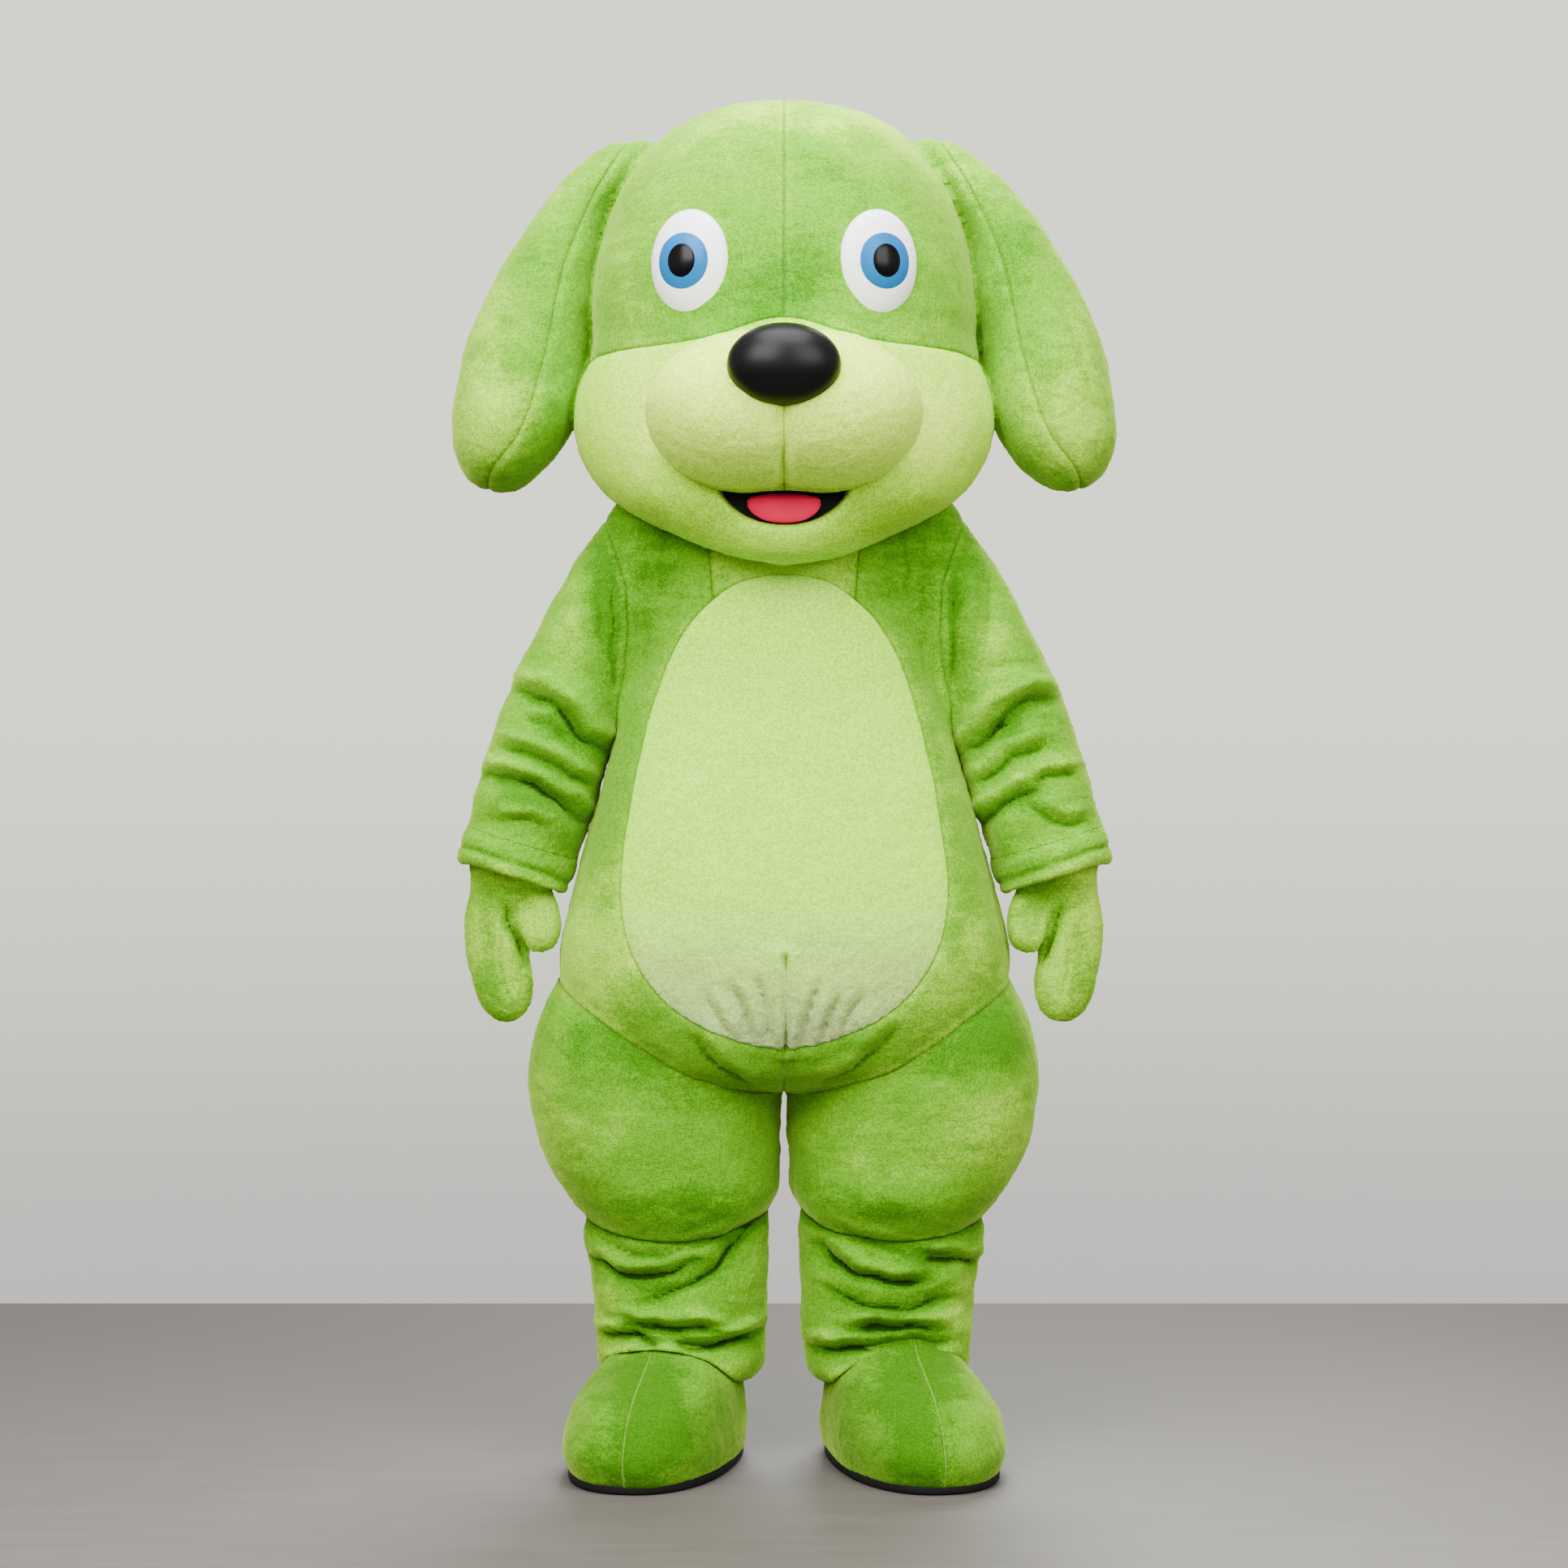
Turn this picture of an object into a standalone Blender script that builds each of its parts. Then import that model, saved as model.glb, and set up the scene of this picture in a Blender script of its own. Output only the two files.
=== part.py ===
"""A plush dog costume: suit, head, mitts and boots, standing filled out as worn, with no wearer.

Heights in the tables are metres above the floor. The costume hangs on its wearer's shoulders,
so an empty at minus the shoulder height carries every piece and the origin is at the shoulders.
The front faces -Y, +X is the costume's left side and +Z is up.
"""

import math
from collections import namedtuple

import bmesh
import bpy
import numpy as np

# Driving dimensions
SHOULDER_HEIGHT = 1.370
SEAM = 0.0003
PLUSH_WALL = 0.005
CUFF_WALL = 0.010
MITT_WALL = 0.004
BOOT_WALL = 0.006
HEAD_WALL = 0.018
SOLE_THICKNESS = 0.014
LINING_THICKNESS = 0.003
FAR = 1.0
HEADROOM = 2.0
HALF_STEP = 0.5
TINY = 1e-6
FRONT_ONLY_Y = -0.020
FACE_ONLY_Y = -0.180
SLEEVE_SEAM_Y = 0.004
MITT_MIDDLE_Y = -0.024
MITT_RIM = 0.001
SOLE_SPREAD = 1.012
FOLD_RIDGE = 0.45
FOLD_RIDGE_AT = 1.7
BELLY_POINTS = 12
SEAT_POINTS = 14
MOUTH_POINTS = 13
TONGUE_POINTS = 9
BACK_SEAM_POINTS = 7
SLEEVE_POWER = 2.1
TAIL_POWER = 2.0
TOE_OUT = math.radians(11.0)
SMOOTH_ANGLE = math.radians(50.0)
FRONT_BACK = (("front", -1.0), ("back", 1.0))
SIDES = (("right", -1.0), ("left", 1.0))

# Sections of the forms that stand upright, bottom to top
Section = namedtuple("Section", "height middle half_width front back power")
TORSO = [
    Section(0.512, 0.0, 0.000, 0.000, 0.000, 2.0),
    Section(0.518, 0.0, 0.095, 0.085, 0.090, 2.1),
    Section(0.532, 0.0, 0.180, 0.150, 0.150, 2.2),
    Section(0.556, 0.0, 0.242, 0.188, 0.182, 2.2),
    Section(0.600, 0.0, 0.290, 0.212, 0.206, 2.2),
    Section(0.650, 0.0, 0.311, 0.224, 0.220, 2.2),
    Section(0.710, 0.0, 0.315, 0.230, 0.222, 2.2),
    Section(0.790, 0.0, 0.296, 0.227, 0.204, 2.2),
    Section(0.860, 0.0, 0.279, 0.219, 0.186, 2.2),
    Section(0.940, 0.0, 0.256, 0.206, 0.168, 2.2),
    Section(1.020, 0.0, 0.234, 0.190, 0.154, 2.2),
    Section(1.090, 0.0, 0.217, 0.174, 0.145, 2.2),
    Section(1.150, 0.0, 0.213, 0.160, 0.139, 2.2),
    Section(1.217, 0.0, 0.219, 0.146, 0.133, 2.2),
    Section(1.270, 0.0, 0.238, 0.134, 0.126, 2.2),
    Section(1.312, 0.0, 0.250, 0.121, 0.117, 2.2),
    Section(1.345, 0.0, 0.236, 0.107, 0.106, 2.1),
    Section(1.370, 0.0, 0.200, 0.097, 0.097, 2.1),
    Section(1.390, 0.0, 0.152, 0.088, 0.090, 2.0),
    Section(1.410, 0.0, 0.124, 0.084, 0.086, 2.0),
    Section(1.435, 0.0, 0.118, 0.082, 0.084, 2.0),
]
HEAD = [
    Section(1.238, 0.0, 0.000, 0.195, -0.195, 2.0),
    Section(1.252, 0.0, 0.069, 0.243, -0.135, 2.1),
    Section(1.275, 0.0, 0.128, 0.262, -0.060, 2.2),
    Section(1.306, 0.0, 0.192, 0.271, 0.045, 2.2),
    Section(1.340, 0.0, 0.241, 0.274, 0.130, 2.2),
    Section(1.374, 0.0, 0.270, 0.274, 0.190, 2.2),
    Section(1.412, 0.0, 0.288, 0.272, 0.225, 2.2),
    Section(1.452, 0.0, 0.294, 0.270, 0.243, 2.2),
    Section(1.496, 0.0, 0.288, 0.267, 0.253, 2.2),
    Section(1.534, 0.0, 0.275, 0.262, 0.257, 2.2),
    Section(1.560, 0.0, 0.270, 0.260, 0.259, 2.2),
    Section(1.600, 0.0, 0.271, 0.262, 0.260, 2.2),
    Section(1.660, 0.0, 0.265, 0.258, 0.254, 2.2),
    Section(1.720, 0.0, 0.252, 0.244, 0.241, 2.1),
    Section(1.780, 0.0, 0.228, 0.219, 0.218, 2.1),
    Section(1.830, 0.0, 0.192, 0.183, 0.184, 2.0),
    Section(1.865, 0.0, 0.148, 0.141, 0.142, 2.0),
    Section(1.888, 0.0, 0.094, 0.090, 0.092, 2.0),
    Section(1.900, 0.0, 0.000, 0.000, 0.000, 2.0),
]
THIGH = [
    Section(0.312, 0.150, 0.000, 0.000, 0.000, 2.0),
    Section(0.320, 0.150, 0.074, 0.075, 0.060, 2.0),
    Section(0.338, 0.152, 0.116, 0.116, 0.098, 2.1),
    Section(0.372, 0.157, 0.145, 0.140, 0.130, 2.2),
    Section(0.420, 0.171, 0.165, 0.152, 0.150, 2.2),
    Section(0.480, 0.179, 0.175, 0.157, 0.161, 2.2),
    Section(0.536, 0.181, 0.1775, 0.158, 0.164, 2.2),
    Section(0.590, 0.180, 0.172, 0.153, 0.160, 2.2),
    Section(0.640, 0.178, 0.155, 0.138, 0.146, 2.1),
    Section(0.690, 0.176, 0.122, 0.108, 0.116, 2.0),
    Section(0.728, 0.175, 0.074, 0.064, 0.070, 2.0),
    Section(0.742, 0.175, 0.000, 0.000, 0.000, 2.0),
]
SHIN = [
    Section(0.098, 0.148, 0.109, 0.110, 0.109, 2.1),
    Section(0.140, 0.143, 0.115, 0.114, 0.112, 2.1),
    Section(0.190, 0.145, 0.120, 0.117, 0.113, 2.1),
    Section(0.240, 0.146, 0.122, 0.118, 0.114, 2.1),
    Section(0.290, 0.150, 0.128, 0.118, 0.115, 2.1),
    Section(0.340, 0.150, 0.132, 0.114, 0.112, 2.1),
    Section(0.395, 0.150, 0.124, 0.104, 0.102, 2.1),
]
EAR = [
    Section(1.355, 0.398, 0.000, 0.000, 0.000, 2.0),
    Section(1.361, 0.398, 0.027, 0.046, 0.046, 2.0),
    Section(1.382, 0.396, 0.055, 0.084, 0.084, 2.0),
    Section(1.412, 0.389, 0.074, 0.108, 0.108, 2.1),
    Section(1.452, 0.380, 0.086, 0.122, 0.122, 2.1),
    Section(1.509, 0.371, 0.088, 0.126, 0.126, 2.1),
    Section(1.589, 0.351, 0.084, 0.118, 0.118, 2.1),
    Section(1.669, 0.328, 0.067, 0.102, 0.102, 2.0),
    Section(1.738, 0.298, 0.054, 0.084, 0.084, 2.0),
    Section(1.800, 0.251, 0.049, 0.064, 0.064, 2.0),
    Section(1.838, 0.216, 0.037, 0.040, 0.040, 2.0),
    Section(1.852, 0.204, 0.000, 0.000, 0.000, 2.0),
]
MITT = [
    Section(0.613, 0.389, 0.000, 0.000, 0.000, 2.0),
    Section(0.616, 0.389, 0.016, 0.012, 0.012, 2.0),
    Section(0.632, 0.390, 0.034, 0.025, 0.025, 2.0),
    Section(0.662, 0.393, 0.043, 0.032, 0.032, 2.1),
    Section(0.705, 0.400, 0.045, 0.036, 0.036, 2.1),
    Section(0.750, 0.399, 0.048, 0.042, 0.042, 2.1),
    Section(0.790, 0.384, 0.056, 0.050, 0.050, 2.0),
    Section(0.815, 0.378, 0.061, 0.066, 0.066, 2.0),
    Section(0.842, 0.373, 0.070, 0.078, 0.078, 2.0),
]
# Boot sections lie along the foot: front is the toe's reach, back is the heel's, from the ankle
BOOT = [
    Section(0.0143, 0.016, 0.110, 0.278, 0.150, 2.3),
    Section(0.040, 0.017, 0.117, 0.286, 0.156, 2.3),
    Section(0.080, 0.015, 0.113, 0.272, 0.145, 2.2),
    Section(0.115, 0.009, 0.102, 0.236, 0.122, 2.2),
    Section(0.145, 0.004, 0.087, 0.184, 0.104, 2.1),
    Section(0.170, 0.001, 0.079, 0.130, 0.099, 2.0),
    Section(0.195, 0.000, 0.075, 0.098, 0.095, 2.0),
    Section(0.245, 0.000, 0.073, 0.082, 0.088, 2.0),
]
ANKLE_X = 0.148
BOOT_SEAM_X = 0.012

# How many rings each form has along it, and how many points each ring has
RINGS = {
    "torso": (15, 24),
    "head": (13, 20),
    "sleeve": (13, 12),
    "cuff": (4, 12),
    "thigh": (10, 14),
    "shin": (9, 12),
    "mitt": (7, 10),
    "thumb": (5, 6),
    "boot": (7, 16),
    "ear": (10, 10),
    "tail": (8, 8),
}
LUMP_RINGS = (6, 12)
MUZZLE_RINGS = (8, 12)
IRIS_RINGS = (5, 10)

# Sections of the forms that follow a path: the centre, and the half sizes across and deep
Station = namedtuple("Station", "x y z half_across half_deep")
SLEEVE = [
    Station(0.152, 0.000, 1.277, 0.092, 0.094),
    Station(0.192, -0.001, 1.238, 0.093, 0.096),
    Station(0.232, -0.003, 1.190, 0.087, 0.096),
    Station(0.271, -0.006, 1.130, 0.080, 0.094),
    Station(0.300, -0.010, 1.068, 0.083, 0.092),
    Station(0.327, -0.015, 0.990, 0.081, 0.090),
    Station(0.3520, -0.020, 0.910, 0.0815, 0.087),
    Station(0.3670, -0.023, 0.862, 0.0800, 0.085),
]
CUFF = [
    Station(0.3672, -0.023, 0.8612, 0.0810, 0.086),
    Station(0.3706, -0.0235, 0.850, 0.0830, 0.089),
    Station(0.3755, -0.0245, 0.835, 0.0815, 0.089),
    Station(0.3815, -0.0255, 0.818, 0.0780, 0.087),
    Station(0.3845, -0.0260, 0.808, 0.0740, 0.083),
]
THUMB = [
    Station(0.370, -0.030, 0.812, 0.000, 0.000),
    Station(0.364, -0.033, 0.804, 0.020, 0.018),
    Station(0.351, -0.040, 0.784, 0.028, 0.026),
    Station(0.341, -0.046, 0.758, 0.030, 0.028),
    Station(0.337, -0.050, 0.734, 0.0265, 0.025),
    Station(0.336, -0.052, 0.716, 0.017, 0.016),
    Station(0.336, -0.053, 0.708, 0.000, 0.000),
]
TAIL = [
    Station(0.000, 0.168, 0.822, 0.000, 0.000),
    Station(0.000, 0.182, 0.812, 0.028, 0.022),
    Station(0.000, 0.214, 0.776, 0.050, 0.034),
    Station(0.002, 0.245, 0.712, 0.0605, 0.040),
    Station(0.005, 0.262, 0.645, 0.0580, 0.038),
    Station(0.010, 0.268, 0.585, 0.0440, 0.030),
    Station(0.015, 0.268, 0.546, 0.0240, 0.018),
    Station(0.017, 0.267, 0.530, 0.000, 0.000),
]

# Folds: where along the form, the angle round it, reach round it, width along, depth and slant
Fold = namedtuple("Fold", "along angle reach width depth slant")
SLEEVE_FOLDS = {
    "right": [
        Fold(0.40, -70.0, 75.0, 0.035, 0.008, 0.05),
        Fold(0.53, -120.0, 80.0, 0.035, 0.010, -0.06),
        Fold(0.66, -60.0, 85.0, 0.032, 0.011, 0.07),
        Fold(0.80, -110.0, 90.0, 0.030, 0.010, -0.04),
        Fold(0.50, 80.0, 80.0, 0.035, 0.009, 0.04),
        Fold(0.68, 110.0, 80.0, 0.032, 0.010, -0.05),
        Fold(0.84, 70.0, 80.0, 0.030, 0.009, 0.04),
    ],
    "left": [
        Fold(0.42, -100.0, 75.0, 0.035, 0.009, -0.05),
        Fold(0.56, -65.0, 80.0, 0.035, 0.010, 0.06),
        Fold(0.69, -115.0, 85.0, 0.032, 0.011, -0.06),
        Fold(0.82, -75.0, 90.0, 0.030, 0.010, 0.05),
        Fold(0.48, 105.0, 80.0, 0.035, 0.009, -0.04),
        Fold(0.65, 75.0, 80.0, 0.032, 0.010, 0.05),
        Fold(0.83, 100.0, 80.0, 0.030, 0.009, -0.04),
    ],
}
SHIN_FOLDS = {
    "right": [
        Fold(0.20, -75.0, 90.0, 0.045, 0.010, 0.04),
        Fold(0.36, -105.0, 80.0, 0.045, 0.008, -0.05),
        Fold(0.64, -70.0, 95.0, 0.045, 0.011, 0.04),
        Fold(0.24, 80.0, 90.0, 0.045, 0.009, -0.04),
        Fold(0.62, 100.0, 90.0, 0.045, 0.010, 0.05),
    ],
    "left": [
        Fold(0.18, -105.0, 90.0, 0.045, 0.010, -0.04),
        Fold(0.34, -75.0, 80.0, 0.045, 0.008, 0.05),
        Fold(0.66, -110.0, 95.0, 0.045, 0.011, -0.04),
        Fold(0.22, 100.0, 90.0, 0.045, 0.009, 0.04),
        Fold(0.60, 80.0, 90.0, 0.045, 0.010, -0.05),
    ],
}

# Outlines drawn on the front or the back, in metres across and up
Width = namedtuple("Width", "height half_width")
BELLY = [
    Width(0.588, 0.016),
    Width(0.593, 0.048),
    Width(0.606, 0.086),
    Width(0.641, 0.150),
    Width(0.680, 0.188),
    Width(0.731, 0.214),
    Width(0.796, 0.224),
    Width(0.856, 0.220),
    Width(0.956, 0.203),
    Width(1.055, 0.180),
    Width(1.130, 0.150),
    Width(1.190, 0.104),
    Width(1.222, 0.056),
    Width(1.230, 0.018),
]
YOKE_TOP_HALF = 0.150
YOKE_FOOT_HALF = 0.098
YOKE_FOOT_HEIGHT = 1.195
SEAT_ARCH_FOOT = 0.800
SEAT_ARCH_RISE = 0.130
SEAT_ARCH_HALF = 0.300
SEAT_ARCH_ROUNDING = 0.7
SEAT_FOOT = 0.300
HEAD_BACK_SEAM = [
    Width(1.350, 0.108),
    Width(1.418, 0.122),
    Width(1.556, 0.154),
    Width(1.682, 0.163),
    Width(1.813, 0.166),
    Width(1.930, 0.150),
]
HEAD_CROWN_SEAM_Y = 0.030
EAR_SEAM = [
    Width(1.300, 0.430),
    Width(1.368, 0.412),
    Width(1.420, 0.368),
    Width(1.525, 0.330),
    Width(1.669, 0.300),
    Width(1.760, 0.262),
    Width(1.900, 0.190),
]
# Seen from the side, as distance back and height
FACE_SIDE_OUTLINE = [(-0.50, 1.10), (-0.50, 1.542), (0.010, 1.530), (0.045, 1.480), (0.070, 1.10)]
HEAD_RIM_OUTLINE = [
    (0.40, 1.404),
    (0.18, 1.394),
    (0.06, 1.372),
    (-0.02, 1.340),
    (-0.08, 1.296),
    (-0.122, 1.235),
    (-0.122, 1.10),
    (0.40, 1.10),
]
MOUTH_TOP = 1.352
MOUTH_HALF = 0.092
MOUTH_DROP = 0.066
MOUTH_SAG = 0.006
TONGUE_TOP = 1.320
TONGUE_HALF = 0.052
TONGUE_DROP = 0.031
TONGUE_RISE = 0.010
TONGUE_FRONT = 0.007
LINING_MARGIN = 0.014

# Stuffed lumps: centre, radii and yaw in degrees
Lump = namedtuple("Lump", "x y z rx ry rz yaw")
MUZZLE = Lump(0.052, -0.278, 1.440, 0.132, 0.128, 0.104, 0.0)
NOSE = Lump(0.0, -0.396, 1.487, 0.074, 0.047, 0.054, 0.0)
EYE_WHITE = Lump(0.126, -0.227, 1.643, 0.057, 0.026, 0.072, 25.0)
# The iris and the pupil stand out from the middle of the white by their last value
Disc = namedtuple("Disc", "part slot rx ry rz out")
EYE_DISCS = [
    Disc("eye_iris", "eye_iris_vinyl", 0.041, 0.0145, 0.047, 0.0135),
    Disc("eye_pupil", "eye_pupil_vinyl", 0.0240, 0.0085, 0.0270, 0.0215),
]

COLOURS = {
    "plush_green": ((0.150, 0.430, 0.030), 0.92),
    "plush_belly": ((0.480, 0.720, 0.250), 0.92),
    "plush_face": ((0.430, 0.680, 0.170), 0.92),
    "sole_rubber": ((0.010, 0.010, 0.010), 0.70),
    "nose_vinyl": ((0.006, 0.006, 0.007), 0.35),
    "eye_white_vinyl": ((0.900, 0.900, 0.900), 0.30),
    "eye_iris_vinyl": ((0.010, 0.230, 0.480), 0.30),
    "eye_pupil_vinyl": ((0.004, 0.004, 0.004), 0.25),
    "mouth_mesh": ((0.004, 0.004, 0.004), 0.90),
    "tongue_felt": ((0.720, 0.030, 0.090), 0.85),
}


def curve_through(rows, count):
    """Reads a table at count places, evenly along its length, on a cubic through its rows."""
    table = np.array(rows, dtype=float)
    steps = np.linalg.norm(np.diff(table, axis=0), axis=1)
    knots = np.concatenate([[0.0], np.cumsum(steps)])
    slopes = np.gradient(table, knots, axis=0)
    at = np.linspace(0.0, knots[-1], count)
    row = np.clip(np.searchsorted(knots, at, side="right") - 1, 0, len(knots) - 2)
    span = (knots[row + 1] - knots[row])[:, None]
    s = (at[:, None] - knots[row][:, None]) / span
    start = (2 * s**3 - 3 * s**2 + 1) * table[row]
    leave = (s**3 - 2 * s**2 + s) * span * slopes[row]
    end = (-2 * s**3 + 3 * s**2) * table[row + 1]
    arrive = (s**3 - s**2) * span * slopes[row + 1]
    return start + leave + end + arrive


def ring_angles(around, straddle=0.0):
    """Evenly spaced angles; a straddle of half a step keeps points off the centre seam."""
    return (np.arange(around) + straddle) * 2.0 * math.pi / around


def round_section(around, power, straddle=0.0):
    """The cosine and sine of a ring, squared off by the power of its section."""
    angle = ring_angles(around, straddle)
    swell = math.cos(math.pi / around) ** -0.5
    cosine = np.sign(np.cos(angle)) * np.abs(np.cos(angle)) ** (2.0 / power)
    sine = np.sign(np.sin(angle)) * np.abs(np.sin(angle)) ** (2.0 / power)
    return cosine * swell, sine * swell


def upright_rings(sections, along, around, straddle=0.0):
    """Rings of an upright form: front is towards -Y and back towards +Y."""
    rings = []
    for height, middle, half_width, front, back, power in curve_through(sections, along):
        cosine, sine = round_section(around, power, straddle)
        centre_y = (back - front) / 2.0
        half_deep = (back + front) / 2.0
        x = middle + max(half_width, 0.0) * cosine
        y = centre_y + half_deep * sine
        rings.append(np.column_stack([x, y, np.full(around, height)]))
    return np.array(rings)


def path_rings(stations, along, around):
    """Rings across a path in the X-Z plane: they lie square to it and deepen along Y."""
    table = curve_through(stations, along)
    centres = table[:, :3]
    run = np.gradient(centres, axis=0)
    run /= np.linalg.norm(run, axis=1)[:, None]
    across = np.cross(np.tile([0.0, 1.0, 0.0], (along, 1)), run)
    across /= np.linalg.norm(across, axis=1)[:, None]
    deep = np.cross(run, across)
    cosine, sine = round_section(around, SLEEVE_POWER)
    rings = []
    for row in range(along):
        reach_across = max(table[row, 3], 0.0) * cosine
        reach_deep = max(table[row, 4], 0.0) * sine
        rings.append(
            centres[row]
            + across[row] * reach_across[:, None]
            + deep[row] * reach_deep[:, None]
        )
    return np.array(rings)


def tail_rings(stations, along, around):
    """Rings square to the tail's path, which lies in the Y-Z plane: across is X."""
    table = curve_through(stations, along)
    centres = table[:, :3]
    run = np.gradient(centres, axis=0)
    run[:, 0] = 0.0
    run /= np.linalg.norm(run, axis=1)[:, None]
    deep = np.cross(run, np.tile([1.0, 0.0, 0.0], (along, 1)))
    cosine, sine = round_section(around, TAIL_POWER)
    rings = []
    for row in range(along):
        ring = centres[row] + deep[row] * (max(table[row, 4], 0.0) * sine)[:, None]
        ring[:, 0] += max(table[row, 3], 0.0) * cosine
        rings.append(ring)
    return np.array(rings)


def outward(rings):
    """Unit normals of a grid of rings, pointing away from each ring's middle."""
    round_step = np.roll(rings, -1, axis=1) - np.roll(rings, 1, axis=1)
    along_step = np.gradient(rings, axis=0)
    normals = np.cross(round_step, along_step)
    sizes = np.linalg.norm(normals, axis=2, keepdims=True)
    normals = np.divide(normals, sizes, out=np.zeros_like(normals), where=sizes > TINY**2)
    away = rings - rings.mean(axis=1, keepdims=True)
    if (normals * away).sum() < 0.0:
        normals = -normals
    for end, beside in ((0, 1), (-1, -2)):
        if np.ptp(rings[end], axis=0).max() < TINY:
            pole = normals[beside].mean(axis=0)
            normals[end] = pole / np.linalg.norm(pole)
    return normals


def folded(rings, folds):
    """Presses each fold of a table into the rings as a soft trough."""
    along, around = rings.shape[:2]
    place = np.linspace(0.0, 1.0, along)[:, None]
    angle = np.degrees(ring_angles(around))[None, :]
    press = np.zeros((along, around))
    for fold in folds:
        turn = (angle - fold.angle + 180.0) % 360.0 - 180.0
        window = np.where(np.abs(turn) < fold.reach, np.cos(turn / fold.reach * math.pi / 2.0), 0.0)
        off = (place - fold.along - fold.slant * turn / fold.reach) / fold.width
        ridge = FOLD_RIDGE * np.exp(-((off - FOLD_RIDGE_AT) ** 2))
        press += fold.depth * window * (np.exp(-(off**2)) - ridge)
    for end in (0, -1):
        if np.ptp(rings[end], axis=0).max() < TINY:
            press[end] = 0.0
    return rings - outward(rings) * press[:, :, None]


def new_object(name, vertices, faces):
    """Makes an object from a closed surface, turned so that its volume is positive."""
    mesh = bpy.data.meshes.new(name)
    mesh.from_pydata([tuple(float(c) for c in vertex) for vertex in vertices], [], faces)
    shape = bmesh.new()
    shape.from_mesh(mesh)
    if shape.calc_volume(signed=True) < 0.0:
        bmesh.ops.reverse_faces(shape, faces=shape.faces)
    shape.to_mesh(mesh)
    shape.free()
    thing = bpy.data.objects.new(name, mesh)
    bpy.context.collection.objects.link(thing)
    return thing


def skin_faces(rings, first):
    """Vertices and faces of one skin of rings; an end ring of no size becomes a pole."""
    along, around = rings.shape[:2]
    vertices = []
    rows = []
    for ring in rings:
        if np.ptp(ring, axis=0).max() < TINY:
            rows.append([first + len(vertices)] * around)
            vertices.append(ring[0])
        else:
            rows.append([first + len(vertices) + place for place in range(around)])
            vertices.extend(ring)
    faces = []
    for lower, upper in zip(rows, rows[1:]):
        for place in range(around):
            beside = (place + 1) % around
            for corners in ((lower[place], lower[beside], upper[beside]),
                            (lower[place], upper[beside], upper[place])):
                if len(set(corners)) == 3:
                    faces.append(corners)
    return vertices, faces, rows


def solid(name, rings, offset=0.0):
    """A filled form: one skin with flat caps where it has no pole."""
    grown = rings + outward(rings) * offset
    vertices, faces, rows = skin_faces(grown, 0)
    if len(set(rows[0])) > 1:
        faces.append(tuple(reversed(rows[0])))
    if len(set(rows[-1])) > 1:
        faces.append(tuple(rows[-1]))
    return new_object(name, vertices, faces)


def shell(name, rings, wall, outside=0.0):
    """A wall: an outer and an inner skin, joined by a rim at each open end."""
    normals = outward(rings)
    outer_skin = rings + normals * outside
    inner_skin = rings + normals * (outside - wall)
    vertices, faces, outer = skin_faces(outer_skin, 0)
    more, inner_faces, inner = skin_faces(inner_skin, len(vertices))
    faces += [tuple(reversed(face)) for face in inner_faces]
    around = rings.shape[1]
    for place in range(around):
        beside = (place + 1) % around
        if len(set(outer[0])) > 1:
            faces.append((outer[0][beside], outer[0][place], inner[0][place], inner[0][beside]))
        if len(set(outer[-1])) > 1:
            faces.append((outer[-1][place], outer[-1][beside], inner[-1][beside], inner[-1][place]))
    return new_object(name, vertices + more, faces)


def grow(outline, by):
    """Moves a closed outline outwards in its plane by a distance."""
    points = np.array(outline, dtype=float)
    area = np.cross(points, np.roll(points, -1, axis=0)).sum()
    edge = np.roll(points, -1, axis=0) - points
    edge /= np.linalg.norm(edge, axis=1)[:, None]
    side = np.column_stack([edge[:, 1], -edge[:, 0]]) * np.sign(area)
    corner = side + np.roll(side, 1, axis=0)
    corner /= (1.0 + (side * np.roll(side, 1, axis=0)).sum(axis=1))[:, None]
    return points + corner * by


def prism(name, outline, axis, low, high):
    """Extrudes an outline along X or Y; its points are the other two coordinates."""
    count = len(outline)
    vertices = []
    for level in (low, high):
        for first, second in outline:
            vertices.append((level, first, second) if axis == "X" else (first, level, second))
    faces = [tuple(range(count)), tuple(range(2 * count - 1, count - 1, -1))]
    for place in range(count):
        beside = (place + 1) % count
        faces.append((beside, place, count + place, count + beside))
    return new_object(name, vertices, faces)


def block(name, low, high):
    """A box between two corners."""
    outline = [(low[0], low[2]), (high[0], low[2]), (high[0], high[2]), (low[0], high[2])]
    return prism(name, outline, "Y", low[1], high[1])


def is_sound(mesh):
    """Whether a mesh is a closed surface round some volume."""
    shape = bmesh.new()
    shape.from_mesh(mesh)
    closed = all(edge.is_manifold for edge in shape.edges)
    sound = len(shape.faces) > 0 and closed and shape.calc_volume(signed=True) > 0.0
    shape.free()
    return sound


def combine(thing, other, operation):
    """Applies a Boolean of another object to this one: exact, or manifold where exact fails."""
    for solver in ("EXACT", "MANIFOLD"):
        step = thing.modifiers.new(operation.lower(), "BOOLEAN")
        step.operation = operation
        step.solver = solver
        step.object = other
        done = thing.evaluated_get(bpy.context.evaluated_depsgraph_get())
        mesh = bpy.data.meshes.new_from_object(done)
        thing.modifiers.clear()
        if is_sound(mesh):
            break
    thing.data = mesh
    return thing


def cut(thing, *cutters):
    """Takes each cutter away from an object."""
    for cutter in cutters:
        combine(thing, cutter, "DIFFERENCE")
    return thing


def keep(thing, *regions):
    """Keeps what an object shares with each region."""
    for region in regions:
        combine(thing, region, "INTERSECT")
    return thing


def copy_of(thing, name):
    """A second object with its own copy of the mesh."""
    twin = bpy.data.objects.new(name, thing.data.copy())
    bpy.context.collection.objects.link(twin)
    return twin


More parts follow.
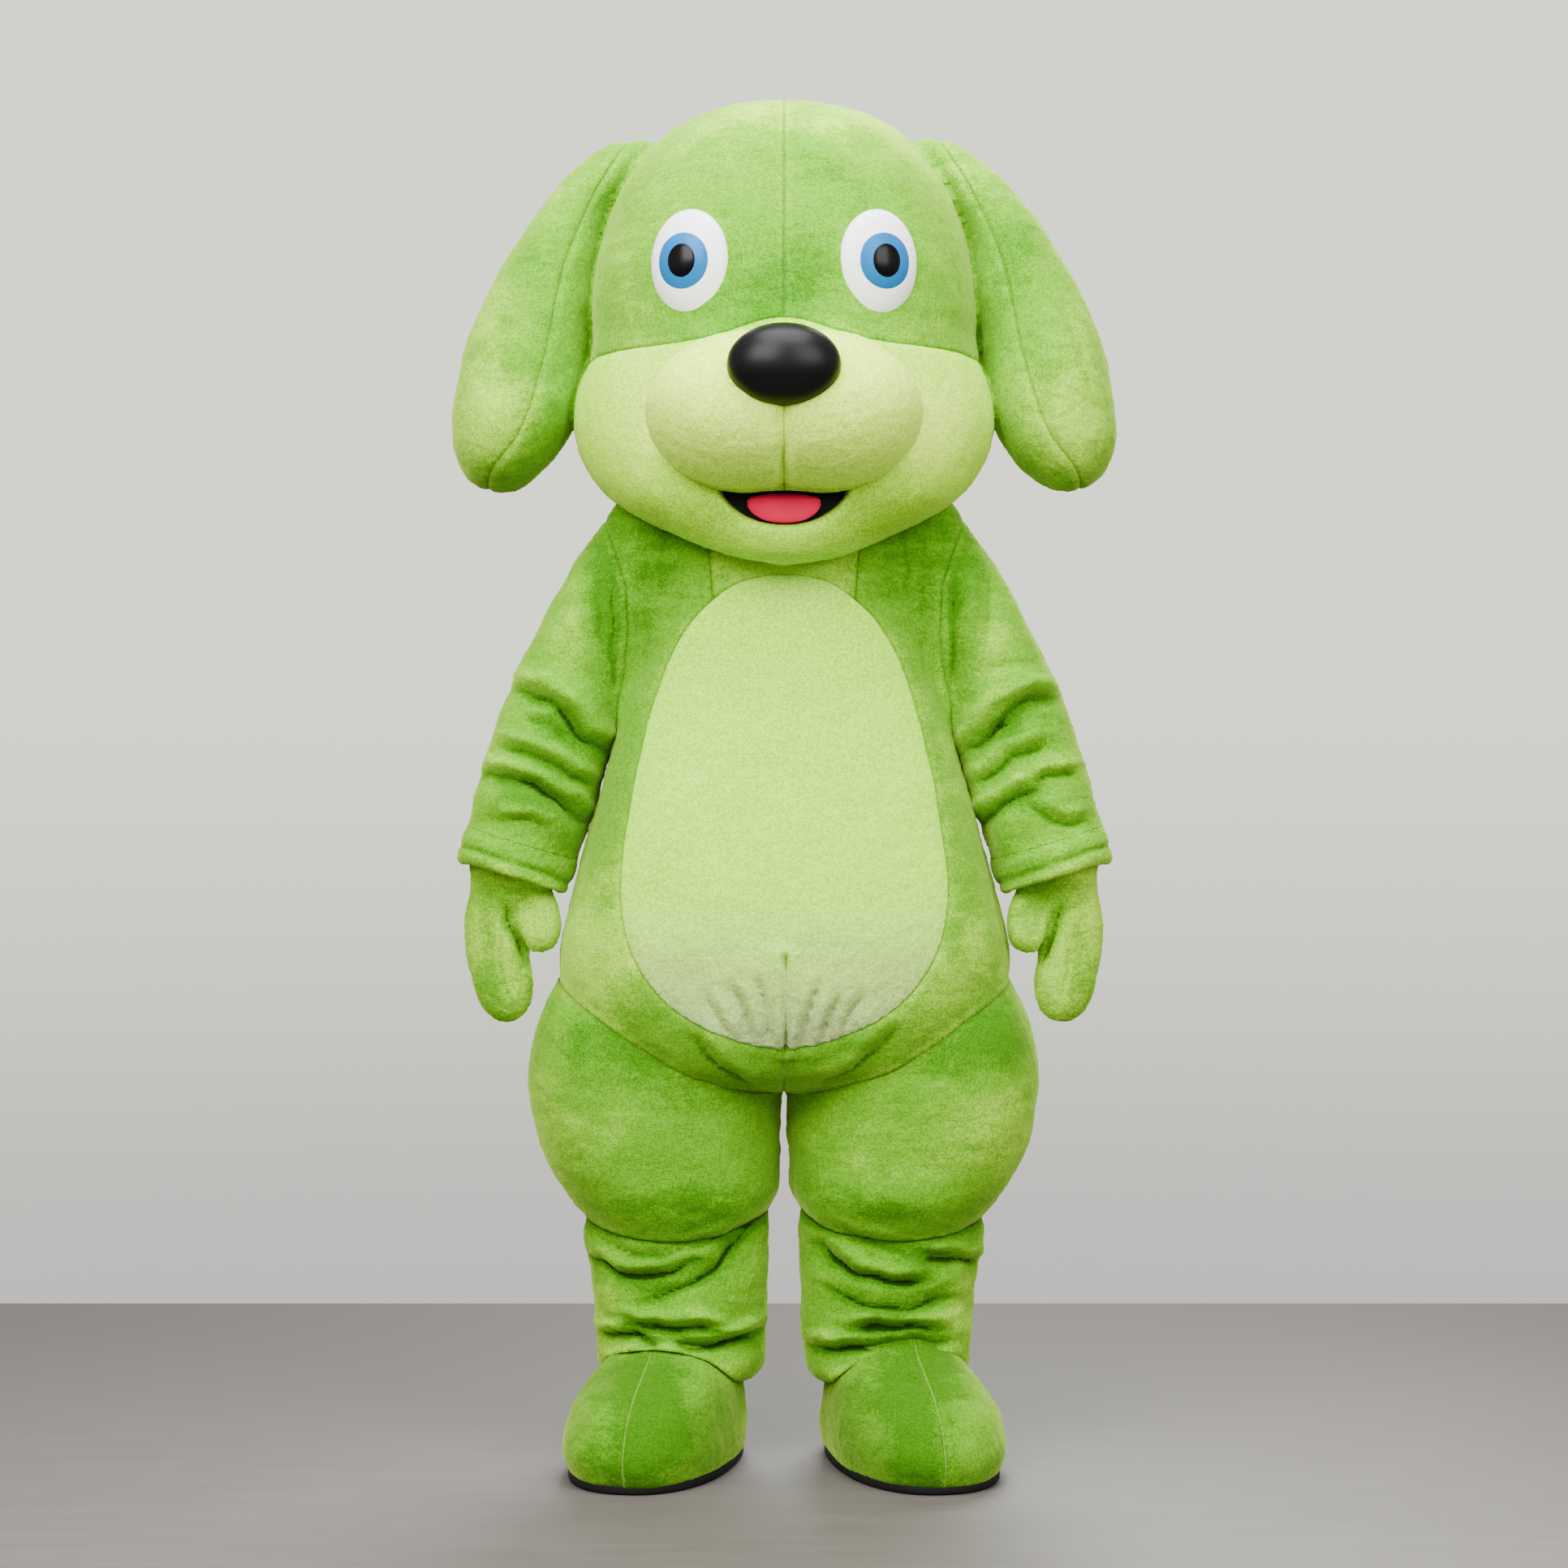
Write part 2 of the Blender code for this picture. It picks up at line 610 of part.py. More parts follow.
def discard(*things):
    """Removes shapes that only served to cut."""
    for thing in things:
        bpy.data.objects.remove(thing)


def to_side(rings, side):
    """Mirrors rings made for +X to the side asked for."""
    return rings * np.array([side, 1.0, 1.0])


def side_block(side):
    """Everything on one side of the centre seam."""
    inner, outer = sorted((side * SEAM / 2.0, side * FAR))
    return block("half", (inner, -FAR, 0.0), (outer, FAR, HEADROOM))


def depth_block(sign, at=0.0):
    """Everything in front of (-1) or behind (+1) a seam at one depth."""
    near, far = sorted((at + sign * SEAM / 2.0, sign * FAR))
    return block("half", (-FAR, near, 0.0), (FAR, far, HEADROOM))


def material(name):
    """The plain finish of a slot."""
    found = bpy.data.materials.get(name)
    if found:
        return found
    colour, roughness = COLOURS[name]
    made = bpy.data.materials.new(name)
    made.use_nodes = True
    shader = made.node_tree.nodes["Principled BSDF"]
    shader.inputs["Base Color"].default_value = (*colour, 1.0)
    shader.inputs["Roughness"].default_value = roughness
    shader.inputs["Metallic"].default_value = 0.0
    return made


def finish(thing, slot):
    """Gives a finished piece its material and shading and hangs it on the costume."""
    thing.data.materials.clear()
    thing.data.materials.append(material(slot))
    for face in thing.data.polygons:
        face.material_index = 0
    thing.data.shade_smooth()
    thing.data.set_sharp_from_angle(angle=SMOOTH_ANGLE)
    thing.parent = bpy.data.objects["costume"]
    return thing


def mirrored_outline(rows, count):
    """A closed outline from half widths, read smoothly and mirrored across the middle."""
    half = curve_through(rows, count)
    right = [(width, height) for height, width in half]
    left = [(-width, height) for height, width in half[::-1]]
    return right + left


def half_oval(top, half, drop, sag, count):
    """A smile: a level top that sags a little over a half oval."""
    angles = np.linspace(0.0, math.pi, count)
    lower = [(half * math.cos(a), top - drop * math.sin(a)) for a in angles]
    upper = [(half * math.cos(a), top - sag * math.sin(a)) for a in angles[-2:0:-1]]
    return lower + upper


def seat_outline():
    """The arch over the seat panels, closed below the crotch."""
    angles = np.linspace(0.0, math.pi, SEAT_POINTS)
    rise = SEAT_ARCH_RISE * np.sin(angles) ** SEAT_ARCH_ROUNDING
    arch = [(SEAT_ARCH_HALF * math.cos(a), SEAT_ARCH_FOOT + up) for a, up in zip(angles, rise)]
    return [(FAR / 2.0, SEAT_FOOT), (FAR / 2.0, SEAT_ARCH_FOOT), *arch,
            (-FAR / 2.0, SEAT_ARCH_FOOT), (-FAR / 2.0, SEAT_FOOT)]


def lump(name, shape, side=1.0, grown=0.0, count=LUMP_RINGS):
    """An ellipsoid of the radii named, grown by a distance and turned by its yaw."""
    rings, across = count
    angles = np.linspace(-math.pi / 2.0, math.pi / 2.0, rings + 1)
    turns = ring_angles(across, HALF_STEP)
    radii = np.array([shape.rx, shape.ry, shape.rz]) + grown
    yaw = math.radians(shape.yaw) * side
    spin = np.array([[math.cos(yaw), -math.sin(yaw), 0.0], [math.sin(yaw), math.cos(yaw), 0.0],
                     [0.0, 0.0, 1.0]])
    layers = []
    for angle in angles:
        level = math.cos(angle) if abs(angle) < math.pi / 2.0 - TINY else 0.0
        layers.append(np.column_stack([
            level * np.cos(turns) * radii[0],
            np.full(across, math.sin(angle) * radii[1]),
            level * np.sin(turns) * radii[2],
        ]))
    placed = np.array(layers) @ spin.T + np.array([side * shape.x, shape.y, shape.z])
    return solid(name, placed)


def build_torso(torso_rings, sleeves, thighs):
    """The body of the suit: its wall, opened for sleeves and legs, then cut into panels."""
    wall = shell("torso_wall", torso_rings, PLUSH_WALL)
    holes = [solid("hole", rings, -PLUSH_WALL) for rings in (*sleeves.values(), *thighs.values())]
    cut(wall, *holes)
    belly = mirrored_outline(BELLY, BELLY_POINTS)
    yoke = [(-YOKE_TOP_HALF, HEADROOM), (-YOKE_FOOT_HALF, YOKE_FOOT_HEIGHT),
            (YOKE_FOOT_HALF, YOKE_FOOT_HEIGHT), (YOKE_TOP_HALF, HEADROOM)]
    inside, outside = -SEAM / 2.0, SEAM / 2.0
    belly_in = prism("belly_in", grow(belly, inside), "Y", -FAR, FRONT_ONLY_Y)
    belly_out = prism("belly_out", grow(belly, outside), "Y", -FAR, FRONT_ONLY_Y)
    yoke_in = prism("yoke_in", grow(yoke, inside), "Y", -FAR, 0.0)
    yoke_out = prism("yoke_out", grow(yoke, outside), "Y", -FAR, 0.0)
    seat_in = prism("seat_in", grow(seat_outline(), inside), "Y", 0.0, FAR)
    seat_out = prism("seat_out", grow(seat_outline(), outside), "Y", 0.0, FAR)
    front, back = depth_block(-1.0), depth_block(1.0)
    front_wall = keep(copy_of(wall, "front_wall"), front)
    back_wall = keep(copy_of(wall, "back_wall"), back)
    finish(keep(copy_of(front_wall, "belly_patch"), belly_in), "plush_belly")
    cut(front_wall, belly_out)
    finish(keep(copy_of(front_wall, "neck_yoke"), yoke_in), "plush_green")
    cut(front_wall, yoke_out)
    seat_wall = keep(copy_of(back_wall, "seat_wall"), seat_in)
    cut(back_wall, seat_out)
    for name, side in SIDES:
        half = side_block(side)
        for panel, source in (("body_front", front_wall), ("body_back", back_wall),
                              ("seat", seat_wall)):
            finish(keep(copy_of(source, f"{panel}_{name}"), half), "plush_green")
        discard(half)
    discard(wall, front_wall, back_wall, seat_wall, *holes, front, back)
    discard(belly_in, belly_out, yoke_in, yoke_out, seat_in, seat_out)


def cuff_rings(side):
    """The rings of the rolled cuff at the end of a sleeve."""
    return to_side(path_rings(CUFF, *RINGS["cuff"]), side)


def build_sleeve(name, side, rings, torso_grown):
    """A sleeve in a front and a back piece, sewn into the armhole."""
    wall = cut(shell("sleeve_wall", rings, PLUSH_WALL), torso_grown)
    for place, sign in FRONT_BACK:
        half = depth_block(sign, SLEEVE_SEAM_Y)
        finish(keep(copy_of(wall, f"sleeve_{place}_{name}"), half), "plush_green")
        discard(half)
    finish(shell(f"cuff_{name}", cuff_rings(side), CUFF_WALL), "plush_green")
    discard(wall)


def build_leg(name, side, thigh, shin, boot, torso_grown):
    """A ballooned thigh over a narrow shin, each in a front and a back piece."""
    thigh_grown = solid("thigh_grown", thigh, SEAM)
    shin_inside = solid("shin_inside", shin, -PLUSH_WALL)
    boot_grown = solid("boot_grown", boot, SEAM)
    thigh_wall = cut(shell("thigh_wall", thigh, PLUSH_WALL), torso_grown, shin_inside)
    shin_wall = cut(shell("shin_wall", shin, PLUSH_WALL), thigh_grown, boot_grown)
    for place, sign in FRONT_BACK:
        half = depth_block(sign)
        finish(keep(copy_of(thigh_wall, f"thigh_{place}_{name}"), half), "plush_green")
        finish(keep(copy_of(shin_wall, f"shin_{place}_{name}"), half), "plush_green")
        discard(half)
    discard(thigh_grown, shin_inside, boot_grown, thigh_wall, shin_wall)


def build_mitt(name, side):
    """A mitt with its thumb, in a back-of-hand piece and a palm piece."""
    hand = to_side(upright_rings(MITT, *RINGS["mitt"]), side)
    hand[:, :, 1] += MITT_MIDDLE_Y
    thumb = to_side(path_rings(THUMB, *RINGS["thumb"]), side)
    thumb_skin = solid("thumb_skin", thumb)
    wall = combine(solid("mitt_wall", hand), thumb_skin, "UNION")
    hollow = solid("hollow", hand, -MITT_WALL)
    thumb_hollow = solid("thumb_hollow", thumb, -MITT_WALL)
    combine(hollow, thumb_hollow, "UNION")
    top = block("top", (-FAR, -FAR, MITT[-1].height - MITT_RIM), (FAR, FAR, FAR))
    cuff_grown = shell("cuff_grown", cuff_rings(side), CUFF_WALL + 2.0 * SEAM, SEAM)
    cut(wall, hollow, top, cuff_grown)
    for place, sign in FRONT_BACK:
        half = depth_block(sign, MITT_MIDDLE_Y)
        finish(keep(copy_of(wall, f"mitt_{place}_{name}"), half), "plush_green")
        discard(half)
    discard(wall, thumb_skin, hollow, thumb_hollow, top, cuff_grown)


def turned_out(points, side):
    """Turns points about the ankle's middle so that the toe points outwards, and sets them there."""
    turn = TOE_OUT * side
    spin = np.array([[math.cos(turn), -math.sin(turn), 0.0], [math.sin(turn), math.cos(turn), 0.0],
                     [0.0, 0.0, 1.0]])
    return points @ spin.T + np.array([ANKLE_X * side, 0.0, 0.0])


def boot_rings(side):
    """Boot sections turned out from the ankle."""
    return turned_out(to_side(upright_rings(BOOT, *RINGS["boot"]), side), side)


def build_boot(name, side, rings):
    """A boot upper in an inner and an outer quarter on a flat sole."""
    wall = shell("boot_wall", rings, BOOT_WALL)
    for place, sign in (("inner", -side), ("outer", side)):
        half = side_block(sign)
        corners = np.array([vertex.co[:] for vertex in half.data.vertices])
        turned = turned_out(corners + np.array([BOOT_SEAM_X * side, 0.0, 0.0]), side)
        half.data.vertices.foreach_set("co", turned.ravel())
        finish(keep(copy_of(wall, f"boot_{place}_{name}"), half), "plush_green")
        discard(half)
    middle = rings[0].mean(axis=0)
    outline = middle + (rings[0] - middle) * SOLE_SPREAD
    tread = np.array([outline, outline])
    tread[0, :, 2] = 0.0
    tread[1, :, 2] = SOLE_THICKNESS
    finish(solid(f"sole_{name}", tread), "sole_rubber")
    discard(wall)


def build_head(rings, torso_grown):
    """The head: a foam-backed wall in crown, back and face pieces, with what is sewn on it."""
    head_grown = solid("head_grown", rings, SEAM)
    wall = shell("head_wall", rings, HEAD_WALL)
    below = prism("below", HEAD_RIM_OUTLINE, "X", -FAR, FAR)
    mouth = half_oval(MOUTH_TOP, MOUTH_HALF, MOUTH_DROP, MOUTH_SAG, MOUTH_POINTS)
    mouth_hole = prism("mouth_hole", mouth, "Y", -FAR, FACE_ONLY_Y)
    cut(wall, below, torso_grown, mouth_hole)
    face_in = prism("face_in", grow(FACE_SIDE_OUTLINE, -SEAM / 2.0), "X", -FAR, FAR)
    face_out = prism("face_out", grow(FACE_SIDE_OUTLINE, SEAM / 2.0), "X", -FAR, FAR)
    back = mirrored_outline(HEAD_BACK_SEAM, BACK_SEAM_POINTS)
    back_in = prism("back_in", grow(back, -SEAM / 2.0), "Y", HEAD_CROWN_SEAM_Y + SEAM, FAR)
    back_out = prism("back_out", grow(back, SEAM / 2.0), "Y", HEAD_CROWN_SEAM_Y, FAR)
    finish(keep(copy_of(wall, "head_face"), face_in), "plush_face")
    cut(wall, face_out)
    for name, side in SIDES:
        half = side_block(side)
        panel = keep(copy_of(wall, f"head_back_{name}"), half, back_in)
        finish(panel, "plush_green")
        finish(cut(keep(copy_of(wall, f"head_crown_{name}"), half), back_out), "plush_green")
        discard(half)
    lining = shell("mouth_lining", rings, LINING_THICKNESS, -HEAD_WALL - SEAM)
    lining_hole = prism("lining_hole", grow(mouth, LINING_MARGIN), "Y", -FAR, FACE_ONLY_Y)
    finish(keep(lining, lining_hole), "mouth_mesh")
    tongue = shell("tongue", rings, HEAD_WALL - TONGUE_FRONT, -TONGUE_FRONT)
    tip = half_oval(TONGUE_TOP, TONGUE_HALF, TONGUE_DROP, -TONGUE_RISE, TONGUE_POINTS)
    tongue_hole = prism("tongue_hole", tip, "Y", -FAR, FACE_ONLY_Y)
    finish(keep(tongue, tongue_hole), "tongue_felt")
    discard(wall, below, mouth_hole, face_in, face_out, back_in, back_out, lining_hole, tongue_hole)
    return head_grown


def build_muzzle(head_grown):
    """Two stuffed cheeks of the muzzle and the nose on them."""
    grown = []
    for name, side in SIDES:
        half = side_block(side)
        lobe = lump(f"muzzle_{name}", MUZZLE, side, 0.0, MUZZLE_RINGS)
        finish(cut(keep(lobe, half), head_grown), "plush_face")
        grown.append(lump("lobe_grown", MUZZLE, side, SEAM, MUZZLE_RINGS))
        discard(half)
    nose = lump("nose", NOSE, 1.0, 0.0, MUZZLE_RINGS)
    finish(cut(nose, *grown, head_grown), "nose_vinyl")
    discard(*grown)


def build_eyes(head_grown):
    """Domed eyes: a white with an iris and a pupil set on each other."""
    for name, side in SIDES:
        yaw = math.radians(EYE_WHITE.yaw)
        white = lump(f"eye_white_{name}", EYE_WHITE, side)
        finish(cut(white, head_grown), "eye_white_vinyl")
        below = [lump("white_grown", EYE_WHITE, side, SEAM)]
        for disc in EYE_DISCS:
            placed = EYE_WHITE._replace(
                x=EYE_WHITE.x + math.sin(yaw) * disc.out,
                y=EYE_WHITE.y - math.cos(yaw) * disc.out,
                rx=disc.rx,
                ry=disc.ry,
                rz=disc.rz,
            )
            piece = lump(f"{disc.part}_{name}", placed, side, 0.0, IRIS_RINGS)
            finish(cut(piece, *below), disc.slot)
            below.append(lump("disc_grown", placed, side, SEAM, IRIS_RINGS))
        discard(*below)


def build_ear(name, side, head_grown):
    """A stuffed ear in an outer and an inner piece, sewn to the side of the crown."""
    ear = solid("ear", to_side(upright_rings(EAR, *RINGS["ear"]), side))
    cut(ear, head_grown)
    line = [(row.half_width * side, row.height) for row in EAR_SEAM]
    closed = [*line, (0.0, EAR_SEAM[-1].height), (0.0, EAR_SEAM[0].height)]
    inner = prism("inner", grow(closed, -SEAM / 2.0), "Y", -FAR, FAR)
    outer = prism("outer", grow(closed, SEAM / 2.0), "Y", -FAR, FAR)
    finish(keep(copy_of(ear, f"ear_inner_{name}"), inner), "plush_green")
    finish(cut(copy_of(ear, f"ear_outer_{name}"), outer), "plush_green")
    discard(ear, inner, outer)


def main():
    """Builds the whole costume."""
    for thing in list(bpy.data.objects):
        bpy.data.objects.remove(thing)
    carrier = bpy.data.objects.new("costume", None)
    carrier.location = (0.0, 0.0, -SHOULDER_HEIGHT)
    bpy.context.collection.objects.link(carrier)

    torso = upright_rings(TORSO, *RINGS["torso"], HALF_STEP)
    head = upright_rings(HEAD, *RINGS["head"], HALF_STEP)
    sleeves = {}
    thighs = {}
    for name, side in SIDES:
        sleeve = folded(path_rings(SLEEVE, *RINGS["sleeve"]), SLEEVE_FOLDS[name])
        sleeves[name] = to_side(sleeve, side)
        thighs[name] = to_side(upright_rings(THIGH, *RINGS["thigh"]), side)
    torso_grown = solid("torso_grown", torso, SEAM)
    build_torso(torso, sleeves, thighs)
    for name, side in SIDES:
        boot = boot_rings(side)
        shin = folded(upright_rings(SHIN, *RINGS["shin"]), SHIN_FOLDS[name])
        shin = to_side(shin, side)
        build_sleeve(name, side, sleeves[name], torso_grown)
        build_leg(name, side, thighs[name], shin, boot, torso_grown)
        build_mitt(name, side)
        build_boot(name, side, boot)
    head_grown = build_head(head, torso_grown)
    build_muzzle(head_grown)
    build_eyes(head_grown)
    for name, side in SIDES:
        build_ear(name, side, head_grown)
    tail = solid("tail", tail_rings(TAIL, *RINGS["tail"]))
    finish(cut(tail, torso_grown), "plush_green")
    discard(torso_grown, head_grown)


main()
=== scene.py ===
"""Looks of a plush dog costume: suit, head, mitts and boots, standing filled out as on a wearer.

Heights in the tables are metres above the floor; every piece is set down by SHOULDER_HEIGHT, so that the
origin is at the wearer's shoulders as in the frame. The front faces -Y and +X is the costume's left.
"""

import logging
import math
from collections.abc import Callable, Sequence
from dataclasses import dataclass, field
from enum import Enum
from typing import NamedTuple

import bpy
import numpy as np
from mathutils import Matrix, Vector


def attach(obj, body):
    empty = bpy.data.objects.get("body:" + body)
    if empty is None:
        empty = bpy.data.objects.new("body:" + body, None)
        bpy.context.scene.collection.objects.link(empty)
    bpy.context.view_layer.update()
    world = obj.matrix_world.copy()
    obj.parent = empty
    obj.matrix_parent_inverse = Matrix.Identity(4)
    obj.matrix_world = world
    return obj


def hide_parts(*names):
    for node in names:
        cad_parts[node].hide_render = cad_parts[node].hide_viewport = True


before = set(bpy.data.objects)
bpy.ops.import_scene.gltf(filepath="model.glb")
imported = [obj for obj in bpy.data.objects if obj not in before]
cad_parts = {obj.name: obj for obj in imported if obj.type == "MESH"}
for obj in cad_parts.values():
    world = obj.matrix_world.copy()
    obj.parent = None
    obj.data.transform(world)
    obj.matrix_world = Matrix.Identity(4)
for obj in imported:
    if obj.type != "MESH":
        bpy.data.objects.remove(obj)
log = logging.getLogger("costume")

# Lengths are in metres throughout
SHOULDER_HEIGHT = 1.370
PLUSH_WALL = 0.005
PADDED_WALL = 0.008
# Between two pieces that are sewn to each other, and how deep their edges are drawn in
SEAM_GAP = 0.0001
SEAM_TUCK = 0.0022
# The farthest from a seam that a finish reads
SEAM_REACH = 0.030
# The suit's soft lumps: their height, and the pattern of its upper part
SUIT_LUMPS = 0.0016
SUIT_SEED = 3
# Picks the pattern of the pile's own roughness, and of a skin's other patterns beside its own seed
GRAIN_SEED = 7
SMALL_LUMPS_SEED = 50
STRAY_SEEDS = (70, 71)
ZONE_SEED = 90
# How the pile lies where it isn't brushed
UNBRUSHED = 0.5
# How finely the tables of sections, stations and widths are read
SECTION_READINGS = 500
STATION_READINGS = 300
BELLY_READINGS = 60
SEAM_READINGS = 50
# Half steps over which slopes are measured, and how points are drawn onto a skin
SECTION_HALF_STEP = 0.003
SLOPE_HALF_STEP = 0.0015
SETTLING_STEPS = 3
LEAST_SLOPE = 0.05
# Distances past an armhole over which the folds of body and sleeve die out
ARMHOLE_FADE = (-0.004, 0.012)
# A signed distance for where a cut doesn't reach
WELL_INSIDE = -1.0
# Guards against division by nothing
LEAST_HALF = 1e-4
AT_MIDDLE = 1e-5
LEAST_FAR = 1e-6
TINY = 1e-9
FAR_AWAY = 1e9

Array = np.ndarray
Depth = Callable[[Array], Array]
Socket, Node, Tree, Thing = bpy.types.NodeSocket, bpy.types.Node, bpy.types.NodeTree, bpy.types.Object
Corner = tuple[float, float, float]
Colour = tuple[float, float, float]


class Section(NamedTuple):
    """One section of an upright form: its height, its middle, its half sizes and how square it is."""

    height: float
    middle: float
    half_width: float
    front: float
    back: float
    power: float


class Station(NamedTuple):
    """One station of a form that follows a path: its centre and its half sizes."""

    x: float
    y: float
    z: float
    half_across: float
    half_deep: float


class Width(NamedTuple):
    """A half width at a height."""

    height: float
    half_width: float


class Lump(NamedTuple):
    """A rounded lump: its centre, its radii and its turn in degrees."""

    x: float
    y: float
    z: float
    rx: float
    ry: float
    rz: float
    yaw: float


class View(Enum):
    """The side of the costume that a fold is drawn on, as the sign of Y that it faces."""

    FRONT = -1.0
    BACK = 1.0


class Fold(NamedTuple):
    """A fold or a sewn line along a path of X and Z: a trough, or a ridge where its depth is negative."""

    view: View
    path: tuple[tuple[float, float], ...]
    width: float
    depth: float
    lip: float = 0.35
    sewn: bool = False


class Zone(NamedTuple):
    """A patch of pile, paler above 0 and deeper below: partly brushed pile, partly painted light on tops and
    painted shade under and between parts.
    """

    view: View
    x: float
    z: float
    rx: float
    rz: float
    shift: float


class Side(Enum):
    """The costume's right or left, as the sign of X."""

    RIGHT = -1.0
    LEFT = 1.0

    @property
    def word(self) -> str:
        """The side's name in a node's name."""
        return self.name.lower()


# Sections, bottom to top: height, middle, half width, front, back, power
TORSO = (
    Section(0.512, 0.0, 0.000, 0.000, 0.000, 2.0),
    Section(0.518, 0.0, 0.095, 0.085, 0.090, 2.1),
    Section(0.532, 0.0, 0.180, 0.150, 0.150, 2.2),
    Section(0.556, 0.0, 0.242, 0.188, 0.182, 2.2),
    Section(0.600, 0.0, 0.290, 0.212, 0.206, 2.2),
    Section(0.650, 0.0, 0.311, 0.224, 0.220, 2.2),
    Section(0.710, 0.0, 0.315, 0.230, 0.222, 2.2),
    Section(0.790, 0.0, 0.296, 0.227, 0.204, 2.2),
    Section(0.860, 0.0, 0.279, 0.219, 0.186, 2.2),
    Section(0.940, 0.0, 0.256, 0.206, 0.168, 2.2),
    Section(1.020, 0.0, 0.234, 0.190, 0.154, 2.2),
    Section(1.090, 0.0, 0.217, 0.174, 0.145, 2.2),
    Section(1.150, 0.0, 0.213, 0.160, 0.139, 2.2),
    Section(1.217, 0.0, 0.219, 0.146, 0.133, 2.2),
    Section(1.270, 0.0, 0.238, 0.134, 0.126, 2.2),
    Section(1.312, 0.0, 0.246, 0.121, 0.117, 2.2),
    Section(1.345, 0.0, 0.230, 0.108, 0.124, 2.2),
    Section(1.370, 0.0, 0.212, 0.099, 0.128, 2.2),
    Section(1.390, 0.0, 0.192, 0.091, 0.126, 2.2),
    Section(1.410, 0.0, 0.166, 0.086, 0.118, 2.1),
    Section(1.435, 0.0, 0.136, 0.082, 0.104, 2.0),
)
HEAD = (
    Section(1.238, 0.0, 0.000, 0.195, -0.195, 2.0),
    Section(1.252, 0.0, 0.069, 0.243, -0.135, 2.1),
    Section(1.275, 0.0, 0.128, 0.262, -0.060, 2.2),
    Section(1.306, 0.0, 0.192, 0.271, 0.045, 2.2),
    Section(1.340, 0.0, 0.241, 0.274, 0.130, 2.2),
    Section(1.374, 0.0, 0.270, 0.274, 0.190, 2.2),
    Section(1.412, 0.0, 0.288, 0.272, 0.225, 2.2),
    Section(1.452, 0.0, 0.294, 0.270, 0.243, 2.2),
    Section(1.496, 0.0, 0.288, 0.267, 0.253, 2.2),
    Section(1.534, 0.0, 0.275, 0.262, 0.257, 2.2),
    Section(1.560, 0.0, 0.270, 0.260, 0.259, 2.2),
    Section(1.600, 0.0, 0.271, 0.262, 0.260, 2.2),
    Section(1.660, 0.0, 0.265, 0.258, 0.254, 2.2),
    Section(1.720, 0.0, 0.252, 0.244, 0.241, 2.1),
    Section(1.780, 0.0, 0.228, 0.219, 0.218, 2.1),
    Section(1.830, 0.0, 0.192, 0.183, 0.184, 2.0),
    Section(1.865, 0.0, 0.148, 0.141, 0.142, 2.0),
    Section(1.888, 0.0, 0.094, 0.090, 0.092, 2.0),
    Section(1.900, 0.0, 0.000, 0.000, 0.000, 2.0),
)
THIGH = (
    Section(0.298, 0.152, 0.000, 0.030, -0.030, 2.0),
    Section(0.303, 0.152, 0.072, 0.084, 0.020, 2.0),
    Section(0.315, 0.152, 0.102, 0.114, 0.066, 2.0),
    Section(0.338, 0.153, 0.124, 0.134, 0.106, 2.1),
    Section(0.372, 0.157, 0.147, 0.149, 0.132, 2.2),
    Section(0.420, 0.171, 0.165, 0.152, 0.150, 2.2),
    Section(0.480, 0.179, 0.175, 0.157, 0.161, 2.2),
    Section(0.536, 0.181, 0.1775, 0.158, 0.164, 2.2),
    Section(0.590, 0.180, 0.172, 0.153, 0.160, 2.2),
    Section(0.640, 0.178, 0.155, 0.138, 0.146, 2.1),
    Section(0.690, 0.176, 0.122, 0.108, 0.116, 2.0),
    Section(0.728, 0.175, 0.074, 0.064, 0.070, 2.0),
    Section(0.742, 0.175, 0.000, 0.000, 0.000, 2.0),
)
SHIN = (
    Section(0.1090, 0.147, 0.098, 0.098, 0.098, 2.1),
    Section(0.1150, 0.146, 0.107, 0.109, 0.106, 2.1),
    Section(0.1280, 0.145, 0.115, 0.118, 0.112, 2.1),
    Section(0.1500, 0.144, 0.118, 0.121, 0.114, 2.1),
    Section(0.190, 0.145, 0.120, 0.117, 0.113, 2.1),
    Section(0.240, 0.146, 0.122, 0.118, 0.114, 2.1),
    Section(0.290, 0.150, 0.128, 0.118, 0.115, 2.1),
    Section(0.340, 0.150, 0.132, 0.114, 0.112, 2.1),
    Section(0.395, 0.150, 0.124, 0.104, 0.102, 2.1),
)
EAR = (
    Section(1.355, 0.398, 0.000, 0.000, 0.000, 2.0),
    Section(1.361, 0.398, 0.027, 0.046, 0.046, 2.0),
    Section(1.382, 0.396, 0.055, 0.084, 0.084, 2.0),
    Section(1.412, 0.389, 0.074, 0.108, 0.108, 2.1),
    Section(1.452, 0.380, 0.086, 0.122, 0.122, 2.1),
    Section(1.509, 0.371, 0.088, 0.126, 0.126, 2.1),
    Section(1.589, 0.351, 0.084, 0.118, 0.118, 2.1),
    Section(1.669, 0.328, 0.067, 0.102, 0.102, 2.0),
    Section(1.738, 0.298, 0.054, 0.084, 0.084, 2.0),
    Section(1.800, 0.251, 0.049, 0.064, 0.064, 2.0),
    Section(1.838, 0.216, 0.037, 0.040, 0.040, 2.0),
    Section(1.852, 0.204, 0.000, 0.000, 0.000, 2.0),
)
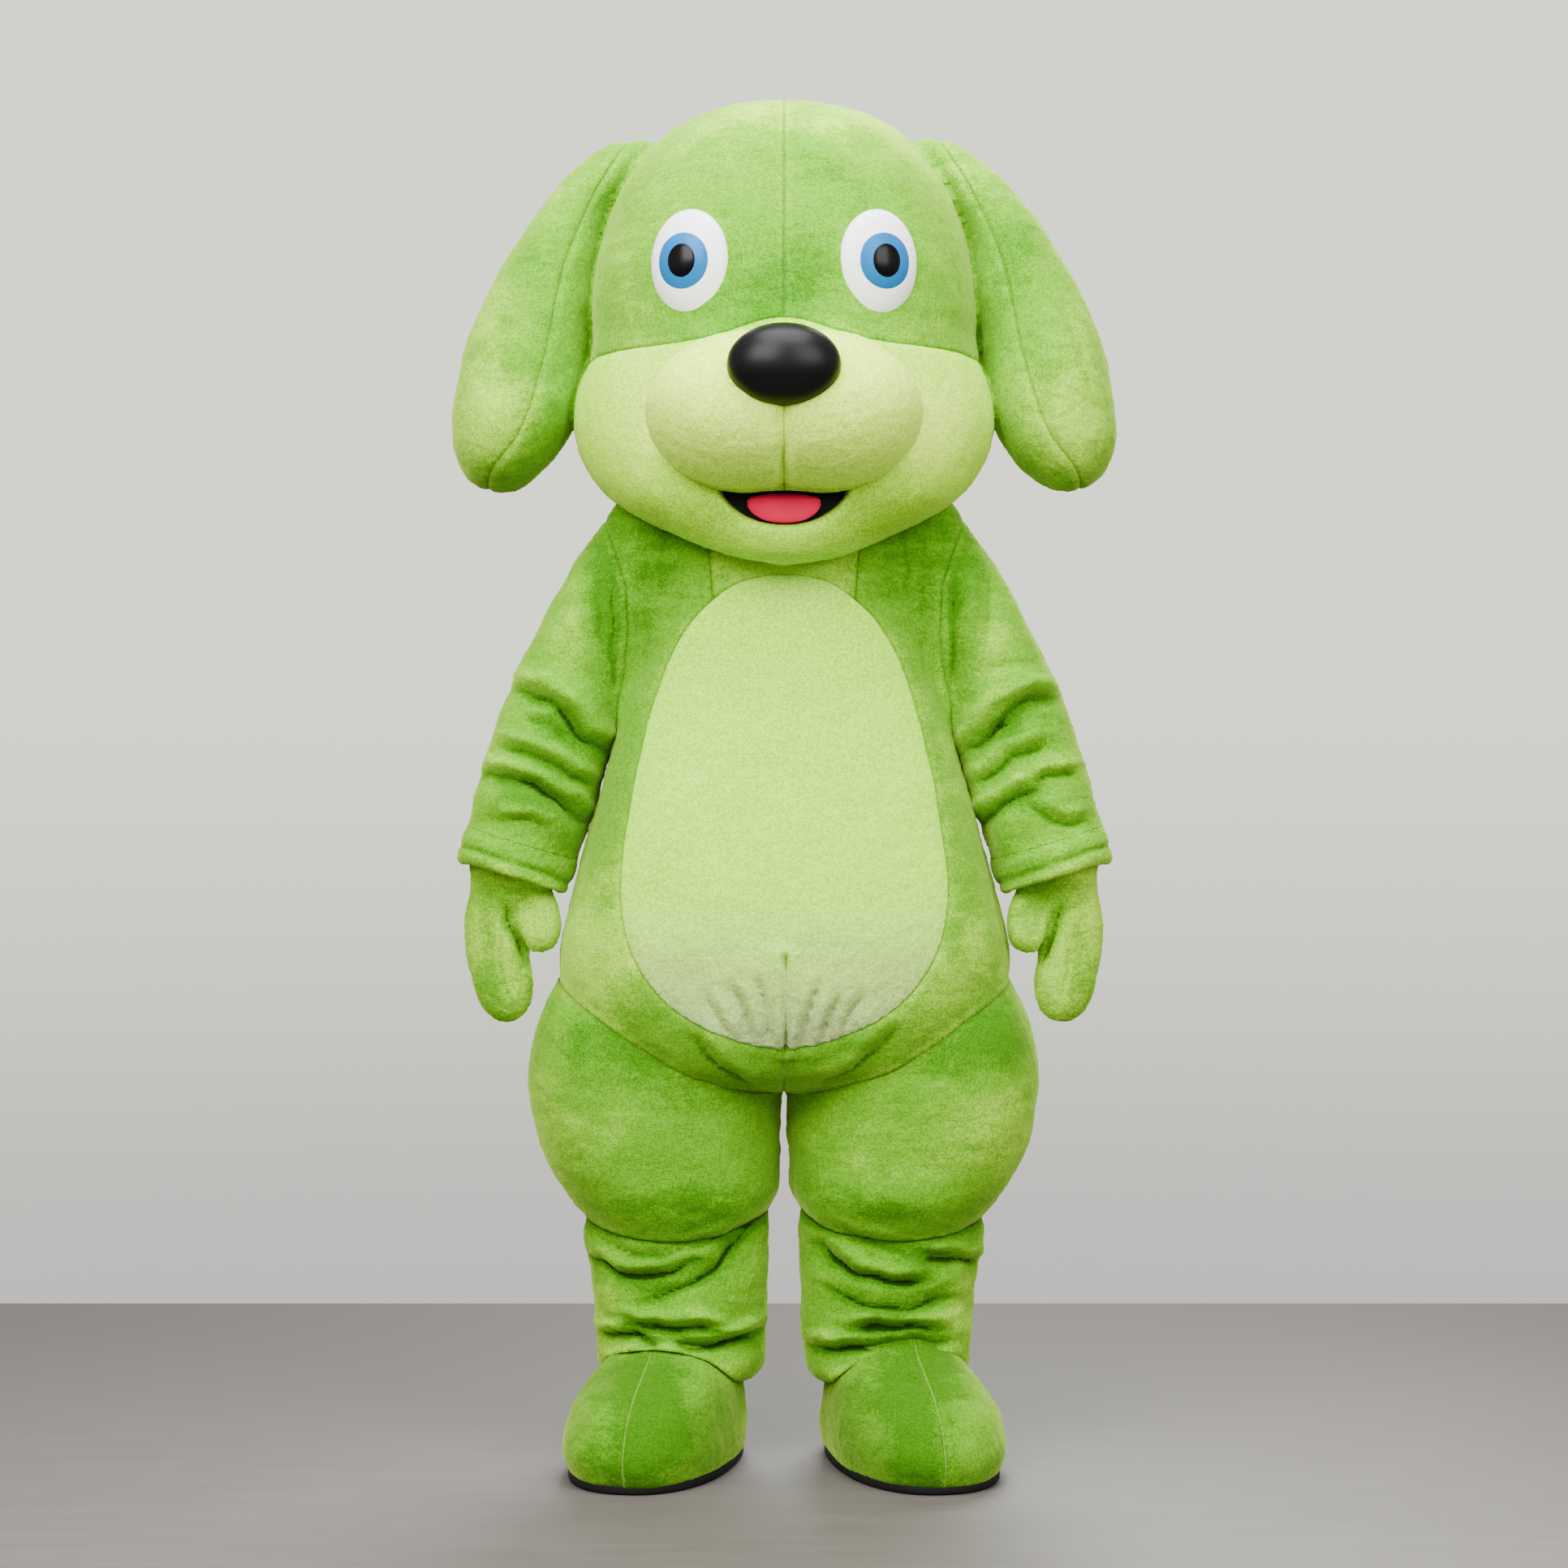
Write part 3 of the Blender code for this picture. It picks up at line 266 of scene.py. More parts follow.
MITT = (
    Section(0.6095, 0.389, 0.000, 0.000, 0.000, 2.0),
    Section(0.6115, 0.389, 0.012, 0.009, 0.009, 2.0),
    Section(0.6170, 0.389, 0.022, 0.016, 0.016, 2.0),
    Section(0.6260, 0.390, 0.031, 0.023, 0.023, 2.0),
    Section(0.6400, 0.391, 0.038, 0.028, 0.028, 2.0),
    Section(0.6620, 0.393, 0.043, 0.032, 0.032, 2.1),
    Section(0.705, 0.400, 0.045, 0.036, 0.036, 2.1),
    Section(0.750, 0.399, 0.048, 0.042, 0.042, 2.1),
    Section(0.790, 0.384, 0.056, 0.050, 0.050, 2.0),
    Section(0.815, 0.378, 0.061, 0.066, 0.066, 2.0),
    Section(0.842, 0.373, 0.070, 0.078, 0.078, 2.0),
)
BOOT = (
    Section(0.0040, 0.016, 0.106, 0.273, 0.146, 2.3),
    Section(0.0143, 0.016, 0.112, 0.280, 0.152, 2.3),
    Section(0.040, 0.017, 0.117, 0.286, 0.156, 2.3),
    Section(0.080, 0.015, 0.113, 0.272, 0.145, 2.2),
    Section(0.115, 0.009, 0.102, 0.228, 0.122, 2.2),
    Section(0.145, 0.004, 0.087, 0.162, 0.104, 2.1),
    Section(0.170, 0.001, 0.079, 0.114, 0.099, 2.0),
    Section(0.195, 0.000, 0.075, 0.094, 0.095, 2.0),
    Section(0.245, 0.000, 0.073, 0.082, 0.088, 2.0),
)
# Stations along a path: X, Y, Z, half across, half deep
SLEEVE = (
    Station(0.152, 0.000, 1.277, 0.092, 0.094),
    Station(0.192, -0.001, 1.238, 0.093, 0.096),
    Station(0.232, -0.003, 1.190, 0.087, 0.096),
    Station(0.271, -0.006, 1.130, 0.080, 0.094),
    Station(0.300, -0.010, 1.068, 0.083, 0.092),
    Station(0.3265, -0.015, 0.990, 0.0825, 0.090),
    Station(0.3515, -0.020, 0.910, 0.0830, 0.087),
    Station(0.3670, -0.023, 0.862, 0.0800, 0.085),
)
CUFF = (
    Station(0.3672, -0.023, 0.8612, 0.0810, 0.086),
    Station(0.3706, -0.0235, 0.850, 0.0830, 0.089),
    Station(0.3755, -0.0245, 0.835, 0.0815, 0.089),
    Station(0.3815, -0.0255, 0.818, 0.0780, 0.087),
    Station(0.3845, -0.0260, 0.808, 0.0740, 0.083),
)
THUMB = (
    Station(0.370, -0.030, 0.812, 0.000, 0.000),
    Station(0.364, -0.033, 0.804, 0.020, 0.018),
    Station(0.351, -0.040, 0.784, 0.028, 0.026),
    Station(0.341, -0.046, 0.758, 0.030, 0.028),
    Station(0.337, -0.050, 0.734, 0.0265, 0.025),
    Station(0.336, -0.052, 0.716, 0.017, 0.016),
    Station(0.336, -0.053, 0.708, 0.000, 0.000),
)
TAIL = (
    Station(0.000, 0.168, 0.822, 0.000, 0.000),
    Station(0.000, 0.182, 0.812, 0.028, 0.022),
    Station(0.000, 0.214, 0.776, 0.050, 0.034),
    Station(0.002, 0.245, 0.712, 0.0605, 0.040),
    Station(0.005, 0.262, 0.645, 0.0580, 0.038),
    Station(0.010, 0.268, 0.585, 0.0440, 0.030),
    Station(0.015, 0.268, 0.546, 0.0240, 0.018),
    Station(0.017, 0.267, 0.530, 0.000, 0.000),
)
# Outlines seen from the front or the back: height, half width
BELLY = (
    Width(0.588, 0.016),
    Width(0.593, 0.048),
    Width(0.606, 0.086),
    Width(0.641, 0.150),
    Width(0.680, 0.188),
    Width(0.731, 0.214),
    Width(0.796, 0.224),
    Width(0.856, 0.220),
    Width(0.956, 0.203),
    Width(1.055, 0.180),
    Width(1.130, 0.150),
    Width(1.190, 0.104),
    Width(1.222, 0.056),
    Width(1.230, 0.018),
)
HEAD_BACK_SEAM = (
    Width(1.350, 0.108),
    Width(1.418, 0.122),
    Width(1.556, 0.154),
    Width(1.682, 0.163),
    Width(1.813, 0.166),
    Width(1.930, 0.150),
)
EAR_SEAM = (
    Width(1.300, 0.430),
    Width(1.368, 0.412),
    Width(1.420, 0.368),
    Width(1.525, 0.330),
    Width(1.669, 0.300),
    Width(1.760, 0.262),
    Width(1.900, 0.190),
)
# Where the sleeve parts from the body, from the wrist's height up over the shoulder
ARMHOLE = (
    Width(0.700, 0.320),
    Width(0.862, 0.287),
    Width(0.940, 0.2634),
    Width(1.020, 0.239),
    Width(1.090, 0.221),
    Width(1.150, 0.214),
    Width(1.217, 0.218),
    Width(1.300, 0.247),
    Width(1.420, 0.300),
)
# Outlines seen from the side: Y and Z of the face's panel, and of what is open under the head's rim
FACE_SIDE_OUTLINE = ((-0.50, 1.10), (-0.50, 1.542), (0.010, 1.530), (0.045, 1.480), (0.070, 1.10))
HEAD_RIM_OUTLINE = (
    (0.40, 1.404),
    (0.18, 1.394),
    (0.06, 1.372),
    (-0.02, 1.340),
    (-0.08, 1.296),
    (-0.122, 1.235),
    (-0.122, 1.10),
    (0.40, 1.10),
)
MUZZLE = Lump(0.052, -0.278, 1.440, 0.132, 0.128, 0.104, 0.0)
NOSE = Lump(0.0, -0.396, 1.487, 0.074, 0.047, 0.054, 0.0)
EYE_WHITE = Lump(0.126, -0.227, 1.643, 0.057, 0.026, 0.072, 25.0)
# The boots turn out about their ankles, and the seam between the quarters runs a little beside them
ANKLE_X = 0.148
BOOT_SEAM_X = 0.012
TOE_OUT = math.radians(11.0)

F, B = View.FRONT, View.BACK
# Folds, as they lie in wear: the side seen, the path in X and Z, width, depth, lips, sewn
SLEEVE_FOLDS = {
    Side.RIGHT: (
        Fold(F, ((-0.240, 1.235), (-0.236, 1.170), (-0.234, 1.108), (-0.222, 1.060)), 0.024, 0.008),
        Fold(F, ((-0.276, 1.250), (-0.278, 1.200), (-0.272, 1.140)), 0.016, -0.0064),
        Fold(F, ((-0.258, 1.235), (-0.258, 1.190), (-0.250, 1.140)), 0.014, 0.0064),
        Fold(F, ((-0.385, 1.076), (-0.346, 1.070), (-0.312, 1.050), (-0.285, 1.012), (-0.245, 0.985)),
             0.016, 0.0154),
        Fold(F, ((-0.322, 1.092), (-0.285, 1.070), (-0.262, 1.034), (-0.240, 1.006)), 0.018, -0.0077),
        Fold(F, ((-0.360, 1.034), (-0.325, 1.024), (-0.296, 0.998)), 0.01, 0.0077),
        Fold(F, ((-0.395, 0.996), (-0.340, 0.982), (-0.296, 0.956), (-0.262, 0.940)), 0.013, 0.0115),
        Fold(F, ((-0.425, 0.958), (-0.370, 0.950), (-0.318, 0.926), (-0.275, 0.890)), 0.014, 0.0154),
        Fold(F, ((-0.408, 0.922), (-0.352, 0.925), (-0.318, 0.902), (-0.296, 0.872)), 0.015, -0.0064),
        Fold(F, ((-0.400, 0.893), (-0.350, 0.893), (-0.322, 0.886)), 0.01, 0.0064),
        Fold(B, ((-0.262, 1.290), (-0.242, 1.232), (-0.222, 1.190), (-0.215, 1.140)), 0.014, 0.0099),
        Fold(B, ((-0.300, 1.228), (-0.266, 1.194), (-0.236, 1.162), (-0.224, 1.105)), 0.015, 0.0089),
        Fold(B, ((-0.372, 1.096), (-0.350, 1.052), (-0.318, 1.030)), 0.015, 0.0079),
        Fold(B, ((-0.402, 1.022), (-0.360, 0.990), (-0.300, 0.975), (-0.245, 0.972)), 0.014, 0.0109),
        Fold(B, ((-0.418, 0.948), (-0.385, 0.905), (-0.362, 0.885)), 0.014, 0.0079),
        Fold(B, ((-0.330, 0.930), (-0.300, 0.912), (-0.272, 0.905)), 0.012, 0.0069),
        Fold(B, ((-0.318, 1.014), (-0.328, 0.968), (-0.352, 0.912), (-0.368, 0.850)),
             0.004, 0.003, 0.0, True),
    ),
    Side.LEFT: (
        Fold(F, ((0.238, 1.230), (0.232, 1.165), (0.230, 1.100), (0.224, 1.055)), 0.024, 0.008),
        Fold(F, ((0.256, 1.238), (0.252, 1.176), (0.230, 1.130)), 0.015, -0.0077),
        Fold(F, ((0.284, 1.230), (0.284, 1.180), (0.280, 1.140)), 0.013, 0.0051),
        Fold(F, ((0.382, 1.064), (0.340, 1.062), (0.306, 1.040), (0.276, 1.006), (0.246, 0.984)),
             0.016, 0.0154),
        Fold(F, ((0.350, 1.092), (0.304, 1.080), (0.276, 1.050), (0.262, 1.012)), 0.017, -0.0077),
        Fold(F, ((0.336, 1.050), (0.312, 1.030), (0.290, 1.018)), 0.01, 0.0077),
        Fold(F, ((0.362, 0.996), (0.318, 0.984), (0.286, 0.956), (0.262, 0.945)), 0.013, 0.0115),
        Fold(F, ((0.408, 0.960), (0.370, 0.956), (0.344, 0.948)), 0.011, 0.0102),
        Fold(F, ((0.350, 0.940), (0.306, 0.920), (0.280, 0.895), (0.268, 0.880)), 0.013, 0.0141),
        Fold(F, ((0.338, 0.916), (0.372, 0.892), (0.420, 0.894)), 0.012, 0.009),
        Fold(F, ((0.306, 0.900), (0.312, 0.872), (0.322, 0.846)), 0.012, -0.0051),
        Fold(B, ((0.266, 1.290), (0.244, 1.233), (0.222, 1.196), (0.214, 1.150)), 0.014, 0.0099),
        Fold(B, ((0.298, 1.224), (0.263, 1.196), (0.232, 1.166), (0.222, 1.108)), 0.015, 0.0089),
        Fold(B, ((0.376, 1.108), (0.352, 1.060), (0.322, 1.044)), 0.015, 0.0079),
        Fold(B, ((0.396, 1.008), (0.346, 0.980), (0.288, 0.975), (0.249, 0.968)), 0.014, 0.0109),
        Fold(B, ((0.424, 0.936), (0.392, 0.888), (0.372, 0.866)), 0.014, 0.0079),
        Fold(B, ((0.334, 0.902), (0.300, 0.890), (0.276, 0.896)), 0.012, 0.0069),
        Fold(B, ((0.318, 1.014), (0.328, 0.970), (0.355, 0.912), (0.371, 0.850)), 0.004, 0.003, 0.0, True),
    ),
}
BODY_FOLDS = (
    Fold(F, ((0.002, 0.712), (0.004, 0.660), (0.002, 0.586)), 0.0050, 0.0110, 0.5, True),
    Fold(F, ((0.001, 1.229), (0.000, 1.150)), 0.004, 0.0012, 0.0, True),
    Fold(F, ((-0.072, 0.672), (-0.056, 0.640), (-0.044, 0.594)), 0.0085, 0.0090, 0.22),
    Fold(F, ((-0.034, 0.684), (-0.028, 0.650), (-0.020, 0.590)), 0.0070, 0.0085, 0.22),
    Fold(F, ((0.046, 0.676), (0.036, 0.645), (0.026, 0.590)), 0.0070, 0.0090, 0.22),
    Fold(F, ((0.076, 0.660), (0.064, 0.632), (0.050, 0.596)), 0.0085, 0.0085, 0.22),
    Fold(F, ((0.108, 0.664), (0.092, 0.636), (0.074, 0.604)), 0.0095, 0.0060, 0.22),
    Fold(F, ((-0.106, 0.660), (-0.090, 0.634), (-0.072, 0.604)), 0.0095, 0.0060, 0.22),
    Fold(F, ((-0.128, 0.606), (-0.092, 0.562), (-0.040, 0.532)), 0.014, 0.0085),
    Fold(F, ((0.150, 0.610), (0.104, 0.562), (0.046, 0.532)), 0.014, 0.0085),
    Fold(F, ((-0.200, 1.290), (-0.188, 1.200), (-0.196, 1.080)), 0.030, 0.004),
    Fold(F, ((0.200, 1.290), (0.190, 1.200), (0.196, 1.080)), 0.030, 0.004),
    Fold(F, ((-0.150, 1.345), (-0.168, 1.270), (-0.172, 1.200)), 0.022, 0.005),
    Fold(F, ((0.150, 1.345), (0.166, 1.270), (0.170, 1.200)), 0.022, 0.005),
    Fold(B, ((0.216, 1.210), (0.205, 1.130), (0.196, 1.060)), 0.022, 0.004),
    Fold(B, ((-0.216, 1.210), (-0.205, 1.130), (-0.196, 1.060)), 0.022, 0.004),
    Fold(B, ((-0.222, 0.892), (-0.252, 0.836), (-0.254, 0.745),
             (-0.248, 0.670), (-0.230, 0.605), (-0.190, 0.548)),
         0.004, 0.0015, 0.0, True),
    Fold(B, ((0.222, 0.892), (0.252, 0.836), (0.254, 0.745), (0.248, 0.670), (0.230, 0.605), (0.190, 0.548)),
         0.004, 0.0015, 0.0, True),
    Fold(B, ((0.004, 0.560), (0.000, 0.700), (0.000, 0.820)), 0.040, 0.012),
)
LEG_FOLDS = {
    Side.RIGHT: (
        Fold(F, ((-0.262, 0.316), (-0.215, 0.300), (-0.160, 0.298), (-0.105, 0.312), (-0.052, 0.338)),
             0.013, 0.006),
        Fold(F, ((-0.276, 0.286), (-0.228, 0.268), (-0.165, 0.270), (-0.110, 0.290)), 0.013, 0.0161),
        Fold(F, ((-0.040, 0.330), (-0.080, 0.292), (-0.150, 0.246), (-0.200, 0.236)), 0.018, 0.0121),
        Fold(F, ((-0.228, 0.200), (-0.165, 0.198), (-0.112, 0.194), (-0.080, 0.186)), 0.012, 0.0201),
        Fold(F, ((-0.262, 0.178), (-0.205, 0.182), (-0.170, 0.174)), 0.011, 0.018),
        Fold(F, ((-0.150, 0.178), (-0.118, 0.170), (-0.075, 0.172), (-0.030, 0.182)), 0.013, 0.0221),
        Fold(F, ((-0.235, 0.162), (-0.150, 0.160), (-0.090, 0.148)), 0.014, -0.006),
        Fold(B, ((-0.010, 0.412), (-0.075, 0.386), (-0.140, 0.364), (-0.205, 0.352), (-0.276, 0.364)),
             0.013, 0.0146),
        Fold(B, ((-0.012, 0.446), (-0.074, 0.434), (-0.160, 0.418)), 0.012, 0.0067),
        Fold(B, ((-0.140, 0.391), (-0.195, 0.382), (-0.285, 0.388)), 0.01, 0.0079),
        Fold(B, ((-0.040, 0.186), (-0.098, 0.154), (-0.160, 0.138)), 0.015, 0.0112),
        Fold(B, ((-0.145, 0.176), (-0.208, 0.148)), 0.013, 0.0079),
        Fold(B, ((-0.060, 0.214), (-0.120, 0.186), (-0.180, 0.178)), 0.018, 0.0056),
    ),
    Side.LEFT: (
        Fold(F, ((0.062, 0.334), (0.110, 0.316), (0.165, 0.300), (0.215, 0.296), (0.270, 0.306)),
             0.013, 0.006),
        Fold(F, ((0.040, 0.306), (0.090, 0.276), (0.150, 0.258), (0.206, 0.262)), 0.014, 0.018),
        Fold(F, ((0.190, 0.288), (0.240, 0.286), (0.276, 0.272)), 0.013, 0.014),
        Fold(F, ((0.086, 0.192), (0.125, 0.198), (0.175, 0.198), (0.232, 0.192)), 0.012, 0.0201),
        Fold(F, ((0.030, 0.160), (0.070, 0.164), (0.110, 0.172), (0.160, 0.176), (0.235, 0.174)),
             0.013, 0.0221),
        Fold(F, ((0.050, 0.252), (0.110, 0.228), (0.190, 0.226), (0.240, 0.240)), 0.02, 0.0111),
        Fold(B, ((0.285, 0.382), (0.190, 0.374), (0.115, 0.388), (0.055, 0.412), (0.008, 0.432)),
             0.013, 0.0146),
        Fold(B, ((0.268, 0.362), (0.222, 0.350), (0.190, 0.352)), 0.01, 0.009),
        Fold(B, ((0.150, 0.362), (0.098, 0.372), (0.060, 0.386)), 0.012, 0.0067),
        Fold(B, ((0.192, 0.136), (0.138, 0.156), (0.088, 0.190), (0.050, 0.236)), 0.016, 0.0112),
        Fold(B, ((0.262, 0.190), (0.210, 0.164), (0.160, 0.162)), 0.014, 0.0079),
        Fold(B, ((0.240, 0.232), (0.180, 0.212), (0.120, 0.210)), 0.02, 0.0045),
    ),
}
MITT_FOLDS = (
    Fold(F, ((0.384, 0.776), (0.377, 0.746), (0.366, 0.716), (0.361, 0.696)), 0.009, 0.011),
    Fold(F, ((0.392, 0.730), (0.394, 0.690), (0.384, 0.650)), 0.006, 0.0025, 0.2, True),
    Fold(F, ((0.434, 0.700), (0.436, 0.670)), 0.007, 0.002),
    Fold(B, ((0.412, 0.752), (0.380, 0.744), (0.348, 0.764)), 0.012, 0.008),
    Fold(B, ((0.400, 0.716), (0.384, 0.700), (0.364, 0.704)), 0.011, 0.006),
)
# Zones of the pile, brushed and with painted light and painted shade: the side seen, the centre in X and Z,
# the radii, the shift
TRUNK_ZONES = (
    Zone(F, -0.182, 1.262, 0.078, 0.116, -0.23),
    Zone(F, 0.184, 1.262, 0.078, 0.112, -0.23),
    # Painted light on the yoke, under the head's shadow
    Zone(F, 0.000, 1.270, 0.100, 0.090, 0.52),
    Zone(F, -0.250, 1.240, 0.034, 0.110, -0.24),
    Zone(F, 0.252, 1.236, 0.034, 0.110, -0.22),
    Zone(F, -0.302, 1.170, 0.030, 0.090, 0.14),
    Zone(F, 0.304, 1.160, 0.030, 0.090, 0.12),
    Zone(F, -0.330, 1.022, 0.060, 0.030, -0.26),
    Zone(F, 0.326, 1.018, 0.058, 0.030, -0.26),
    Zone(F, -0.356, 0.930, 0.055, 0.032, -0.24),
    Zone(F, 0.352, 0.926, 0.055, 0.034, -0.22),
    Zone(F, -0.232, 0.860, 0.050, 0.260, 0.07),
    Zone(F, 0.234, 0.860, 0.050, 0.260, 0.07),
    Zone(F, -0.250, 0.680, 0.070, 0.060, 0.16),
    Zone(F, 0.252, 0.684, 0.070, 0.060, 0.16),
    # Painted shade at the foot of the belly, where it turns down
    Zone(F, 0.000, 0.600, 0.110, 0.040, -0.30),
    Zone(B, -0.262, 1.210, 0.055, 0.120, -0.20),
    Zone(B, 0.262, 1.205, 0.055, 0.120, -0.20),
    Zone(B, -0.350, 0.980, 0.050, 0.080, -0.14),
    Zone(B, 0.352, 0.976, 0.050, 0.080, -0.14),
    Zone(B, 0.040, 1.330, 0.200, 0.050, 0.12),
    Zone(B, -0.120, 1.060, 0.120, 0.120, -0.08),
    Zone(B, 0.000, 0.830, 0.240, 0.060, -0.12),
    Zone(B, -0.140, 0.640, 0.130, 0.090, 0.14),
    Zone(B, 0.150, 0.650, 0.120, 0.090, 0.12),
    Zone(B, -0.280, 0.780, 0.050, 0.120, 0.10),
    Zone(B, 0.280, 0.780, 0.050, 0.120, 0.10),
)
LEG_ZONES = (
    Zone(F, 0.236, 0.600, 0.100, 0.066, -0.42),
    Zone(F, 0.120, 0.530, 0.080, 0.045, -0.12),
    Zone(F, 0.315, 0.470, 0.050, 0.080, 0.16),
    # Painted shade on the thigh's foot and on the shin under it
    Zone(F, 0.165, 0.366, 0.150, 0.036, -0.26),
    Zone(F, 0.165, 0.280, 0.110, 0.036, -0.20),
    Zone(F, 0.150, 0.210, 0.060, 0.040, -0.12),
    Zone(F, 0.245, 0.250, 0.025, 0.080, 0.14),
    Zone(B, 0.262, 0.604, 0.085, 0.055, -0.36),
    Zone(B, 0.120, 0.470, 0.090, 0.060, -0.10),
    Zone(B, 0.320, 0.480, 0.050, 0.090, 0.16),
    Zone(B, 0.180, 0.330, 0.100, 0.025, -0.16),
    Zone(B, 0.120, 0.250, 0.080, 0.060, 0.05),
)
BOOT_ZONES = (
    Zone(F, 0.178, 0.086, 0.052, 0.090, -0.44),
    Zone(F, 0.262, 0.060, 0.030, 0.040, 0.06),
    Zone(F, 0.086, 0.050, 0.044, 0.080, -0.26),
    Zone(B, 0.235, 0.090, 0.040, 0.045, -0.30),
    Zone(B, 0.130, 0.070, 0.040, 0.040, -0.10),
)
MITT_ZONES = (
    Zone(F, 0.378, 0.786, 0.036, 0.030, -0.22),
    Zone(F, 0.408, 0.690, 0.020, 0.040, -0.10),
    Zone(F, 0.432, 0.740, 0.014, 0.070, 0.14),
    # Painted shade on the back of the mitt beside the body
    Zone(B, 0.376, 0.760, 0.050, 0.060, -0.42),
    Zone(B, 0.396, 0.680, 0.036, 0.050, -0.26),
)
HEAD_ZONES = (
    # Painted light on the top of the head
    Zone(F, 0.020, 1.872, 0.200, 0.056, 0.32),
    Zone(F, 0.000, 1.700, 0.130, 0.100, -0.17),
    Zone(F, 0.000, 1.580, 0.060, 0.060, -0.24),
    Zone(F, -0.200, 1.620, 0.040, 0.120, 0.08),
    Zone(F, 0.200, 1.620, 0.040, 0.120, 0.08),
    # Painted light on the top of the head, seen from the back
    Zone(B, 0.000, 1.870, 0.200, 0.060, 0.34),
    Zone(B, -0.080, 1.680, 0.080, 0.120, -0.12),
    Zone(B, 0.100, 1.660, 0.060, 0.120, -0.16),
    Zone(B, -0.210, 1.560, 0.050, 0.100, -0.06),
    Zone(B, 0.210, 1.560, 0.050, 0.100, -0.06),
    Zone(B, -0.170, 1.450, 0.090, 0.040, 0.22),
    Zone(B, 0.170, 1.450, 0.090, 0.040, 0.20),
)
FACE_ZONES = (
    Zone(F, -0.060, 1.500, 0.050, 0.030, 0.30),
    Zone(F, 0.060, 1.500, 0.050, 0.030, 0.30),
    Zone(F, -0.096, 1.424, 0.090, 0.070, 0.55),
    Zone(F, 0.096, 1.424, 0.090, 0.070, 0.55),
    Zone(F, -0.230, 1.430, 0.060, 0.070, 0.22),
    Zone(F, 0.230, 1.430, 0.060, 0.070, 0.22),
    # Painted shade along the face's lower edge
    Zone(F, -0.150, 1.300, 0.110, 0.036, -0.30),
    Zone(F, 0.150, 1.300, 0.110, 0.036, -0.30),
)
EAR_ZONES = (
    Zone(F, 0.330, 1.640, 0.050, 0.100, -0.16),
    Zone(F, 0.390, 1.430, 0.060, 0.060, 0.20),
    Zone(F, 0.300, 1.780, 0.060, 0.050, 0.06),
    Zone(F, 0.410, 1.560, 0.030, 0.120, 0.14),
    Zone(B, 0.350, 1.560, 0.060, 0.120, 0.05),
    Zone(B, 0.400, 1.420, 0.060, 0.050, 0.16),
    Zone(B, 0.270, 1.780, 0.060, 0.050, 0.18),
)
TAIL_ZONES = (Zone(B, 0.000, 0.700, 0.034, 0.090, -0.08),)
# Between the two lobes of the muzzle
MUZZLE_CLEFT = (Fold(F, ((0.0, 1.440), (0.0, 1.330)), 0.007, 0.010, 0.2),)


def curve_through(rows: Sequence[Sequence[float]], count: int) -> Array:
    """Reads a table evenly along its length, which its first five columns make, on a cubic through its rows.

    Args:
        rows: The rows of the table.
        count: How many readings to take.

    Returns:
        One row of values for each reading.
    """
    table = np.array(rows, dtype=float)
    steps = np.linalg.norm(np.diff(table[:, :5], axis=0), axis=1)
    knots = np.concatenate([[0.0], np.cumsum(steps)])
    slopes = np.gradient(table, knots, axis=0)
    at = np.linspace(0.0, knots[-1], count)
    row = np.clip(np.searchsorted(knots, at, side="right") - 1, 0, len(knots) - 2)
    span = (knots[row + 1] - knots[row])[:, None]
    s = (at[:, None] - knots[row][:, None]) / span
    start = (2 * s**3 - 3 * s**2 + 1) * table[row]
    leave = (s**3 - 2 * s**2 + s) * span * slopes[row]
    end = (-2 * s**3 + 3 * s**2) * table[row + 1]
    arrive = (s**3 - s**2) * span * slopes[row + 1]
    return start + leave + end + arrive


def unit(rows: Array) -> Array:
    """Scales each row to length one."""
    return rows / np.maximum(np.linalg.norm(rows, axis=1, keepdims=True), TINY)


def ramp(value: Array, low: float, high: float) -> Array:
    """A smooth step from 0 at low to 1 at high."""
    t = np.clip((value - low) / (high - low), 0.0, 1.0)
    return t * t * (3.0 - 2.0 * t)


def joined(first: Array, second: Array, soft: float) -> Array:
    """The depth of two forms sewn into one, with a soft fillet between them."""
    near = np.maximum(soft - np.abs(first - second), 0.0)
    return np.minimum(first, second) - near**2 / (4.0 * soft)


def bump(value: Array, width: float) -> Array:
    """1 where the value is 0, falling away on both sides as a bell of the width given."""
    return np.exp(-((value / width) ** 2))


def merged(first: Depth, second: Depth, soft: float) -> Depth:
    """Two forms sewn into one, with a soft fillet between them."""
    return lambda points: joined(first(points), second(points), soft)


def turned(points: Array, angle: float) -> Array:
    """Points turned clockwise about the upright axis, seen from above."""
    cos, sin = math.cos(angle), math.sin(angle)
    x, y, z = points.T
    return np.column_stack([cos * x + sin * y, -sin * x + cos * y, z])


def radial_depth(across: Array, deep: Array, half_a: Array, half_d: Array, power: Array) -> Array:
    """How far a point lies outside a squared oval, along the line from its middle.

    Args:
        across: Offset from the middle across the oval.
        deep: Offset from the middle along its depth.
        half_a: Half size across.
        half_d: Half size deep.
        power: 2 for an ellipse and more for a squarer one.

    Returns:
        The distance, negative inside.
    """
    half_a = np.maximum(half_a, LEAST_HALF)
    half_d = np.maximum(half_d, LEAST_HALF)
    u = np.abs(across) / half_a
    v = np.abs(deep) / half_d
    far = np.maximum((u**power + v**power) ** (1.0 / power), LEAST_FAR)
    reach = np.hypot(across, deep)
    return np.where(far > AT_MIDDLE, reach - reach / far, -np.minimum(half_a, half_d))


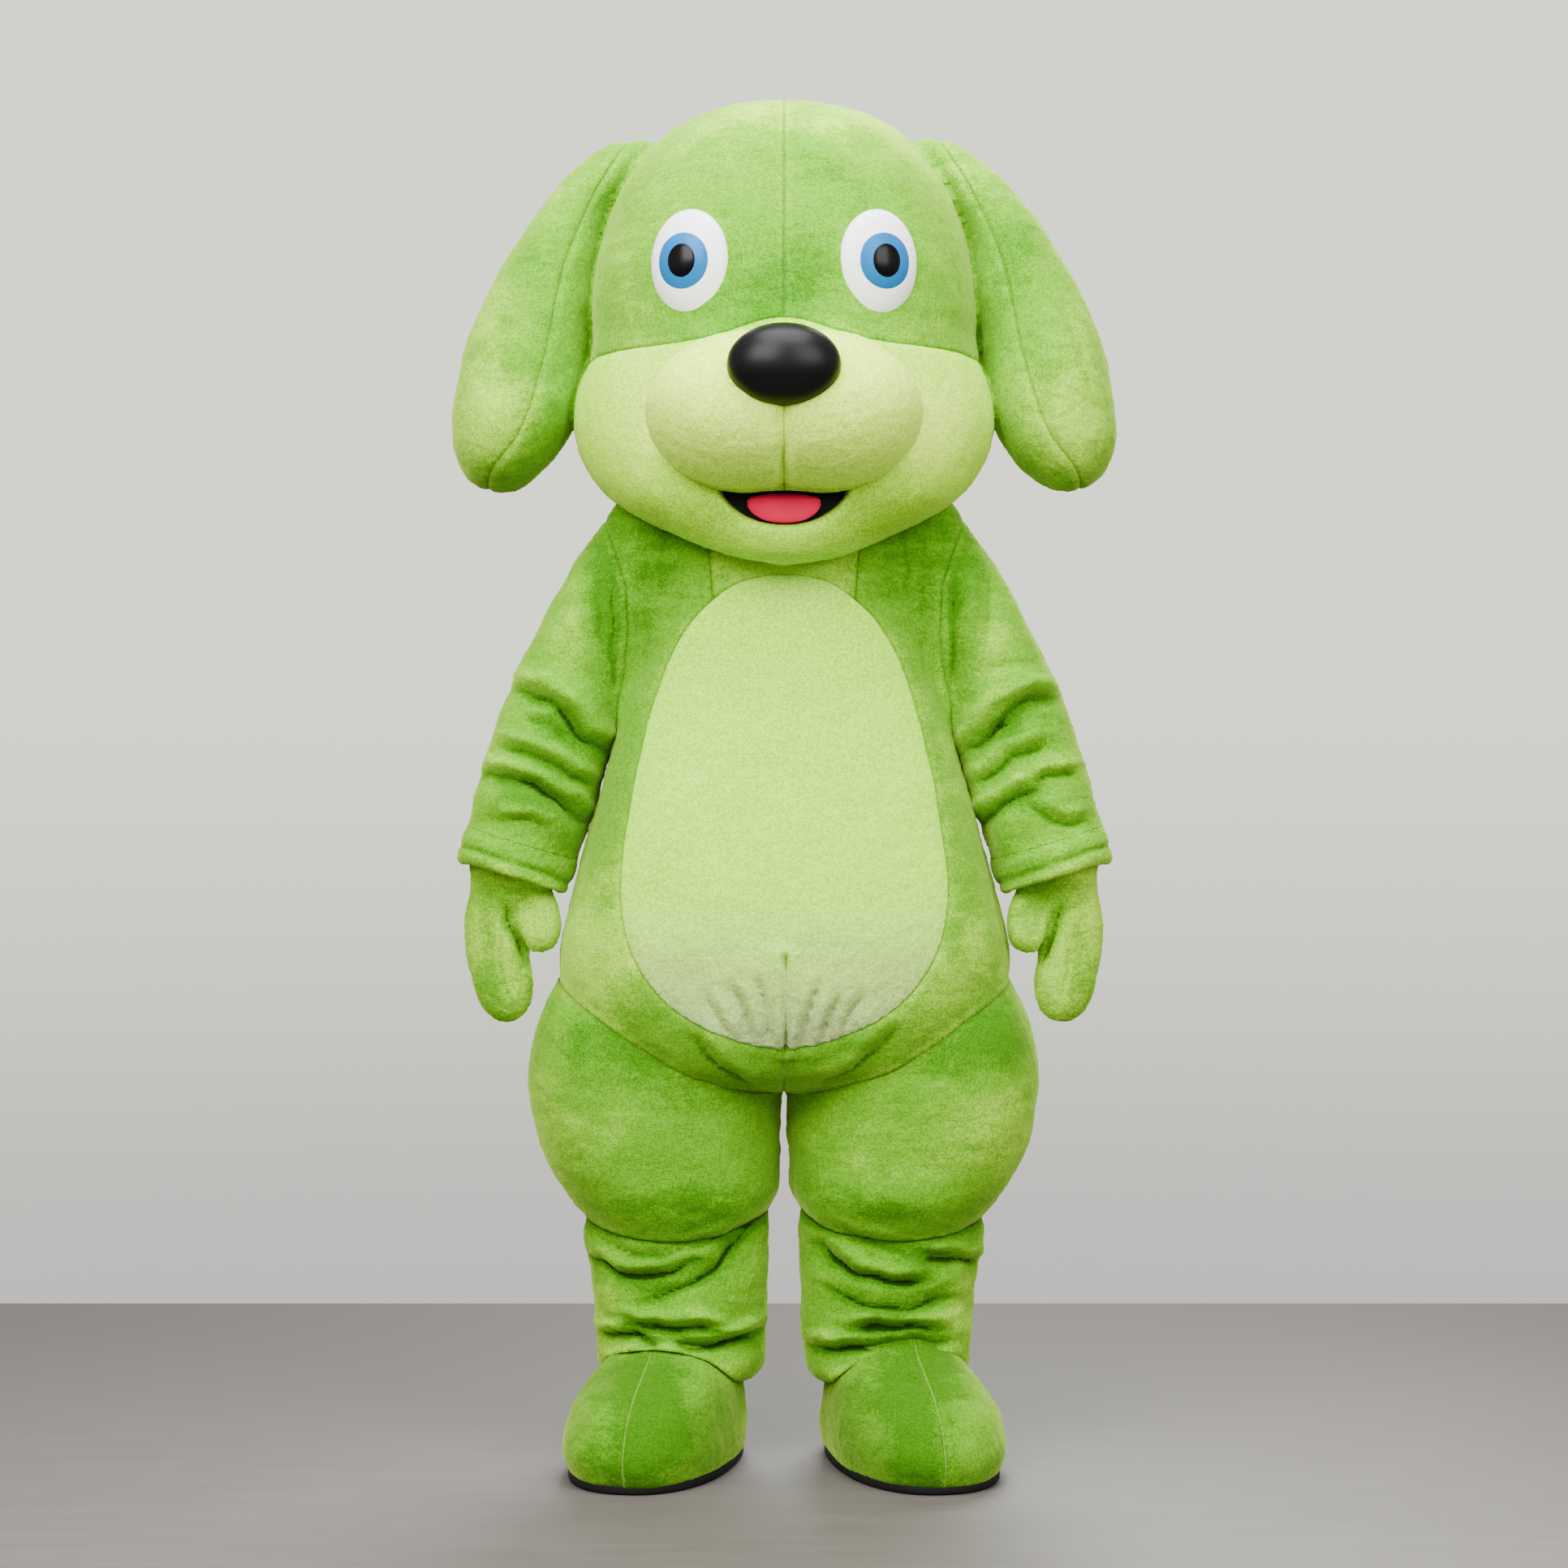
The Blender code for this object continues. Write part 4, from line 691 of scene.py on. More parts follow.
@dataclass(frozen=True)
class Upright:
    """A form whose sections lie flat: a torso, a head, a leg or an ear.

    Attributes:
        rows: Its table of sections, bottom to top.
        side: Minus one to mirror it to the right.
        ankle: Turned out about the ankle, as the boots are.
        shift_y: How far it is moved back.
        table: The sections read finely.
    """

    rows: tuple[Section, ...]
    side: float = 1.0
    ankle: bool = False
    shift_y: float = 0.0
    table: Array = field(init=False, repr=False, compare=False)

    def __post_init__(self) -> None:
        """Reads the table finely, once."""
        object.__setattr__(self, "table", curve_through(self.rows, SECTION_READINGS))

    def own(self, points: Array) -> Array:
        """Points in the form's own axes, on the left."""
        p = points * np.array([self.side, 1.0, 1.0]) - np.array([0.0, self.shift_y, 0.0])
        return turned(p - np.array([ANKLE_X, 0.0, 0.0]), TOE_OUT) if self.ankle else p

    def ring_depth(self, x: Array, y: Array, z: Array) -> Array:
        """The depth at a height, measured level."""
        read = [np.interp(z, self.table[:, 0], self.table[:, k]) for k in range(1, 6)]
        middle, half_width, front, back, power = read
        half_deep = np.maximum((back + front) / 2.0, 0.0)
        y = y - (back - front) / 2.0
        return radial_depth(x - middle, y, np.maximum(half_width, 0.0), half_deep, power)

    def depth(self, points: Array) -> Array:
        """Signed distance from the form's skin, near enough for fillets."""
        step = SECTION_HALF_STEP
        x, y, z = self.own(points).T
        low, high = self.table[0, 0], self.table[-1, 0]
        level = self.ring_depth(x, y, z)
        above = self.ring_depth(x, y, np.minimum(z + step, high))
        slope = above - self.ring_depth(x, y, np.maximum(z - step, low))
        level = level / np.sqrt(1.0 + (slope / (2.0 * step)) ** 2)
        past = np.maximum(z - high, low - z)
        beyond = np.maximum(level, past)
        outside = np.hypot(np.maximum(level, 0.0), np.maximum(past, 0.0))
        return np.where((past > 0.0) & (level > 0.0), outside, beyond)


@dataclass(frozen=True)
class Along:
    """A form that follows a path: a sleeve, a cuff, a thumb or the tail.

    Attributes:
        rows: Its table of stations.
        side: Minus one to mirror it to the right.
        sideways: True where its path lies in the X-Z plane, False in the Y-Z plane.
        power: How square its sections are.
        table: The distance along the path and the stations read finely.
    """

    rows: tuple[Station, ...]
    side: float = 1.0
    sideways: bool = True
    power: float = 2.1
    table: Array = field(init=False, repr=False, compare=False)

    def __post_init__(self) -> None:
        """Reads the table finely, once, and adds the distance along it."""
        table = curve_through(self.rows, STATION_READINGS)
        plane = table[:, [0 if self.sideways else 1, 2]]
        along = np.concatenate([[0.0], np.cumsum(np.linalg.norm(np.diff(plane, axis=0), axis=1))])
        object.__setattr__(self, "table", np.column_stack([along, table]))

    def place(self, points: Array) -> tuple[Array, Array, Array, Array]:
        """Where points lie beside the path.

        Args:
            points: The points.

        Returns:
            The distance along the path, the offsets in the path's plane and out of it, and the distance kept
            between the path's ends.
        """
        p = points * np.array([self.side, 1.0, 1.0])
        a_column, c_column = (1, 2) if self.sideways else (2, 1)
        a, c, z = p[:, a_column - 1], p[:, c_column - 1], p[:, 2]
        along = self.table[:, 0]
        run_a = np.gradient(self.table[:, a_column], along)
        run_z = np.gradient(self.table[:, 3], along)
        start = self.table[0, [a_column, 3]]
        chord = self.table[-1, [a_column, 3]] - start
        chord /= np.linalg.norm(chord)
        s = (a - start[0]) * chord[0] + (z - start[1]) * chord[1]
        for _ in range(3):
            da = a - np.interp(s, along, self.table[:, a_column])
            dz = z - np.interp(s, along, self.table[:, 3])
            ra, rz = np.interp(s, along, run_a), np.interp(s, along, run_z)
            s = np.clip(s, along[0], along[-1]) + da * ra + dz * rz
        inside = np.clip(s, along[0], along[-1])
        ra, rz = np.interp(inside, along, run_a), np.interp(inside, along, run_z)
        da = a - np.interp(inside, along, self.table[:, a_column])
        dz = z - np.interp(inside, along, self.table[:, 3])
        in_plane = da * rz - dz * ra
        out_of_plane = c - np.interp(inside, along, self.table[:, c_column])
        return s, in_plane, out_of_plane, inside

    def depth(self, points: Array) -> Array:
        """Signed distance from the form's skin, near enough for fillets."""
        s, in_plane, out_of_plane, inside = self.place(points)
        along = self.table[:, 0]
        across = np.interp(inside, along, self.table[:, 4])
        deep = np.interp(inside, along, self.table[:, 5])
        if not self.sideways:
            in_plane, out_of_plane = out_of_plane, in_plane
        level = radial_depth(in_plane, out_of_plane, np.maximum(across, 0.0), np.maximum(deep, 0.0),
                             np.full(len(s), self.power))
        past = np.maximum(s - along[-1], along[0] - s)
        outside = np.hypot(np.maximum(level, 0.0), np.maximum(past, 0.0))
        return np.where(past > 0.0, np.maximum(outside, past), np.maximum(level, past))


@dataclass(frozen=True)
class Rounded:
    """A lump as a form.

    Attributes:
        lump: Its centre, its radii and its turn.
        side: Minus one to mirror it to the right.
    """

    lump: Lump
    side: float = 1.0

    def depth(self, points: Array) -> Array:
        """Signed distance from the lump's skin, near enough."""
        centre = np.array([self.side * self.lump.x, self.lump.y, self.lump.z])
        own = turned(points - centre, math.radians(self.lump.yaw) * self.side)
        radii = np.array([self.lump.rx, self.lump.ry, self.lump.rz])
        far = np.linalg.norm(own / radii, axis=1)
        steep = np.maximum(np.linalg.norm(own / radii**2, axis=1), LEAST_FAR)
        return np.where(far > LEAST_FAR, far * (far - 1.0) / steep, -radii.min())


def outline_depth(first: Array, second: Array, outline: Sequence[Sequence[float]]) -> Array:
    """Signed distance from a closed outline in a plane, negative inside.

    Args:
        first: First coordinate of each point.
        second: Second coordinate of each point.
        outline: The corners of the outline.

    Returns:
        The distance of each point.
    """
    corners = np.array(outline, dtype=float)
    nearest = np.full(len(first), FAR_AWAY)
    inside = np.zeros(len(first), dtype=bool)
    for (ax, ay), (bx, by) in zip(corners, np.roll(corners, -1, axis=0)):
        ex, ey = bx - ax, by - ay
        t = np.clip(((first - ax) * ex + (second - ay) * ey) / max(ex * ex + ey * ey, TINY), 0.0, 1.0)
        nearest = np.minimum(nearest, np.hypot(first - ax - t * ex, second - ay - t * ey))
        if ay != by:
            crosses = (ay > second) != (by > second)
            inside ^= crosses & (first < ax + (second - ay) * ex / ey)
    return np.where(inside, -nearest, nearest)


def line_distance(first: Array, second: Array, path: Sequence[Sequence[float]]) -> tuple[Array, Array, Array]:
    """Distance from an open line in a plane, how far along it the nearest place is, and the rise above it.

    Args:
        first: First coordinate of each point.
        second: Second coordinate of each point.
        path: The places that the line runs through.

    Returns:
        The distances, the share of the line's length at the nearest place, and the height above that place.
    """
    corners = curve_through(path, 4 * len(path)) if len(path) > 2 else np.array(path, dtype=float)
    spans = np.linalg.norm(np.diff(corners, axis=0), axis=1)
    starts = np.concatenate([[0.0], np.cumsum(spans)])
    nearest = np.full(len(first), FAR_AWAY)
    share = np.zeros(len(first))
    rise = np.zeros(len(first))
    for k, span in enumerate(spans):
        (ax, ay), (bx, by) = corners[k], corners[k + 1]
        t = ((first - ax) * (bx - ax) + (second - ay) * (by - ay)) / max(span**2, TINY)
        t = np.clip(t, 0.0, 1.0)
        far = np.hypot(first - ax - t * (bx - ax), second - ay - t * (by - ay))
        closer = far < nearest
        nearest = np.where(closer, far, nearest)
        share = np.where(closer, (starts[k] + t * span) / starts[-1], share)
        rise = np.where(closer, second - ay - t * (by - ay), rise)
    return nearest, share, rise


def mirrored_outline(rows: Sequence[Width], count: int) -> list[tuple[float, float]]:
    """A closed outline from half widths, read smoothly and mirrored across the middle."""
    half = curve_through(rows, count)
    right = [(width, height) for height, width in half]
    return right + [(-width, height) for width, height in right[::-1]]


def half_oval(top: float, half: float, drop: float, sag: float) -> list[tuple[float, float]]:
    """A smile as a closed outline: a half oval below a top that sags a little.

    Args:
        top: Height of its corners.
        half: Its half width.
        drop: How far its lower line hangs below the corners.
        sag: How far its upper line hangs below them, negative where it rises.

    Returns:
        The corners of the outline.
    """
    angles = np.linspace(0.0, math.pi, 41)
    lower = [(half * math.cos(a), top - drop * math.sin(a)) for a in angles]
    return lower + [(half * math.cos(a), top - sag * math.sin(a)) for a in angles[-2:0:-1]]


def unevenness(points: Array, size: float, seed: int) -> Array:
    """Soft lumps of about the size given, between -1 and 1, the same ones each time.

    Args:
        points: Where to read them.
        size: The length of a lump in metres.
        seed: Picks the pattern.

    Returns:
        One value for each point.
    """
    draw = np.random.default_rng(seed)
    waves = 14
    total = np.zeros(len(points))
    for _ in range(waves):
        heading = draw.normal(size=3)
        heading *= 2.0 * math.pi / (size * draw.uniform(0.7, 1.6)) / np.linalg.norm(heading)
        total += np.sin(points @ heading + draw.uniform(0.0, 2.0 * math.pi))
    return total / math.sqrt(waves / 2.0) / 2.0


def surface_net(depth: Depth, low: Corner, high: Corner, step: float) -> tuple[Array, Array]:
    """Finds the skin of a form on a grid.

    Args:
        depth: Signed distance of points from the skin.
        low: Lowest corner of the grid.
        high: Highest corner.
        step: The grid's spacing.

    Returns:
        Points on the skin, and four-sided faces turned outwards, with no faces where it leaves the grid.
    """
    axes = [np.arange(a, b + step, step) for a, b in zip(low, high)]
    shape = tuple(len(axis) for axis in axes)
    grid = np.stack(np.meshgrid(*axes, indexing="ij"), axis=-1).reshape(-1, 3)
    value = depth(grid).reshape(shape)
    count = np.zeros([n - 1 for n in shape], dtype=np.int8)
    for i in (0, 1):
        for j in (0, 1):
            for k in (0, 1):
                count += value[i:shape[0] - 1 + i, j:shape[1] - 1 + j, k:shape[2] - 1 + k] < 0.0
    cells = np.argwhere((count > 0) & (count < 8))
    index = np.full(count.shape, -1)
    index[tuple(cells.T)] = np.arange(len(cells))
    total = np.zeros((len(cells), 3))
    hits = np.zeros(len(cells))
    for axis in range(3):
        for i in (0, 1):
            for j in (0, 1):
                corner = np.zeros(3, dtype=int)
                corner[(axis + 1) % 3], corner[(axis + 2) % 3] = i, j
                ahead = corner.copy()
                ahead[axis] = 1
                a, b = value[tuple((cells + corner).T)], value[tuple((cells + ahead).T)]
                crossed = (a < 0.0) != (b < 0.0)
                place = np.tile(corner.astype(float), (len(cells), 1))
                place[crossed, axis] = (a / np.where(crossed, a - b, 1.0))[crossed]
                total += place * crossed[:, None]
                hits += crossed
    points = np.array([axis[0] for axis in axes]) + (cells + total / hits[:, None]) * step
    faces = []
    for axis in range(3):
        u, v = np.eye(3, dtype=int)[(axis + 1) % 3], np.eye(3, dtype=int)[(axis + 2) % 3]
        near = np.take(value, range(shape[axis] - 1), axis=axis)
        far = np.take(value, range(1, shape[axis]), axis=axis)
        edges = np.argwhere((near < 0.0) != (far < 0.0))
        for side in ((axis + 1) % 3, (axis + 2) % 3):
            edges = edges[(edges[:, side] > 0) & (edges[:, side] < shape[side] - 1)]
        around = [index[tuple((edges - shift).T)] for shift in (u + v, v, 0 * u, u)]
        quads = np.column_stack(around)
        leaving = near[tuple(edges.T)] < 0.0
        faces.append(np.where(leaving[:, None], quads, quads[:, ::-1]))
    return points, np.concatenate(faces)


def gradient(points: Array, depth: Depth) -> Array:
    """The direction in which the depth grows, by differences."""
    step = SLOPE_HALF_STEP
    slopes = [depth(points + step * e) - depth(points - step * e) for e in np.eye(3)]
    return np.column_stack(slopes) / (2.0 * step)


def settle(points: Array, depth: Depth, reach: float) -> Array:
    """Moves points onto the skin, a few steps of Newton's method, no step longer than the reach."""
    for _ in range(SETTLING_STEPS):
        slope = gradient(points, depth)
        size = np.maximum((slope**2).sum(axis=1), LEAST_SLOPE)
        move = np.clip(depth(points) / size, -reach, reach)
        points = points - slope * move[:, None]
    return points


def clip(rows: Array, faces: Array, column: int) -> tuple[Array, Array]:
    """Cuts a mesh along the line where one of its columns is zero, and keeps the negative side.

    Args:
        rows: One row of values for each point.
        faces: Triangles.
        column: Which value says where to cut.

    Returns:
        The rows with those on the cut added, and the triangles that are left.
    """
    value = rows[:, column]
    inside = value < 0.0
    count = inside[faces].sum(axis=1)
    whole = faces[count == 3]
    crossed = faces[(count == 1) | (count == 2)]
    if not len(crossed):
        return rows, whole
    lone_inside = inside[crossed].sum(axis=1) == 1
    lone = np.argmax(inside[crossed] == lone_inside[:, None], axis=1)
    pick = np.arange(len(crossed))
    tip = crossed[pick, lone]
    left = crossed[pick, (lone + 1) % 3]
    right = crossed[pick, (lone + 2) % 3]
    pairs = np.sort(np.concatenate([np.column_stack([tip, left]), np.column_stack([tip, right])]), axis=1)
    edges, place = np.unique(pairs, axis=0, return_inverse=True)
    place = place.reshape(-1)
    a, b = value[edges[:, 0]], value[edges[:, 1]]
    t = np.clip(a / (a - b), 0.01, 0.99)[:, None]
    added = rows[edges[:, 0]] * (1.0 - t) + rows[edges[:, 1]] * t
    on_left = len(rows) + place[: len(crossed)]
    on_right = len(rows) + place[len(crossed):]
    inner = np.column_stack([tip, on_left, on_right])[lone_inside]
    outer = ~lone_inside
    first = np.column_stack([left, right, on_right])[outer]
    second = np.column_stack([left, on_right, on_left])[outer]
    return np.concatenate([rows, added]), np.concatenate([whole, inner, first, second])


def compact(rows: Array, faces: Array) -> tuple[Array, Array]:
    """Drops the points that no triangle uses."""
    used, faces = np.unique(faces, return_inverse=True)
    return rows[used], faces.reshape(-1, 3)


def rim_edges(faces: Array) -> Array:
    """The edges that only one triangle has, in that triangle's direction."""
    edges = np.concatenate([faces[:, [0, 1]], faces[:, [1, 2]], faces[:, [2, 0]]])
    _, first, count = np.unique(np.sort(edges, axis=1), axis=0, return_index=True, return_counts=True)
    return edges[first[count == 1]]


def add_mesh(name: str, points: Array, faces: Array, values: dict[str, Array] | None = None) -> Thing:
    """Makes an object from triangles, with the values given kept on its points.

    Args:
        name: The piece's name.
        points: Its points, with heights above the floor.
        faces: Its triangles, turned outwards.
        values: Named values for the finish to read.

    Returns:
        The object, linked and smooth.
    """
    mesh = bpy.data.meshes.new(f"{name}_skin")
    mesh.vertices.add(len(points))
    points = points - np.array([0.0, 0.0, SHOULDER_HEIGHT])
    mesh.vertices.foreach_set("co", points.astype(np.float32).ravel())
    mesh.loops.add(len(faces) * 3)
    mesh.loops.foreach_set("vertex_index", faces.astype(np.int32).ravel())
    mesh.polygons.add(len(faces))
    mesh.polygons.foreach_set("loop_start", np.arange(0, len(faces) * 3, 3, dtype=np.int32))
    mesh.update(calc_edges=True)
    for key, value in (values or {}).items():
        layer = mesh.attributes.new(key, "FLOAT", "POINT")
        layer.data.foreach_set("value", value.astype(np.float32))
    mesh.validate()
    mesh.shade_smooth()
    thing = bpy.data.objects.new(f"{name}_skin", mesh)
    bpy.context.collection.objects.link(thing)
    return thing


@dataclass(frozen=True)
class Crease:
    """How a fold lies in the skin: its section in shares of its own width, its ends, and its painted shade
    and painted highlight.

    Attributes:
        stray: How far its line strays from its path.
        stray_size: Length of one stray.
        facing: How the skin has to face the fold's side, from not at all to fully.
        loose_width: Width from which it strays and leans fully.
        end_rate: How quickly it fades at its ends.
        end_share: The share of it that is left there.
        lean: How much narrower its upper side is.
        slit_width: Width of its sharp bottom.
        hollow_width: Width of its soft trough.
        sharp: The sharp bottom's share of the depth.
        lip_lean: How much higher its upper lip is.
        lip_place: Where its lips stand.
        lip_band: Height of lip at which the painted highlight on it starts and ends to come in.
        lip_light: How much paler it is there: a painted highlight.
        slit_band: Depth at which the painted shade in the sharp bottom starts and ends to come in.
        hollow_band: Depth at which the painted shade in the soft trough does.
        hollow_shade: How much deeper the colour is in the trough: painted shade.
    """

    stray: float = 0.0032
    stray_size: float = 0.045
    facing: tuple[float, float] = (-0.45, 0.35)
    loose_width: float = 0.012
    end_rate: float = 5.0
    end_share: float = 0.25
    lean: float = 0.38
    slit_width: float = 0.26
    hollow_width: float = 1.25
    sharp: float = 0.62
    lip_lean: float = 0.55
    lip_place: float = 2.0
    lip_band: tuple[float, float] = (0.0005, 0.0045)
    lip_light: float = 0.10
    slit_band: tuple[float, float] = (0.001, 0.010)
    hollow_band: tuple[float, float] = (0.002, 0.014)
    hollow_shade: float = 0.15


@dataclass
class Skin:
    """The outer skin of one or more forms, folded as in wear, from which the pieces are cut.

    Attributes:
        depth: Signed distance from the skin.
        low: Lowest corner of the space it fills.
        high: Highest corner.
        step: Spacing of its points.
        lumps: Height of its soft lumps.
        seed: Picks the pattern of the lumps.
        slit_shade: How much deeper the colour is at the bottom of a fold: painted shade.
        crease: How its folds lie.
        lump_sizes: Lengths of its broad and its small lumps.
        small_share: Height of the small lumps beside the broad ones.
        zone_ragged: How much the edge of a brushed zone strays.
        zone_stray: Length of one such stray.
        zone_facing: How the skin has to face a zone's side, from not at all to fully.
        nap_and_shading_range: Least and most that the finish reads of the pile's lie with its painted light
            and shade.
        rest: Its points before it is pressed.
        normal: Its outward directions.
        faces: Its triangles.
        press: How deep each point is pressed in.
        line: Distance from the nearest sewn line.
        nap_and_shading: How the pile lies, with painted light and painted shade added, 0.5 where it isn't
            brushed nor painted and more where it is paler.
        thin: How much thinner the wall is.
    """

    depth: Depth
    low: Corner
    high: Corner
    step: float
    lumps: float = 0.0012
    seed: int = 1
    slit_shade: float = 0.50
    crease: Crease = Crease()
    lump_sizes: tuple[float, float] = (0.11, 0.035)
    small_share: float = 0.35
    zone_ragged: float = 0.30
    zone_stray: float = 0.16
    zone_facing: tuple[float, float] = (-0.35, 0.45)
    nap_and_shading_range: tuple[float, float] = (-0.5, 1.0)
    rest: Array = field(init=False, repr=False)
    normal: Array = field(init=False, repr=False)
    faces: Array = field(init=False, repr=False)
    press: Array = field(init=False, repr=False)
    line: Array = field(init=False, repr=False)
    nap_and_shading: Array = field(init=False, repr=False)
    thin: Array = field(init=False, repr=False)

    def __post_init__(self) -> None:
        """Finds the skin and sets every point on it."""
        points, quads = surface_net(self.depth, self.low, self.high, self.step)
        self.rest = settle(points, self.depth, self.step)
        self.normal = unit(gradient(self.rest, self.depth))
        p = self.rest[quads]
        short = np.linalg.norm(p[:, 0] - p[:, 2], axis=1) < np.linalg.norm(p[:, 1] - p[:, 3], axis=1)
        one = np.where(short[:, None], quads[:, [0, 1, 2]], quads[:, [0, 1, 3]])
        two = np.where(short[:, None], quads[:, [0, 2, 3]], quads[:, [1, 2, 3]])
        self.faces = np.concatenate([one, two])
        broad, small = self.lump_sizes
        self.press = -self.lumps * unevenness(self.rest, broad, self.seed)
        fine = unevenness(self.rest, small, self.seed + SMALL_LUMPS_SEED)
        self.press -= self.small_share * self.lumps * fine
        self.line = np.full(len(self.rest), SEAM_REACH)
        self.nap_and_shading = np.full(len(self.rest), UNBRUSHED)
        self.thin = np.zeros(len(self.rest))

    def brush(self, zones: Sequence[Zone], mask: Array | float = 1.0, side: float = 1.0) -> None:
        """Brushes zones of the pile and paints light and shade into them.

        Args:
            zones: The zones.
            mask: Where they apply, from 0 to 1.
            side: Minus one to mirror them.
        """
        x, z = self.rest[:, 0] * side, self.rest[:, 2]
        ragged = 1.0 + self.zone_ragged * unevenness(self.rest, self.zone_stray, self.seed + ZONE_SEED)
        for zone in zones:
            facing = ramp(self.normal[:, 1] * zone.view.value, *self.zone_facing) * mask
            far = np.hypot((x - zone.x) / zone.rx, (z - zone.z) / zone.rz) * ragged
            self.nap_and_shading += zone.shift * facing * np.exp(-(far**3))

    def fold(self, folds: Sequence[Fold], mask: Array | float = 1.0, side: float = 1.0) -> None:
        """Presses a table of folds into the skin, with painted shade in their troughs and a painted highlight
        on their lips.

        Args:
            folds: The folds.
            mask: Where they apply, from 0 to 1.
            side: Minus one to mirror them.
        """
        x, z = self.rest[:, 0] * side, self.rest[:, 2]
        c = self.crease
        strays = [c.stray * unevenness(self.rest, c.stray_size, self.seed + seed) for seed in STRAY_SEEDS]
        for fold in folds:
            facing = ramp(self.normal[:, 1] * fold.view.value, *c.facing) * mask
            loose = 0.0 if fold.sewn else min(1.0, fold.width / c.loose_width)
            far, share, rise = line_distance(x + loose * strays[0], z + loose * strays[1], fold.path)
            taper = np.sqrt(np.clip(np.minimum(share, 1.0 - share) * c.end_rate, 0.0, 1.0))
            fade = np.maximum(taper, c.end_share) if not fold.sewn else 1.0
            over = loose * np.clip(rise / np.maximum(far, TINY), -1.0, 1.0)
            spread = fold.width * (1.0 - c.lean * over)
            slit = np.exp(-far / (c.slit_width * spread))
            hollow = bump(far, c.hollow_width * spread)
            sharp = c.sharp if fold.depth > 0.0 and not fold.sewn else float(fold.sewn)
            trough = sharp * slit + (1.0 - sharp) * hollow
            lips = fold.lip * (1.0 + c.lip_lean * over) * bump(far - c.lip_place * spread, spread)
            self.press += fold.depth * fade * facing * (trough - lips)
            if fold.sewn:
                self.line = np.minimum(self.line, np.where(facing > 0.5, far, SEAM_REACH))
                continue
            # Painted highlight on the lips, painted shade at the bottom and in the trough
            light = c.lip_light * ramp(fold.depth * lips, *c.lip_band)
            self.nap_and_shading += fade * facing * (light - ramp(fold.depth * slit, *c.slit_band) * self.slit_shade)
            self.nap_and_shading -= fade * facing * c.hollow_shade * ramp(fold.depth * hollow, *c.hollow_band)

    def piece(self, name: str, cuts: Sequence[Array], wall: float = PLUSH_WALL, tuck: float = SEAM_TUCK,
              tuck_width: float = 0.005, sink: float = 0.0, grain: float = 0.0004,
              plain: Sequence[Array] = ()) -> Thing:
        """Cuts one piece out of the skin and gives it its wall.

        Args:
            name: The piece's name.
            cuts: Signed distances from its edges, negative on the piece.
            wall: Its thickness.
            tuck: How deep its edges are drawn in at the seams.
            tuck_width: How far the tuck reaches in from the edge.
            sink: How far the whole piece lies under the skin.
            grain: Height of the pile's own roughness.
            plain: Signed distances from edges that no seam draws in.

        Returns:
            The closed piece.
        """
        shifted = [cut + SEAM_GAP / 2.0 for cut in (*cuts, *plain)]
        kept = np.column_stack([self.rest, self.normal, self.press, self.line, self.nap_and_shading, self.thin])
        rows, faces, own = np.column_stack([kept, *shifted]), self.faces, kept.shape[1]
        for column in range(own, rows.shape[1]):
            rows, faces = clip(rows, faces, column)
        rows, faces = compact(rows, faces)
        rest, normal = rows[:, :3], unit(rows[:, 3:6])
        press, line, nap_and_shading, thin = rows[:, 6:own].T
        sewn = rows[:, own:own + len(cuts)]
        edge = np.abs(sewn).min(axis=1) if len(cuts) else np.full(len(rows), SEAM_REACH)
        tips = np.random.default_rng(GRAIN_SEED).normal(size=len(rows))
        roughness = grain * tips * np.minimum(edge / self.step, 1.0)
        deep = press + roughness + tuck * np.exp(-edge / tuck_width) + sink
        outer = rest - normal * deep[:, None]
        inner = outer - normal * (wall - thin)[:, None]
        rim = rim_edges(faces)
        n = len(outer)
        walls = np.concatenate([
            np.column_stack([rim[:, 1], rim[:, 0], n + rim[:, 0]]),
            np.column_stack([rim[:, 1], n + rim[:, 0], n + rim[:, 1]]),
        ])
        all_faces = np.concatenate([faces, n + faces[:, ::-1], walls])
        seam = np.minimum(np.minimum(edge, line), SEAM_REACH)
        values = {"seam": np.tile(seam, 2), "nap_and_shading": np.tile(np.clip(nap_and_shading, *self.nap_and_shading_range), 2)}
        return add_mesh(name, np.concatenate([outer, inner]), all_faces, values)


class Space(NamedTuple):
    """Where a skin is looked for, from the middle outwards, its points' spacing, its lumps and their seed."""

    inner: float
    outer: float
    front: float
    back: float
    bottom: float
    top: float
    step: float
    lumps: float
    seed: int

    def skin(self, depth: Depth, side: float = 1.0, slit_shade: float = 0.50) -> Skin:
        """Finds the skin of a form in the space.

        Args:
            depth: Signed distance of points from the skin.
            side: Minus one to mirror the space to the right.
            slit_shade: How much deeper the colour is at the bottom of a fold: painted shade.

        Returns:
            The skin.
        """
        low, high = sorted((side * self.inner, side * self.outer))
        return Skin(depth, (low, self.front, self.bottom), (high, self.back, self.top), self.step, self.lumps,
                    self.seed, slit_shade)


# Finishes ----------------------------------------------------------------------------------------


